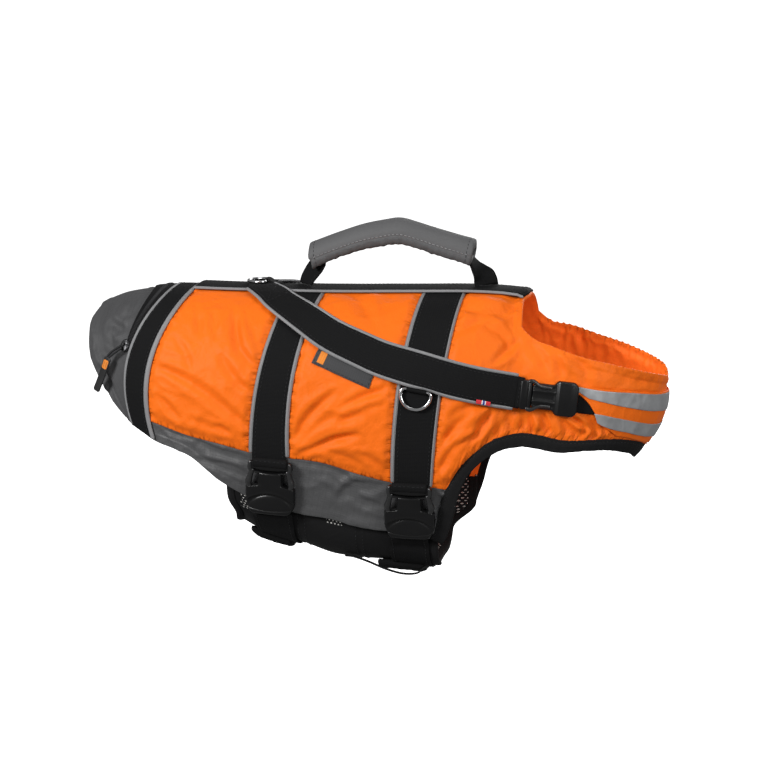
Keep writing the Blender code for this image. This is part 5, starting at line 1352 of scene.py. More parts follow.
def spine():
    edge = (SPINE_HALF - SPINE_PIPE - GAP) / (SPINE_HALF / 2)
    cs = spaced([5.05, 8, 13, 19, ARCH - 0.10], 2.0, "c", 1.0)
    for name, node, r0, r1, t, crown, mat, sl in (
            ("spine_band_web", "spine_band", 0.0, edge, WEB_T - 0.1, 0.0, WEB_X, "black_webbing"),
            ("spine_piping_strip", None, 2.0 - SPINE_PIPE / (SPINE_HALF / 2), 2.0, PIPE_T - 0.6, 0.6, PIPING, "reflective_piping")):
        rs = np.linspace(r0, r1, 9 if node else 7)
        P = shell(cs, rs)
        N = shell_normal(P)
        du, dv = arcs_of(P)
        if node:
            q = P * np.array([1, 0.3, 1])
            w = 0.22 * MID_N(q) + 0.25 * SLOW(q)
            dend = du[-1:] - du
            tuck = 2.3 * (1 - ease(dend / 6.0)) - 1.1 * np.exp(-((dend - 2.6) / 1.8) ** 2)
            top, low = SPINE_H + t + w - tuck, SPINE_H + np.minimum(0.5 * w, 0.0) + 0 * w - 2.6 * (1 - ease(dend / 6.0))
            O, I = P + N * top[..., None], P + N * low[..., None]
            O = np.concatenate([neck_pull(O, 1)[:, ::-1], (neck_pull(O, -1) * FLIP)[:, 1:]], 1)
            I = np.concatenate([neck_pull(I, 1)[:, ::-1], (neck_pull(I, -1) * FLIP)[:, 1:]], 1)
            st = np.stack([np.concatenate([du[:, ::-1], du[:, 1:]], 1), np.concatenate([-dv[:, ::-1], dv[:, 1:]], 1)], -1) * 0.001
            piece(slab(name, O, I, mat, bulge=0.6, st=st), node)
            nn = shell_normal(O)
            for j in (1, -2):
                STITCHES["dark"].append((O[:, j], nn[:, j]))
            # the front end is turned under and sewn across, three rows close together
            for back in (2, 4, 9):
                STITCHES["dark"].append((O[-back, 1:-1], nn[-back, 1:-1]))
        else:
            u = np.linspace(-1, 1, len(rs))[None, :]
            dend = du[-1:] - du
            tuck = 1.9 * (1 - ease(dend / 6.0))
            top = SPINE_H + t + crown * (1 - u * u) + 0.15 * MID_N(P) - tuck
            O, I = P + N * top[..., None], P + N * (SPINE_H - tuck)[..., None]
            st = np.stack([dv, du], -1) * 0.001
            for side, suffix in ((1, "_R"), (-1, "_L")):
                piece(slab(name + suffix, neck_pull(O, side), neck_pull(I, side), mat, bulge=0.8, st=st, mirror=side < 0), "spine_piping" + suffix)


spine()


def ribbon(centre, offsets, up_top, up_low):
    """Strip round a centre line on the form; returns outer, inner, normals and arc lengths."""
    centre = project(centre)
    t = unit(np.gradient(centre, axis=0))
    n = normal(centre)
    b = np.cross(n, t)
    grid = np.stack([project(centre + b * o) for o in offsets], axis=0)
    nn = normal(grid)
    return grid + nn * up_top[..., None], grid + nn * up_low[..., None], nn, grid


def strap_lift(x):
    return 3.4 * np.exp(-((x - SIDE_RING_X) / 28.0) ** 2) + 0.5 * np.clip((-85.0 - x) / 20.0, 0.0, 1.0)


def shoulder_straps():
    line = through(list(STRAP) + [(145.5, -82.2, 9.7)], 176)
    w = STRAP_W / 2
    s = np.concatenate([[0], np.cumsum(np.linalg.norm(np.diff(line, axis=0), axis=1))])
    for name, o0, o1, n_, t, crown, mat, sl in (
            ("shoulder_strap", -w + STRAP_PIPE + GAP, w - STRAP_PIPE - GAP, 13, WEB_T - 0.1, 0.15, WEB, "black_webbing"),
            ("strap_piping_lower", -w, -w + STRAP_PIPE, 7, PIPE_T - 0.6, 0.6, PIPING, "reflective_piping"),
            ("strap_piping_upper", w - STRAP_PIPE, w, 7, PIPE_T - 0.6, 0.6, PIPING, "reflective_piping")):
        offs = np.linspace(o0, o1, n_)
        keep = slice(0, None) if name == "shoulder_strap" else slice(0, int(np.argmin(np.abs(line[:, 0] - (141.5 if name.endswith("upper") else 138.5)))))
        ln = line[keep]
        u = np.linspace(-1, 1, n_)[:, None]
        for side, suffix in ((1, "_R"), (-1, "_L")):
            q = side_noise(ln, side)
            wv = (0.35 * SLOW(q) + 0.25 * MID_N(q)) * ease(s[keep] / 20.0) * ease((s[keep][-1] - s[keep]) / 20.0)
            base = STRAP_H + strap_lift(ln[:, 0]) + np.maximum(wv, -0.3)
            top = base[None] + t + crown * (1 - u * u)
            low = base[None] + 0 * top
            O, I, nn, grid = ribbon(ln, offs, top, low)
            if name == "strap_piping_lower":        # a little narrower where the side ring swings up against it
                near = np.exp(-((ln[:, 0] - SIDE_RING_X - 13.5) / 11.0) ** 2)
                pull = unit(grid[-1] - grid[0])[None] * (near[None] * np.linspace(1.6, 0.7, n_)[:, None])[..., None]
                O, I = O + pull, I + pull
            st = np.stack([np.repeat(offs[:, None], len(ln), 1), np.repeat(s[keep][None], n_, 0)], -1) * 0.001
            ob = slab(name + suffix + "_strip", O, I, mat, bulge=0.6 if n_ > 7 else 0.85, st=st, mirror=side < 0)
            piece(ob, name + suffix)
            if name == "shoulder_strap":
                f = FLIP if side < 0 else np.ones(3)
                for j in (1, -2):
                    STITCHES["dark"].append((O[j, :-8] * f, nn[j, :-8] * f))
                # crossed box of thread where the strap is sewn to the back
                for a, b in (((1, 6), (1, 20)), ((n_ - 2, 6), (n_ - 2, 20))):
                    STITCHES["dark"].append((O[a[0], a[1]:b[1]] * f, nn[a[0], a[1]:b[1]] * f))
                for j in (6, 20):
                    STITCHES["dark"].append((O[1:-1, j] * f, nn[1:-1, j] * f))
                dg = np.array([O[1 + k, 6 + int(round(14 * k / (n_ - 3)))] for k in range(n_ - 2)])
                dn = np.array([nn[1 + k, 6 + int(round(14 * k / (n_ - 3)))] for k in range(n_ - 2)])
                STITCHES["dark"].append((dg * f, dn * f))
                dg = np.array([O[n_ - 2 - k, 6 + int(round(14 * k / (n_ - 3)))] for k in range(n_ - 2)])
                STITCHES["dark"].append((dg * f, dn * f))
    # the strap's end goes round the bar of the buckle and back: its folded layer shows over the strap
    seg = line[int(np.argmin(np.abs(line[:, 0] - 140.5))):]
    offs = np.linspace(-12.6, 12.6, 11)
    q = np.linspace(0, 1, len(seg))
    top = STRAP_H + WEB_T + 1.4 + 0.9 * ease(q * 1.6)
    top = top[None] * np.ones((11, 1)) + 0.25 * (1 - np.linspace(-1, 1, 11)[:, None] ** 2)
    low = np.full((11, len(seg)), STRAP_H + WEB_T + 0.35)
    O, I, nn, _ = ribbon(seg, offs, top, low)
    ss = np.linspace(0, 0.015, len(seg))
    st = np.stack([np.repeat(offs[:, None] * 0.001, len(seg), 1), np.repeat(ss[None], 11, 0)], -1)
    top = top + 1.2 * np.sin(np.clip(q, 0, 1) * math.pi)[None]
    for side, suffix in ((1, "_R"), (-1, "_L")):
        piece(slab("strap_fold" + suffix, O, I, WEB, bulge=0.9, st=st, mirror=side < 0))
        f = FLIP if side < 0 else np.ones(3)
        for j in (1,):
            STITCHES["dark"].append((O[1:-1, j] * f, nn[1:-1, j] * f))


shoulder_straps()


def chest_webbing():
    line = through([on_form(199.5, 3.0), on_form(208.0, 1.6), on_form(217.0, 0.4), on_form(228.0, -0.6)], 24)
    offs = np.linspace(-11.5, 11.5, 9)
    top = np.full((9, 24), LIFT + 1.0) + 0.1 * (1 - np.linspace(-1, 1, 9)[:, None] ** 2)
    O, I, nn, g = ribbon(line, offs, top, np.full((9, 24), 0.4))
    st = np.stack([np.repeat(offs[:, None], 24, 1), np.repeat(np.linspace(0, 29, 24)[None], 9, 0)], -1) * 0.001
    for side, suffix in ((1, "_R"), (-1, "_L")):
        piece(slab("chest_webbing_strip" + suffix, O, I, WEB, bulge=0.5, st=st, mirror=side < 0), "chest_webbing" + suffix)


chest_webbing()


# ---------------------------------------------------------------- leg bindings
def leg_bindings():
    widths = np.array([[w] for _, w in LEG_BINDING] + [[r[3]] for r in COLLAR], float)
    cs = spaced([15, 16, 18, 19, 21, ARCH, ARCH + 1, NOSE], 1.8, "c", 10.0)
    R = np.where(cs <= ARCH, float(HEM_ROW), float(SEAM_ROW))[:, None]
    edge = shell(cs, R)[:, 0]
    inward = shell(cs, R - 0.6)[:, 0] - edge
    # even the line out where it turns from the hem corner into the leg
    for _ in range(6):
        edge[1:-1] = 0.25 * edge[:-2] + 0.5 * edge[1:-1] + 0.25 * edge[2:]
    edge = project(edge, 2)
    width = rows_of(widths, cs - 15)[:, 0]
    t = unit(np.gradient(edge, axis=0))
    t[-1] = (0, 1, 0)
    n = normal(edge)
    n[-1, 1] = 0
    n = unit(n)
    b = np.cross(t, n)
    b *= np.where((b * inward).sum(1) > 0, -1.0, 1.0)[:, None]
    b = unit(b)
    for _ in range(4):
        b[1:-1] = unit(0.25 * b[:-2] + 0.5 * b[1:-1] + 0.25 * b[2:])
    s = np.concatenate([[0], np.cumsum(np.linalg.norm(np.diff(edge, axis=0), axis=1))])
    m = 13
    for side, suffix in ((1, "_R"), (-1, "_L")):
        q = side_noise(edge, side)
        fade = ease((s[-1] - s) / 12.0)
        wob = (0.5 * MID_N(q) + 0.35 * FINE_N(q)) * fade
        O, I = [], []
        for k in range(m):
            v = k / (m - 1)
            p = edge + b * ((0.4 + (width + 0.7 * wob - 0.4) * v))[:, None]
            ripple = (0.28 * np.sin(s * 2 * math.pi / 7.5 + 3 * MID_N(q)) * v + 0.25 * wob) * fade
            crown = 0.5 * math.sin(math.pi * min(1.0, v * 1.15)) - 0.35 * math.exp(-((v - 0.16) / 0.07) ** 2)
            O.append(p + n * (0.7 + crown + ripple)[:, None])
            I.append(p + n * (-3.2 + ripple * 0.8)[:, None])
        O, I = np.array(O), np.array(I)
        O[:, -1, 1] = -0.15
        I[:, -1, 1] = -0.15
        O, I = slack(O, side), slack(I, side)
        st = np.stack([np.repeat(np.linspace(0, 1, m)[:, None] * 12, len(s), 1), np.repeat(s[None], m, 0)], -1) * 0.001
        ob = slab("leg_binding_fold" + suffix, O, I, [BINDING, ORANGE_IN_GLOW, LINING], bulge=1.5, st=st, mirror=side < 0)
        # inside, the panel and the net lining are sewn over the first half of the fold
        idx = np.zeros(len(ob.data.polygons), np.int32)
        a, b_ = (m - 1) * (len(s) - 1), 2 * (m - 1) * (len(s) - 1)
        zi = 0.5 * (I[:-1, :-1, 2] + I[1:, 1:, 2])
        rank = np.repeat(np.arange(m - 1)[:, None], len(s) - 1, 1)
        idx[a:b_] = np.where(rank < 6, np.where(zi > -109.0, 1, 2), 0).ravel()
        ob.data.polygons.foreach_set("material_index", idx)
        piece(ob, "leg_binding" + suffix)
        f = FLIP if side < 0 else np.ones(3)
        STITCHES["dark"].append((O[2] * f, n * f))


leg_bindings()


# ---------------------------------------------------------------- label and flag tag
def label_and_flag():
    corners = ((-49.5, 48.3), (-56.0, 34.6), (5.5, 28.6), (0.5, 12.8))
    nu, nv = 46, 14
    uu, vv = np.meshgrid(np.linspace(0, 1, nu), np.linspace(0, 1, nv), indexing="ij")
    c = [np.array(k) for k in corners]
    top = c[0] * (1 - uu)[..., None] + c[2] * uu[..., None]
    low = c[1] * (1 - uu)[..., None] + c[3] * uu[..., None]
    xz = top * (1 - vv)[..., None] + low * vv[..., None]
    g = on_form(xz[..., 0], xz[..., 1])
    n = normal(g)
    border = np.minimum(np.minimum(uu * 60, (1 - uu) * 60), np.minimum(vv * 15, (1 - vv) * 15))
    h = 5.72 + 0.18 * ease(border / 1.2) - 0.22 * np.exp(-((border - 1.6) / 0.5) ** 2) + 0.10 * MID_N(g)
    st = np.stack([uu * 0.060, vv * 0.015], -1)
    ob = slab("label_bare", g + n * h[..., None], g + n * 4.9, LABEL, bulge=0.35, st=st)
    piece(ob, "label")
    # plain woven block at its rear end, and a sewn border
    a, b = 3, 9
    O = (g + n * (h + 0.22)[..., None])[a:b, 2:-2]
    I = (g + n * (h + 0.03)[..., None])[a:b, 2:-2]
    ob = slab("label_block", O, I, LABEL_END, bulge=0.1, st=st[a:b, 2:-2])
    piece(ob)
    O = g + n * (h + 0.05)[..., None]
    for line in ((O[1:-1, 1], n[1:-1, 1]), (O[1:-1, -2], n[1:-1, -2]), (O[1, 1:-1], n[1, 1:-1]), (O[-2, 1:-1], n[-2, 1:-1])):
        STITCHES["black"].append(line)
    # flag tag folded over the piping: red, white, blue, white, red
    line = through([on_form(102.5, 3.2), on_form(109.0, 2.0), on_form(115.5, 0.8)], 41)
    offs = np.linspace(-1.6, 1.6, 7)
    u = np.linspace(-1, 1, 7)[:, None]
    top = np.full((7, 41), STRAP_H + PIPE_T + 1.1) + 0.12 * (1 - u * u)
    O, I, nn, _ = ribbon(line, offs, top, np.full((7, 41), STRAP_H + PIPE_T + 0.4))
    st = np.stack([np.repeat(offs[:, None], 41, 1), np.repeat(np.linspace(0, 13, 41)[None], 7, 0)], -1) * 0.001
    ob = slab("flag_tag_strip", O, I, [RED, WHITE, BLUE], bulge=0.3, st=st)
    me = ob.data
    along = np.array([me.attributes["st"].data[v].vector[1] for v in range(len(me.vertices))]) / 0.013
    for p in me.polygons:
        a_ = float(np.mean([along[i] for i in p.vertices]))
        p.material_index = 0 if a_ < 0.38 or a_ > 0.68 else (1 if a_ < 0.46 or a_ > 0.60 else 2)
    piece(ob, "flag_tag")


label_and_flag()


# ---------------------------------------------------------------- buckles
GIRTH_LEN, SHOULDER_LEN = 57.0, 53.0
TAB_BLACK = plastic_material("pull_tab_black", (0.012, 0.012, 0.0125), rough=(0.36, 0.48), grain=0.1, spec=0.4)
# buckle arms and cheeks: lower roughness and more specular than black_plastic give real gloss, and the lighter base
# colour is painted highlight
GLOSS = plastic_material("black_plastic_bright_highlight", (0.016, 0.016, 0.0165), rough=(0.20, 0.30), grain=0.06, spec=0.6)


def buckle_frame(top, bottom, h_top, h_bottom):
    a, b = on_form(*top), on_form(*bottom)
    na, nb = normal(a[None])[0], normal(b[None])[0]
    a, b = a + na * h_top, b + nb * h_bottom
    d = b - a
    length = float(np.linalg.norm(d))
    d = d / length
    n = na + nb
    n = unit(n - d * n.dot(d))
    return a, d, np.cross(n, d), n, length


def moulded(name, fr, scale, u0, u1, half, height, base, nu=60, nv=40, r=1.6, mats=None, mirror=False, bulge=0.35,
            node=None, body="jacket", corner=3.0):
    """Moulded plastic body: half(u) is its outline, height(u, v) its face, base its underside; edges are rounded."""
    a, d, w, n = fr[:4]
    k = np.sin(np.linspace(-math.pi / 2, math.pi / 2, nu)) * 0.5 + 0.5
    k = 0.55 * k + 0.45 * np.linspace(0, 1, nu)
    u = u0 + (u1 - u0) * k
    t = np.sin(np.linspace(-math.pi / 2, math.pi / 2, nv))
    t = 0.5 * t + 0.5 * np.linspace(-1, 1, nv)
    end = np.minimum(u - u0, u1 - u)
    round_ = np.where(end < corner, corner - np.sqrt(np.maximum(corner**2 - (corner - end) ** 2, 0)), 0.0)
    hw = half(u) - round_
    U = np.repeat(u[:, None], nv, 1)
    V = hw[:, None] * t[None]
    e = np.minimum(hw[:, None] - np.abs(V), end[:, None])
    H = height(U, V)
    drop = np.where(e < r, r - np.sqrt(np.maximum(r * r - (r - e) ** 2, 0)), 0.0)
    H = np.maximum(H - drop, base + 0.8)
    top = a + d * (U * scale)[..., None] + w * V[..., None] + n * H[..., None]
    B = base + 0.35 * np.minimum(1.0, drop / r)
    low = a + d * (U * scale)[..., None] + w * V[..., None] + n * B[..., None]
    st = np.stack([V, U], -1) * 0.001
    ob = slab(name, top, low, mats or PLASTIC, bulge=bulge, st=st, mirror=mirror)
    piece(ob, node or (), body=body)
    return ob


def pill(name, fr, pts, radius, mats, flat=1.0, mirror=False, sides=14, n=40, body="jacket", node=None):
    """Rounded bar through points (u, v, h) of a buckle's frame."""
    a, d, w, nn = fr[:4]
    q = through(pts, n)
    c = a + d * q[:, :1] + w * q[:, 1:2] + nn * q[:, 2:3]
    t = unit(np.gradient(c, axis=0))
    up = unit(nn[None] - t * (t @ nn)[:, None])
    side = np.cross(t, up)
    s = np.linspace(0, 1, n)
    rr = (np.full(n, radius) if np.isscalar(radius) else np.interp(s, np.linspace(0, 1, len(radius)), radius))
    tip = np.minimum(s, 1 - s) * np.linalg.norm(np.diff(c, axis=0), axis=1).sum()
    rr = rr * np.sqrt(np.clip(1 - (1 - np.clip(tip / rr, 0, 1)) ** 2, 0.02, 1))
    ang = np.linspace(0, 2 * math.pi, sides, endpoint=False)
    rings = (c[:, None] + side[:, None] * (np.cos(ang)[None] * rr[:, None])[..., None]
             + up[:, None] * (np.sin(ang)[None] * rr[:, None] * flat)[..., None])
    ob = tube(name, rings, mats, mirror=mirror, st=np.zeros((n * sides, 3)))
    piece(ob, node or (), body=body)
    return ob


def step_at(u, at, w):
    return ease((u - at) / w + 0.5)


def girth_buckle(name, top, bottom, h_top, h_bottom):
    fr = buckle_frame(top, bottom, h_top, h_bottom)
    k = fr[4] / GIRTH_LEN

    def half_f(u):
        h = 12.6 + 11.8 * step_at(u, 26.4, 3.4) - 0.5 * np.exp(-((u - 17.0) / 5.0) ** 2)
        return h * np.sqrt(np.clip(1 - 0.5 * (np.maximum(u - 43.0, 0) / 15.0) ** 2, 0.3, 1))

    def height_f(u, v):
        h = 8.7 - 1.9 * (v / 25.0) ** 2 - 0.8 * ((u - 30.0) / 27.0) ** 2
        tongue = ease((27.0 - u) / 5.0)
        h = h - tongue * 1.1 * (v / 12.6) ** 2
        # arch: the housing ends in a curved lip, with the rounded strap bar swelling out of the shade below it
        arch = 33.2 + 8.0 * (v / 22.0) ** 2
        below = ease((u - arch) / 1.1)
        swell = 4.9 + 3.2 * np.sqrt(np.clip(1 - (v / 23.5) ** 2 - ((u - 56.5) / 20.5) ** 2, 0, 1))
        h = h * (1 - below) + np.minimum(swell, 8.0) * below
        h = h + 0.45 * np.exp(-((u - arch + 1.0) / 0.9) ** 2)
        # second line, where the bar's rim starts
        h = h - 0.7 * np.exp(-((u - 50.5 - 2.0 * (1 - (v / 22.0) ** 2)) / 0.7) ** 2) * below
        return h

    def half_m(u):
        return 21.6 - 4.2 * ease((u - 8.0) / 4.6)

    def height_m(u, v):
        h = 7.0 - 1.2 * (v / 22.0) ** 2
        gap = 8.6 + 1.5 * (1 - (v / 17.0) ** 2)
        h = h - 3.6 * np.exp(-((u - gap) / 1.0) ** 2) * ease((18.0 - np.abs(v)) / 1.0)
        h = h + 0.9 * np.exp(-((np.abs(v) - 19.6) / 1.1) ** 2) * ease((9.0 - u) / 3.0)
        return h

    for side, suffix in ((1, "_R"), (-1, "_L")):
        mir = side < 0
        moulded(name + suffix + "_housing", fr, k, 11.0, 57.0, half_f, height_f, 0.2, 84, 50, 2.2, mirror=mir,
                node=name + suffix, corner=4.0)
        moulded(name + suffix + "_male", fr, k, 0.2, 12.6, half_m, height_m, 0.6, 30, 48, 1.5, mirror=mir, corner=3.4)
        for s_, tag in ((1, "a"), (-1, "b")):
            pill(name + suffix + "_cheek_" + tag, fr, [(-0.6 * k, s_ * 18.6, 5.2), (2.0 * k, s_ * 19.9, 5.8), (6.0 * k, s_ * 20.2, 6.0),
                 (10.0 * k, s_ * 19.0, 5.6), (13.5 * k, s_ * 16.6, 5.0)], [1.5, 1.9, 2.0, 1.8, 1.4], GLOSS, 1.0, mirror=mir, sides=12, n=26)
        for s_, tag in ((1, "a"), (-1, "b")):
            # sprung arms: they come out of the housing at the notches, where the fingers press
            pill(name + suffix + "_arm_" + tag, fr, [(7.5 * k, s_ * 16.8, 4.4), (11.5 * k, s_ * 18.6, 4.6), (17.0 * k, s_ * 20.0, 4.7),
                 (22.5 * k, s_ * 21.4, 4.8), (26.8 * k, s_ * 20.4, 4.6), (30.5 * k, s_ * 18.0, 4.2)], [2.2, 2.6, 2.8, 3.5, 2.7, 2.0],
                 GLOSS, 1.1, mirror=mir)
        # the webbing goes round the top bar: a soft roll as wide as the band
        a, d, w, n = fr[:4]
        m, c = 44, 30
        x = np.linspace(-17.6, 17.6, m)
        ang = np.linspace(0, 2 * math.pi, c, endpoint=False)
        q = a + w * 0
        rings = []
        for xi in x:
            sag = 0.25 * math.sin(xi * 0.31 + side) + 0.15 * math.sin(xi * 0.83)
            e = max(0.0, (abs(xi) - 16.4) / 1.2)
            sh = math.sqrt(max(0.05, 1 - e * e)) if e > 0 else 1.0
            cu, ch = 1.4 * k, 4.3
            ru, rh = 4.8 * sh, 3.3 * sh
            rings.append([a + w * xi + d * (cu + ru * np.sign(math.cos(t)) * abs(math.cos(t)) ** 0.8 + 0.2 * sag)
                          + n * (ch + rh * np.sign(math.sin(t)) * abs(math.sin(t)) ** 0.8 + 0.2 * sag) for t in ang])
        st = np.zeros((m, c, 3))
        st[..., 0] = x[:, None] * 0.001
        st[..., 1] = (ang * 4.7)[None] * 0.001
        ob = tube(name + suffix + "_wrap", rings, WEB, mirror=mir, st=st)
        piece(ob)
        # thread across the wrap
        f = FLIP if mir else np.ones(3)
        line = np.array([a + w * xi + d * (-1.4) + n * 7.0 for xi in np.linspace(-15.5, 15.5, 20)])
        STITCHES["dark"].append((line * f, np.repeat(n[None], 20, 0) * f))


girth_buckle("girth_buckle_rear", (-96.3, -60.0), (-99.2, -113.5), 3.5, 3.4)
girth_buckle("girth_buckle_front", (39.4, -80.0), (37.6, -133.5), 3.8, 3.4)


def shoulder_buckle():
    name = "shoulder_buckle"
    fr = buckle_frame((144.6, 9.3), (198.6, 3.2), 4.6, 2.2)
    k = fr[4] / SHOULDER_LEN

    def half_h(u):          # female housing, wide and rounded at its far end
        return 12.2 + 4.4 * ease((u - 29.5) / 5.0) - 1.4 * ease((u - 46.0) / 7.0) ** 2

    def height_h(u, v):
        h = 6.0 + 2.0 * ease((u - 32.5) / 2.2) - 0.8 * (v / 16.0) ** 2 - 1.3 * ease((u - 44.0) / 9.0) ** 2
        h = h - 0.8 * np.exp(-((u - 34.4) / 0.6) ** 2)
        mid = ease((32.0 - u) / 1.5)
        h = h + mid * (0.75 * np.exp(-((np.abs(v) - 5.0) / 0.9) ** 2) - 0.7 * np.exp(-(v / 3.4) ** 4)
                       - 0.6 * np.exp(-((np.abs(v) - 8.6) / 1.4) ** 2))
        return h

    def half_m(u):
        return 14.3 + 0 * u

    def height_m(u, v):
        return 7.4 - 1.0 * (v / 14.3) ** 2 - 0.5 * ((u - 3.6) / 4.0) ** 2 - 1.2 * np.exp(-((u - 6.4) / 0.5) ** 2)

    for side, suffix in ((1, "_R"), (-1, "_L")):
        mir = side < 0
        moulded(name + suffix + "_housing", fr, k, 10.4, 53.0, half_h, height_h, 0.2, 90, 44, 1.4, mirror=mir,
                node=name + suffix, corner=4.6)
        moulded(name + suffix + "_male", fr, k, -1.2, 10.1, half_m, height_m, 0.4, 30, 44, 1.5, mirror=mir, corner=3.0)
        for s_, tag in ((1, "a"), (-1, "b")):
            pill(name + suffix + "_arm_" + tag, fr, [(5.0 * k, s_ * 12.4, 4.8), (8.8 * k, s_ * 13.8, 5.2), (12.4 * k, s_ * 12.8, 5.3),
                 (15.4 * k, s_ * 10.8, 5.3), (20.0 * k, s_ * 9.2, 5.2), (29.0 * k, s_ * 9.0, 5.2)],
                 [1.6, 2.1, 1.9, 1.8, 1.7, 1.6], GLOSS, 1.15, mirror=mir)


shoulder_buckle()


# ---------------------------------------------------------------- D-rings and their loops
def frame_at(x, z, towards):
    p = on_form(x, z)
    n = normal(p[None])[0]
    d = on_form(*towards) - p
    d = unit(d - n * d.dot(n))
    return p, n, d, np.cross(n, d)


def closed_curve(pts, n):
    c = np.array(pts, float)
    e = np.vstack([c[-1:], c, c[:2]])
    out = []
    for i in range(1, len(e) - 2):
        for t in np.linspace(0, 1, 16, endpoint=False):
            a, b, d, f = e[i - 1], e[i], e[i + 1], e[i + 2]
            out.append(0.5 * (2 * b + (d - a) * t + (2 * a - 5 * b + 4 * d - f) * t**2 + (3 * b - a - 3 * d + f) * t**3))
    out = np.array(out + [out[0]])
    s = np.linalg.norm(np.diff(out, axis=0), axis=1).sum()
    return resample(out, np.linspace(0, s, n + 1))[:-1]


def d_ring(name, origin, bar, bow):
    hw = RING_W / 2
    path = [(-8.0, 0.0), (-2.5, 0.0), (2.5, 0.0), (8.0, 0.0), (11.4, 0.15), (hw - 1.4, 1.1), (hw - 0.2, 3.2)]
    for k in range(1, 12):
        a = math.pi * k / 12
        path.append((hw * math.cos(a), min(4.0 + (RING_H - 4.0) * math.sin(a), RING_H - 0.15)))
    path += [(-hw + 0.2, 3.2), (-hw + 1.4, 1.1), (-11.4, 0.15)]
    q = closed_curve(path, 132)
    pts = origin + bar * q[:, :1] + bow * q[:, 1:2]
    up = np.cross(bar, bow)
    t = unit(np.roll(pts, -1, 0) - np.roll(pts, 1, 0))
    s = np.cross(up, t)
    ang = np.linspace(0, 2 * math.pi, 20, endpoint=False)
    r = RING_WIRE / 2 - 0.03
    rings = pts[:, None] + (s[:, None] * np.cos(ang)[None, :, None] + up * np.sin(ang)[None, :, None]) * r
    ob = tube(name + "_wire", rings, CHROME, close=True)
    piece(ob, name, body=name)


def ring_loop(name, origin, bar, tail, up, half, length):
    r = RING_WIRE / 2 + GAP + LOOP_T / 2
    low = -r
    mid = [(length, low), (length * 0.7, low), (length * 0.4, low), (1.5, low)]
    for k in range(9):
        a = -0.5 * math.pi - math.pi * k / 8
        mid.append((r * math.cos(a), r * math.sin(a)))
    top = low + LOOP_T + 0.35
    mid += [(2.2, r * 0.86), (4.0, r * 0.42), (5.6, 0.0), (8.0, top + 0.15), (length * 0.8, top), (length, top)]
    q = through([(a, b, 0) for a, b in mid], 90)[:, :2]
    t = unit(np.gradient(q, axis=0))
    nn = np.stack([-t[:, 1], t[:, 0]], -1) * (LOOP_T / 2 - 0.02)
    xs = np.linspace(-half, half, 15)
    A = np.array([[origin + tail * c[0] + up * c[1] + bar * x for x in xs] for c in q + nn])
    B = np.array([[origin + tail * c[0] + up * c[1] + bar * x for x in xs] for c in q - nn])
    s = np.linspace(0, 40, 90)
    st = np.stack([np.repeat(xs[None], 90, 0), np.repeat(s[:, None], 15, 1)], -1) * 0.001
    ob = slab(name + "_web", A, B, WEB, bulge=0.25, st=st)
    fix_normals(ob)
    piece(ob, name)
    for dx in (length - 1.6, length - 3.4):
        line = np.array([origin + tail * dx + up * (top + LOOP_T / 2) + bar * x for x in np.linspace(-half + 1, half - 1, 12)])
        STITCHES["dark"].append((line, np.repeat(up[None], 12, 0)))


def rings():
    p, n, d, w = frame_at(SIDE_RING_X, SIDE_RING_Z, (SIDE_RING_X - 3.4, SIDE_RING_Z - 20.0))
    o = p + n * (LIFT + WEB_T + GAP + LOOP_T + GAP + RING_WIRE / 2)
    bar = np.cross(d, n)
    d_ring("side_ring", o, bar, d)
    ring_loop("side_ring_loop", o, bar, -d, n, 9.5, 14.0)
    o = np.array([BACK_RING_X, 0.0, float(section(BACK_RING_X)[0]) + SPINE_H + WEB_T + GAP + LOOP_T + GAP + RING_WIRE / 2 + 0.2])
    d_ring("back_ring", o, np.array([0.0, 1.0, 0.0]), np.array([-1.0, 0.0, 0.0]))
    ring_loop("back_ring_loop", o, np.array([0.0, 1.0, 0.0]), np.array([1.0, 0.0, 0.0]), np.array([0.0, 0.0, 1.0]), 8.0, 15.0)


rings()


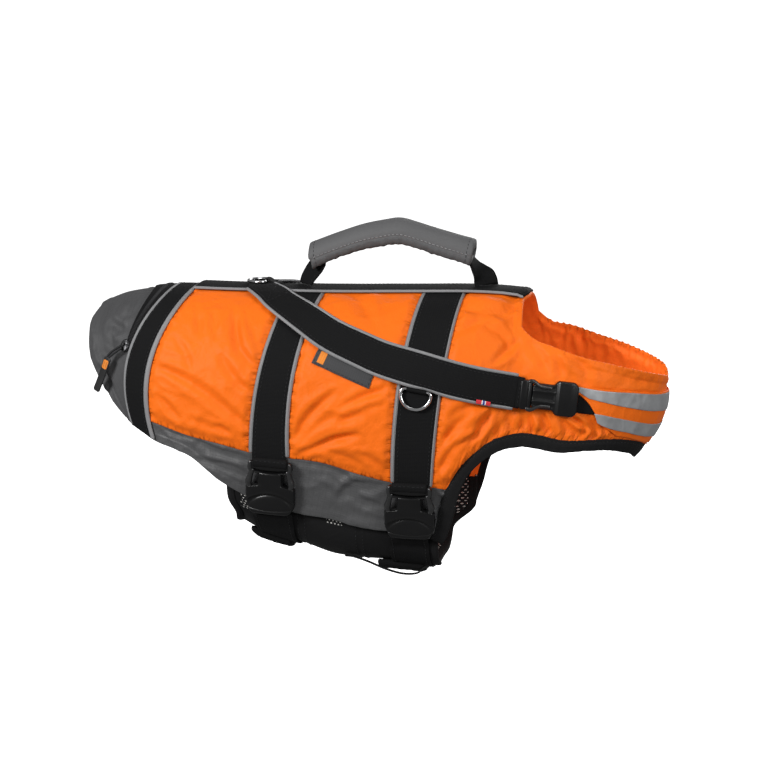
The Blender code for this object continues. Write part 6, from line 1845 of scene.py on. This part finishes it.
# ---------------------------------------------------------------- zip
def zip_parts():
    rows = spaced([0, 5, 6.3], 2.0, "r", 2.8)
    shares = np.linspace(0, 1, 9)
    wd = 0.82 * (1 - rows / 6.3) + 0.30 * (rows / 6.3)
    P = np.array([[shell([2.965 - w * (1 - s)], [r])[0, 0] for s in shares] for r, w in zip(rows, wd)])
    N = shell_normal(P)
    du, dv = arcs_of(P)
    u = np.linspace(-1, 1, 9)[None]
    top = LIFT + 1.25 + 0.15 * MID_N(P) + 0.0 * u
    O, I = P + N * top[..., None], P + N * LIFT
    O = np.concatenate([O[::-1], (O * FLIP)[1:]])
    I = np.concatenate([I[::-1], (I * FLIP)[1:]])
    st = np.stack([np.concatenate([dv[::-1], dv[1:]]), np.concatenate([-du[::-1], du[1:]])], -1) * 0.001
    piece(slab("zip_tape_web", O, I, WEB, bulge=0.4, st=st), "zip_tape")
    # coil: one tooth for each turn, over the back from side to side
    mid = O[:, 4]
    nn = shell_normal(mid)
    s = np.concatenate([[0], np.cumsum(np.linalg.norm(np.diff(mid, axis=0), axis=1))])
    V, F = [], []
    n_t = int(s[-1] / 1.45)
    for k in range(n_t):
        m = (k + 0.5) * s[-1] / n_t
        p = np.array([np.interp(m, s, mid[:, q]) for q in range(3)])
        n = unit(np.array([np.interp(m, s, nn[:, q]) for q in range(3)]))
        t = unit(np.array([np.interp(m + 0.5, s, mid[:, q]) - np.interp(m - 0.5, s, mid[:, q]) for q in range(3)]))
        w = np.cross(n, t)
        b = len(V)
        for x, y, z in ((-2.3, -0.4, 0), (2.3, -0.4, 0), (2.3, 0.4, 0), (-2.3, 0.4, 0),
                        (-2.0, -0.3, 0.55), (2.0, -0.3, 0.55), (2.0, 0.3, 0.55), (-2.0, 0.3, 0.55),
                        (-1.0, -0.22, 0.95), (1.0, -0.22, 0.95), (1.0, 0.22, 0.95), (-1.0, 0.22, 0.95)):
            V.append(p + w * x + t * y + n * (z - 0.1))
        for l in (0, 4):
            for q in range(4):
                F.append((b + l + q, b + l + (q + 1) % 4, b + l + 4 + (q + 1) % 4, b + l + 4 + q))
        F.append((b + 8, b + 9, b + 10, b + 11))
        F.append((b + 3, b + 2, b + 1, b))
    ob = fix_normals(new_object("zip_coil", np.array(V), np.array(F), THREAD_BLACK))
    piece(ob)
    # slider
    p, n, d, w = frame_at(-247.5, 43.5, (-251.0, 30.0))
    fr = (p, d, w, n)
    moulded("zip_slider_body", fr, 1.0, -6.0, 5.5, lambda u: 2.7 + 1.9 * ease((u + 6.0) / 5.0) - 1.0 * ease((u - 2.0) / 3.5),
            lambda u, v: 5.0 + 0.35 * ease((u + 5) / 2) - 0.6 * (v / 4.6) ** 2 - 0.5 * np.exp(-((u + 0.5) / 0.7) ** 2), 2.75, 40, 26, 0.9,
            mats=DARK_METAL, node="zip_slider", corner=1.6)
    pill("zip_slider_bridge", fr, [(-3.2, 0, 5.0), (-2.2, 0, 6.3), (-0.2, 0, 6.6), (1.6, 0, 6.3), (2.4, 0, 5.1)], 0.62, DARK_METAL,
         n=26, sides=10)
    # pull: a doubled cord and a moulded tab
    pts = np.array([on_form(x, z) + normal(on_form(x, z)[None])[0] * h for x, z, h, _ in PULL])
    pts[:, 1] = np.minimum(pts[:, 1], -66.5)
    q = through(pts, 60)
    cut = int(np.argmin(np.linalg.norm(q - pts[4], axis=1)))
    t = unit(np.gradient(q, axis=0))
    side = unit(np.cross(t, n))
    up = np.cross(side, t)
    ang = np.linspace(0, 2 * math.pi, 10, endpoint=False)
    for s_, tag in ((1, "a"), (-1, "b")):
        c = q[:cut + 3] + side[:cut + 3] * s_ * (1.1 + 0.4 * np.sin(np.linspace(0, math.pi, cut + 3)))[:, None]
        rr = 1.15
        rg = c[:, None] + side[:cut + 3, None] * (np.cos(ang) * rr)[None, :, None] + up[:cut + 3, None] * (np.sin(ang) * rr)[None, :, None]
        ob = tube("zip_pull_cord_" + tag, rg, THREAD_BLACK)
        piece(ob, "zip_pull" if s_ > 0 else (), body="zip_pull")

    def tab(name, i0, i1, hw, ht, mat, crown=0.25):
        c = q[i0:i1]
        m_ = len(c)
        g = np.linspace(0, 1, m_)
        ln = np.linalg.norm(np.diff(c, axis=0), axis=1).sum()
        tip = np.minimum(g, 1 - g) * ln
        wx = hw - np.where(tip < 1.4, 1.4 - np.sqrt(np.maximum(1.4**2 - (1.4 - tip) ** 2, 0)), 0)
        xs = np.linspace(-1, 1, 13)
        edge = np.minimum((wx[:, None] * (1 - np.abs(xs)[None])), tip[:, None])
        dome = crown * ease(edge / 1.1) - 0.18 * np.exp(-((edge - 1.5) / 0.35) ** 2)
        O_ = c[:, None] + side[i0:i1, None] * (wx[:, None] * xs[None])[..., None] + up[i0:i1, None] * (ht + dome)[..., None]
        I_ = c[:, None] + side[i0:i1, None] * (wx[:, None] * xs[None])[..., None] - up[i0:i1, None] * (ht + dome)[..., None]
        st_ = np.stack([wx[:, None] * xs[None], np.repeat((g * ln)[:, None], 13, 1)], -1) * 0.001
        ob_ = slab(name, O_, I_, mat, bulge=0.5, st=st_)
        fix_normals(ob_)
        piece(ob_, body="zip_pull")

    k0 = cut
    k1 = cut + int(0.30 * (60 - cut))
    tab("zip_pull_tab", k0, 60, 3.7, 0.75, TAB_BLACK)
    tab("zip_pull_block", k0 + 3, k1 + 2, 3.0, 0.98, LABEL_END, 0.12)


zip_parts()


# ---------------------------------------------------------------- belly panel and what hangs from it
def hem_z(x):
    return np.interp(x, [l[3] for l in LINES[3:16]], [l[4] for l in LINES[3:16]])


def belly_line(x, n_side=12, n_round=48):
    tuck, under = float(smooth(BELLY, x, 1)), float(smooth(BELLY, x, 2))
    z_h = min(float(hem_z(x)), tuck - 10.0) - 2.0
    k = np.arange(n_side) / n_side
    z = tuck + (z_h - tuck) * k
    side = np.stack([np.full(n_side, float(x)), -form_width(np.full(n_side, float(x)), z) + INSET, z], -1)
    ys = float(form_width(x, z_h)) - INSET
    a = 0.5 * math.pi * np.linspace(0, 1, n_round + 1)
    low = np.stack([np.full(n_round + 1, float(x)), -ys * np.maximum(np.cos(a), 0.0) ** 0.72,
                    z_h - (z_h - under) * np.sin(a) ** 0.92], -1)
    low[-1] = (x, 0.0, under)
    p = np.vstack([side, low])
    for _ in range(3):      # rounds the corner where the side turns under
        p[1:-1, 1:] = 0.25 * p[:-2, 1:] + 0.5 * p[1:-1, 1:] + 0.25 * p[2:, 1:]
    s = np.concatenate([[0], np.cumsum(np.linalg.norm(np.diff(p, axis=0), axis=1))])
    return resample(p, np.linspace(0, s[-1], n_side + n_round + 1))


def section_normals(p):
    t = np.gradient(p, axis=0)
    n = np.stack([np.zeros(len(p)), t[:, 2], -t[:, 1]], -1)
    n = unit(n)
    n[-1] = (0, 0, -1)
    return n


def belly_grid(xs):
    P = np.array([belly_line(x) for x in xs])
    N = np.array([section_normals(p) for p in P])
    for _ in range(2):
        N[:, 1:-1] = unit(0.25 * N[:, :-2] + 0.5 * N[:, 1:-1] + 0.25 * N[:, 2:])
    return P, N


def whole(right, left=None):
    left = right if left is None else left
    return np.concatenate([right, (left * FLIP)[:, -2::-1]], axis=1)


def belly_skew(p, side, fore=21.0):
    """Rear edge slopes forward going down; the left front edge leans: forward at the hem, back at the bottom."""
    p = np.array(p, float)
    x, y, z = p[..., 0], p[..., 1], p[..., 2]
    p[..., 0] = x + (6.5 * np.exp(-((z + 120.0) / 12.0) ** 2) - 1.5) * ease((-112.0 - x) / 24.0)
    p[..., 0] -= 4.0 * ease((x - 36.0) / 19.0) * (1 - ease((-y - 8.0) / 34.0)) * ease((-140.0 - z) / 20.0)
    if side < 0:
        low = ease((-132.0 - z) / 26.0)
        out = ease((-y - 4.0) / 36.0)
        p[..., 0] += (fore * ease((x - 36.0) / 19.0) * (1 - low) - 1.7 * ease((x + 15.0) / 60.0) * low) * out
    return p


def belly():
    xs = np.linspace(BELLY[0][0], BELLY[-1][0], 88)
    P, N = belly_grid(xs)
    du, dv = arcs_of(P)
    X = P[..., 0]
    O, I = [], []
    for side in (1, -1):
        q = side_noise(P, side)
        end = np.minimum(X - xs[0], xs[-1] - X)
        calm = ease((dv[:, -1:] - dv) / 20.0)
        w = (0.45 * SLOW(q) + 0.4 * MID_N(q) + 0.45 * CRUMPLE2(q) - 0.2) * calm + 0.4 * SLOW(P) * (1 - calm)
        w *= 0.3 + 0.7 * ease(end / 10.0)
        for sx in (-71.5, -14.5):      # vertical seams
            e = X - sx - 0.6 * np.sin(dv * 0.06)
            w = w - 0.75 * np.exp(-(e / 0.9) ** 2) + 0.3 * np.exp(-((np.abs(e) - 3.4) / 2.0) ** 2)
        lo = puckers(901 + side, dv, end, 10.0, 12.0, 0.4)
        h = np.clip(w + lo * calm, -0.9, 0.75)
        o_, i_ = P + N * h[..., None], P + N * (h * 0.8 - 2.7)[..., None]
        O.append(belly_skew(o_, side))
        I.append(belly_skew(i_, side))
    Og, Ig = whole(O[0], O[1]), whole(I[0], I[1])
    st = np.stack([whole_s(du), whole_s(dv, True)], -1) * 0.001
    ob = slab("belly_panel_cloth", Og, Ig, [NEOPRENE, LINING], bulge=0.8, st=st, inner_mat=1)
    # the net facing shows on the upper edge in two places
    me = ob.data
    nj = Og.shape[1] - 1
    zc = 0.25 * (Og[:-1, :-1] + Og[1:, :-1] + Og[:-1, 1:] + Og[1:, 1:])
    near = zc[..., 2] > hem_z(zc[..., 0]) - np.where(zc[..., 0] < -112.0, 17.0, 7.5)
    rear = (zc[..., 0] < -105.0) & (zc[..., 0] > -131.0)
    mid = (zc[..., 0] < -30.0) & (zc[..., 0] > -47.0)
    sel = (near & (rear | mid)).ravel()
    idx = np.zeros(len(me.polygons), np.int32)
    me.polygons.foreach_get("material_index", idx)
    idx[:len(sel)][sel] = 1
    me.polygons.foreach_set("material_index", idx)
    piece(ob, "belly_panel")
    for sx in (-71.5, -14.5):
        for off in (-2.6, 2.6):
            i = int(np.argmin(np.abs(xs - sx - off)))
            STITCHES["dark"].append((Og[i, 4:-4], whole(N, N)[i, 4:-4]))
    # bindings of its two ends
    for name, xe, a, b in (("belly_binding_front", BELLY[-1][0], 0.2, 7.0), ("belly_binding_rear", BELLY[0][0], -6.0, -0.3)):
        p = belly_line(xe)
        n = section_normals(p)
        for _ in range(3):
            n[1:-1] = unit(0.25 * n[:-2] + 0.5 * n[1:-1] + 0.25 * n[2:])
        s = np.concatenate([[0], np.cumsum(np.linalg.norm(np.diff(p, axis=0), axis=1))])
        m = 11
        fo, fi = [], []
        for k, v in enumerate(np.linspace(0, 1, m)):
            g = p.copy()
            w = 0.35 * MID_N(p + v * 4.0)
            g[:, 0] = xe + a + (b - a) * v
            crown = 0.45 * math.sin(math.pi * v) - 0.3 * math.exp(-(((v if a > 0 else 1 - v) - 0.18) / 0.08) ** 2)
            fo.append(g + n * (0.9 + crown + w)[:, None])
            fi.append(g + n * (-3.2 + 0.5 * w)[:, None])
        fo, fi = np.array(fo), np.array(fi)
        fo, fi = whole(belly_skew(fo, 1), belly_skew(fo, -1)), whole(belly_skew(fi, 1), belly_skew(fi, -1))
        ss = np.concatenate([s, (2 * s[-1] - s)[-2::-1]])
        st = np.stack([np.repeat(np.linspace(a, b, m)[:, None], fo.shape[1], 1), np.repeat(ss[None], m, 0)], -1) * 0.001
        ob2 = slab(name + "_fold", fo, fi, BINDING, bulge=1.3, st=st)
        piece(ob2, name)
    return ob, Og, st


def whole_s(a, turn=False):
    return np.concatenate([a, ((2 * a[:, -1:] - a) if turn else a)[:, -2::-1]], axis=1)


BELLY_OB, BELLY_G, BELLY_ST = belly()


def belly_at(x, y, h, half=2.5):
    p = belly_line(x)
    q = p + section_normals(p) * h
    return (x, y, min(float(np.interp(y + d, q[:, 1], q[:, 2])) for d in (-half, 0.0, half)))


def belly_straps():
    for name, xm, z_top in (("rear", -98.5, -116.5), ("front", 35.3, -136.0)):
        xs = np.linspace(xm - GIRTH_W / 2, xm + GIRTH_W / 2, 13)
        O, I = [], []
        for x in xs:
            p = belly_line(x)
            n = section_normals(p)
            q = p + n * 1.2
            low = q[np.argmax(q[:, 2] < min(z_top, {"rear": -123.5, "front": -138.6}[name]) - 6.0):]
            out = float(form_width(xm, z_top)) + 3.6
            path = through(np.vstack([[(x, -out, z_top)], [(x, 0.55 * -out + 0.45 * low[0, 1], 0.5 * (z_top + low[0, 2]))], low[::4], low[-1:]]), 70)
            path[-1] = (x, 0.0, path[-1, 2])
            t = unit(np.gradient(path, axis=0))
            nn = unit(np.stack([np.zeros(70), t[:, 2], -t[:, 1]], -1))
            nn[-1] = (0, 0, -1)
            w = 0.15 * MID_N(path) + 0.12 * (1 - ((x - xm) / 19.0) ** 2)
            O.append(path + nn * (WEB_T - 0.1 + w)[:, None])
            I.append(path)
        O, I = np.array(O), np.array(I)
        du, dv = arcs_of(O)
        st = np.stack([whole_s(du), whole_s(dv, True)], -1) * 0.001
        Og, Ig = whole(O, belly_skew(O, -1, 0.0)), whole(I, belly_skew(I, -1, 0.0))
        ob = slab("belly_strap_" + name + "_web", Og, Ig, WEB, bulge=0.7, st=st)
        piece(ob, "belly_strap_" + name)
        nn = np.gradient(Og, axis=1)
        nrm = unit(np.stack([np.zeros(Og.shape[:2]), nn[..., 2], -nn[..., 1]], -1))
        for j in (1, -2):
            STITCHES["dark"].append((Og[j], nrm[j]))
    # folded ends, tucked under an elastic keeper: two layers, their edges rolled
    for name, x0, x1 in (("rear", -126.0, -88.0), ("front", 2.0, 46.0)):
        xs = np.linspace(x0, x1, 40)
        y = np.linspace(-49.0, -22.0, 22)
        O, I = [], []
        for x in xs:
            p = belly_line(x)
            n = section_normals(p)
            v = np.linspace(-1, 1, 22)
            u = 2 * (x - x0) / (x1 - x0) - 1
            roll = 0.35 * np.sin(x * 0.35) + 0.25 * np.sin(x * 0.9 + 1)
            top = 9.8 - 1.6 * np.abs(v) ** 3 + 0.5 * roll - 1.4 * abs(u) ** 6
            qo, qi = p + n * 1.0, p + n * 1.2
            z_in = np.interp(y, qi[:, 1], qi[:, 2])
            z_b = np.interp(y, qo[:, 1], qo[:, 2])
            zo = z_b - (top - 1.0)
            O.append(np.stack([np.full(22, x), y + 0 * v, zo], -1))
            I.append(np.stack([np.full(22, x), y, z_in], -1))
        O, I = np.array(O), np.array(I)
        st = np.stack([np.repeat((xs - x0)[:, None], 22, 1), np.repeat((y + 49)[None], 40, 0)], -1) * 0.001
        ob = slab("strap_tail_" + name + "_fold", O, I, WEB_X, bulge=1.7, st=st, steps=7)
        piece(ob, "strap_tail_" + name)
        # thread box on the folded end
        for a_, b_ in (((3, 3), (36, 3)), ((3, 18), (36, 18)), ((3, 3), (3, 18)), ((36, 3), (36, 18))):
            i_ = np.linspace(a_[0], b_[0], 16).round().astype(int)
            j_ = np.linspace(a_[1], b_[1], 16).round().astype(int)
            STITCHES["dark"].append((O[i_, j_], np.repeat(np.array([[0.0, 0.0, -1.0]]), 16, 0)))
    path = through([belly_at(-31.0, -56.0, 1.3), belly_at(-22.0, -56.0, 1.3), (-8.0, -56.0, -168.0),
                    (10.0, -56.0, -175.0), (27.0, -56.0, -179.0), (41.0, -56.0, -178.0),
                    belly_at(48.5, -56.0, 5.6), belly_at(52.5, -56.0, 4.6)], 90)
    t = unit(np.gradient(path, axis=0))
    y = np.array([0.0, 1.0, 0.0])
    up = unit(np.cross(t, y))
    prof = profile(5.0, 1.4, 0.1, 6, 5)
    prof[:, 1] -= 0.7
    ob = sweep_on("elastic_loop_band", path, np.repeat(y[None], 90, 0), up, prof, BINDING)
    piece(ob, "elastic_loop")


belly_straps()


# ---------------------------------------------------------------- grab handle
HANDLE_SEEN = (  # x, z, turn_deg
    (-80.0, 100.6, 36.0), (-78.0, 106.0, 38.0), (-73.5, 113.0, 42.0), (-69.0, 119.0, 44.0), (-65.0, 124.6, 38.0),
    (-61.5, 130.4, 16.0), (-56.5, 134.9, 0.0), (-49.0, 138.6, 0.0), (-23.0, 147.5, 0.0), (0.0, 152.5, 0.0),
    (15.0, 154.4, 0.0), (33.0, 150.5, 0.0), (53.0, 144.6, 0.0), (77.0, 137.4, 0.0), (84.0, 131.0, 0.0),
    (90.5, 122.0, 14.0), (95.5, 116.0, 32.0), (98.8, 111.5, 56.0), (100.8, 106.8, 60.0), (101.8, 102.9, 59.0),
)


def handle():
    n = 98
    ridge = through([(x, 0.0, z) for x, z in RIDGE], n)
    half = [(0.0, 0.3), (-4.5, -0.6), (-9.4, -2.7), (-13.4, -6.0), (-15.9, -10.0), (-16.9, -14.0), (-17.2, -17.0),
            (-17.0, -18.6), (-16.6, -21.6), (-14.6, -24.2), (-10.0, -24.6), (-5.0, -24.2)]
    full = half + [(0.0, -24.0)] + [(-y, z) for y, z in half[:0:-1]]
    m = 84
    sec = closed_curve([(y, z, 0.0) for y, z in full], m)[:, :2]
    bore = closed_curve([(0.0, -9.9, 0), (-8.0, -9.9, 0), (-13.2, -10.6, 0), (-13.8, -13.6, 0), (-13.2, -16.6, 0),
                         (-8.0, -17.3, 0), (0.0, -17.3, 0), (8.0, -17.3, 0), (13.2, -16.6, 0), (13.8, -13.6, 0),
                         (13.2, -10.6, 0), (8.0, -9.9, 0)], m)[:, :2]
    s = np.concatenate([[0], np.cumsum(np.linalg.norm(np.diff(ridge, axis=0), axis=1))])
    y0, z0 = sec[:, 0], sec[:, 1]
    nsec = unit(np.stack([np.roll(z0, -1) - np.roll(z0, 1), -(np.roll(y0, -1) - np.roll(y0, 1))], -1))
    if (nsec[:, 0] * y0).sum() < 0:
        nsec = -nsec
    outer, inner, st = [], [], []
    lip = ease((-z0 - 16.9) / 1.2) * ease((np.abs(y0) - 6.0) / 5.0)
    crease = np.exp(-((z0 + 16.5) / 0.8) ** 2) * (np.abs(y0) > 9)
    for k, p in enumerate(ridge):
        u = k / (n - 1)
        lean = SLEEVE_LEAN[0] * max(0.0, 1 - 3 * u) + SLEEVE_LEAN[1] * max(0.0, 3 * u - 2)
        pos = np.stack([np.full(m, p[0]), y0, p[2] + z0], -1)
        end = min(s[k], s[-1] - s[k])
        w = 0.35 * SLOW(pos) + 0.30 * MID_N(pos) + 0.30 * CRUMPLE(pos) * (0.3 + 0.7 * lip)
        puck = (0.26 * np.sin(s[k] * 2 * math.pi / 7.1 + 3.4 * float(MID_N(ridge[k:k + 1])[0])) + 0.75 * FINE_N(pos)) * lip
        ends = -0.45 * (1 - ease(end / 2.0))
        d = w + puck - 0.75 * crease + 0.25 * lip + ends
        d = np.where((z0 < -23.0) & (np.abs(y0) < 9), np.minimum(d, 0.2), d)
        yy, zz = y0 + nsec[:, 0] * d, z0 + nsec[:, 1] * d
        near = max(0.0, 1 - (s[k]) / 26.0)
        notch = 2.5 * ease((-zz - 14.0) / 4.0) * near
        outer.append(np.stack([p[0] - zz * lean + notch, yy, p[2] + zz], -1))
        bz = bore[:, 1]
        notch_b = 2.5 * ease((-bz - 13.0) / 3.0) * near
        inner.append(np.stack([p[0] - bz * lean + notch_b, bore[:, 0], p[2] + bz], -1))
        st.append(np.stack([np.full(m, s[k]), np.linspace(0, 92, m), np.zeros(m)], -1) * 0.001)

    def cap(o, i, out):
        return [o * (1 - v) + i * v + out * math.sin(math.pi * v) * 0.8 for v in (0.2, 0.5, 0.8)]

    e1 = unit(ridge[-1] - ridge[-2])
    e0 = unit(ridge[0] - ridge[1])
    rings_ = outer + cap(outer[-1], inner[-1], e1) + inner[::-1] + cap(inner[0], outer[0], e0)
    sts = st + [st[-1]] * 3 + st[::-1] + [st[0]] * 3
    ob = tube("handle_sleeve_pad", rings_, [SLEEVE, SLEEVE_UNDER_SHADED], close=True, st=np.array(sts))
    me = ob.data
    idx = np.zeros(len(me.polygons), np.int32)
    # the faces under the lip take the darker copy of the grey: painted shade
    low = np.zeros(len(rings_) * m, bool)
    low_sec = (z0 < -17.1)
    for k in range(len(rings_)):
        low[k * m:(k + 1) * m] = low_sec if k < n else True
    for f in me.polygons:
        if sum(low[v] for v in f.vertices) >= 3:
            idx[f.index] = 1
    me.polygons.foreach_set("material_index", idx)
    piece(ob, "handle_sleeve")
    for sgn in (-1, 1):
        a = np.argmin(np.abs(z0 + 15.2) + (np.sign(y0) != sgn) * 50)
        line = np.array([o[a] for o in outer[2:-2]])
        nv = np.repeat(np.array([[0.0, sgn * 1.0, 0.1]]), len(line), 0)
        STITCHES["grey"].append((line, unit(nv)))
    # seam and thread round both ends
    for o in (outer[3], outer[-4]):
        cen = o.mean(0)
        STITCHES["dark"].append((o, unit((o - cen) * np.array([0, 1, 1]))))
    path = through([(x, 0.0, z) for x, z, _ in HANDLE_SEEN], 150)
    turn = np.radians(np.interp(np.linspace(0, 1, 150), np.concatenate([[0], np.cumsum(np.hypot(np.diff([r[0] for r in HANDLE_SEEN]),
                      np.diff([r[1] for r in HANDLE_SEEN])))]) / np.hypot(np.diff([r[0] for r in HANDLE_SEEN]), np.diff([r[1] for r in HANDLE_SEEN])).sum(),
                      [r[2] for r in HANDLE_SEEN]))
    t = np.gradient(path, axis=0)
    t[0], t[-1] = (0.0, 0.0, 1.0), (0.0, 0.0, -1.0)
    t = unit(t)
    y = np.array([0.0, 1.0, 0.0])
    up = np.cross(t, y)
    w = y[None] * np.cos(turn)[:, None] + up * np.sin(turn)[:, None]
    sv = np.cross(t, w)
    prof = profile(HANDLE_W, HANDLE_T - 0.2, 0.1, 12, 5)
    prof[:, 1] -= (HANDLE_T - 0.2) / 2
    ob = sweep_on("handle_webbing_strap", path, w, sv, prof, WEB)
    piece(ob, "handle_webbing")
    # sewn-down feet: two lines of thread along each face of the webbing just above the back
    for i0, i1 in ((3, 12), (-13, -4)):
        for o_ in (-10.0, 10.0):
            c = path[i0:i1] + w[i0:i1] * o_ + sv[i0:i1] * (HANDLE_T / 2 - 0.1)
            STITCHES["dark"].append((c, sv[i0:i1]))
            c = path[i0:i1] + w[i0:i1] * o_ - sv[i0:i1] * (HANDLE_T / 2 - 0.1)
            STITCHES["dark"].append((c, -sv[i0:i1]))


handle()


# ---------------------------------------------------------------- thread, and what each sheet was cut to
for key_, mat_ in (("black", THREAD_BLACK), ("grey", THREAD_GREY), ("orange", THREAD_ORANGE), ("dark", THREAD_BLACK)):
    if STITCHES[key_]:
        piece(stitch_mesh("thread_" + key_, STITCHES[key_], mat_))


def cut(ob, flat, held, rests_on):
    """Does nothing with a sheet's cut; its outline isn't a rectangle, so its area comes from its pattern."""


cut(TAIL, (0.340, 0.110), "stretched", ["rear_band", "zip_tape"])
for ob_, node_ in zip(LOWER, ("_R", "_L")):
    cut(ob_, (0.320, 0.062), "hung", ["rear_panel" + node_, "mid_panel" + node_])
cut(FLAP_PIECES[0], (0.240, 0.058), "stretched", ["front_panel_R", "front_panel_L"])
cut(BELLY_OB, (0.200, 0.268), "hung", ["lower_panel_R", "lower_panel_L"])


# ---------------------------------------------------------------- floor and light
def stage():
    me = bpy.data.meshes.new("floor")
    s, z = 120.0, -0.46
    me.from_pydata([(-s, -s, z), (s, -s, z), (s, s, z), (-s, s, z)], [], [(0, 1, 2, 3)])
    n = Nodes("floor")
    n.link(n.ramp(n.noise(n.obj(), 3.0, 1.0), ((0.0, (0.90, 0.90, 0.90)), (1.0, (0.93, 0.93, 0.93)))), n.b.inputs["Base Color"])
    n.b.inputs["Roughness"].default_value = 0.9
    n.b.inputs["Specular IOR Level"].default_value = 0.0
    n.b.inputs["Emission Color"].default_value = (1, 1, 1, 1)
    n.b.inputs["Emission Strength"].default_value = 0.95
    # seen from below, the floor is clear
    clear, both, geo = n.new("ShaderNodeBsdfTransparent"), n.new("ShaderNodeMixShader"), n.new("ShaderNodeNewGeometry")
    n.link(geo.outputs["Backfacing"], both.inputs[0])
    n.link(n.b.outputs[0], both.inputs[1])
    n.link(clear.outputs[0], both.inputs[2])
    n.link(both.outputs[0], n.t.nodes["Material Output"].inputs["Surface"])
    me.materials.append(n.m)
    ob = bpy.data.objects.new("floor", me)
    scene.collection.objects.link(ob)
    ob.visible_diffuse = False      # the white floor doesn't light the garment from below
    ob.visible_glossy = False
    w = bpy.data.worlds.new("world")
    scene.world = w
    w.use_nodes = True
    bg = w.node_tree.nodes["Background"]
    bg.inputs["Color"].default_value = (1.0, 1.0, 1.0, 1.0)
    bg.inputs["Strength"].default_value = 0.25

    def area(name, place, size, power, aim=(0.0, 0.0, -0.08)):
        l = bpy.data.lights.new(name, "AREA")
        l.shape, l.size, l.size_y, l.energy = "RECTANGLE", size[0], size[1], power
        o = bpy.data.objects.new(name, l)
        o.location = place
        from mathutils import Vector
        o.rotation_euler = (Vector(aim) - Vector(place)).to_track_quat("-Z", "Y").to_euler()
        scene.collection.objects.link(o)

    area("key", (-1.6, -2.0, 1.05), (0.8, 0.8), 64.0)
    area("fill", (1.8, -1.9, 0.9), (1.3, 1.0), 27.0)
    area("top", (0.8, -0.5, 2.2), (1.4, 1.0), 11.0)
    area("back", (0.6, 2.2, 0.8), (1.8, 1.2), 22.0)
    scene.view_settings.view_transform = "Standard"
    scene.view_settings.look = "None"
    scene.view_settings.exposure = 0.0


stage()
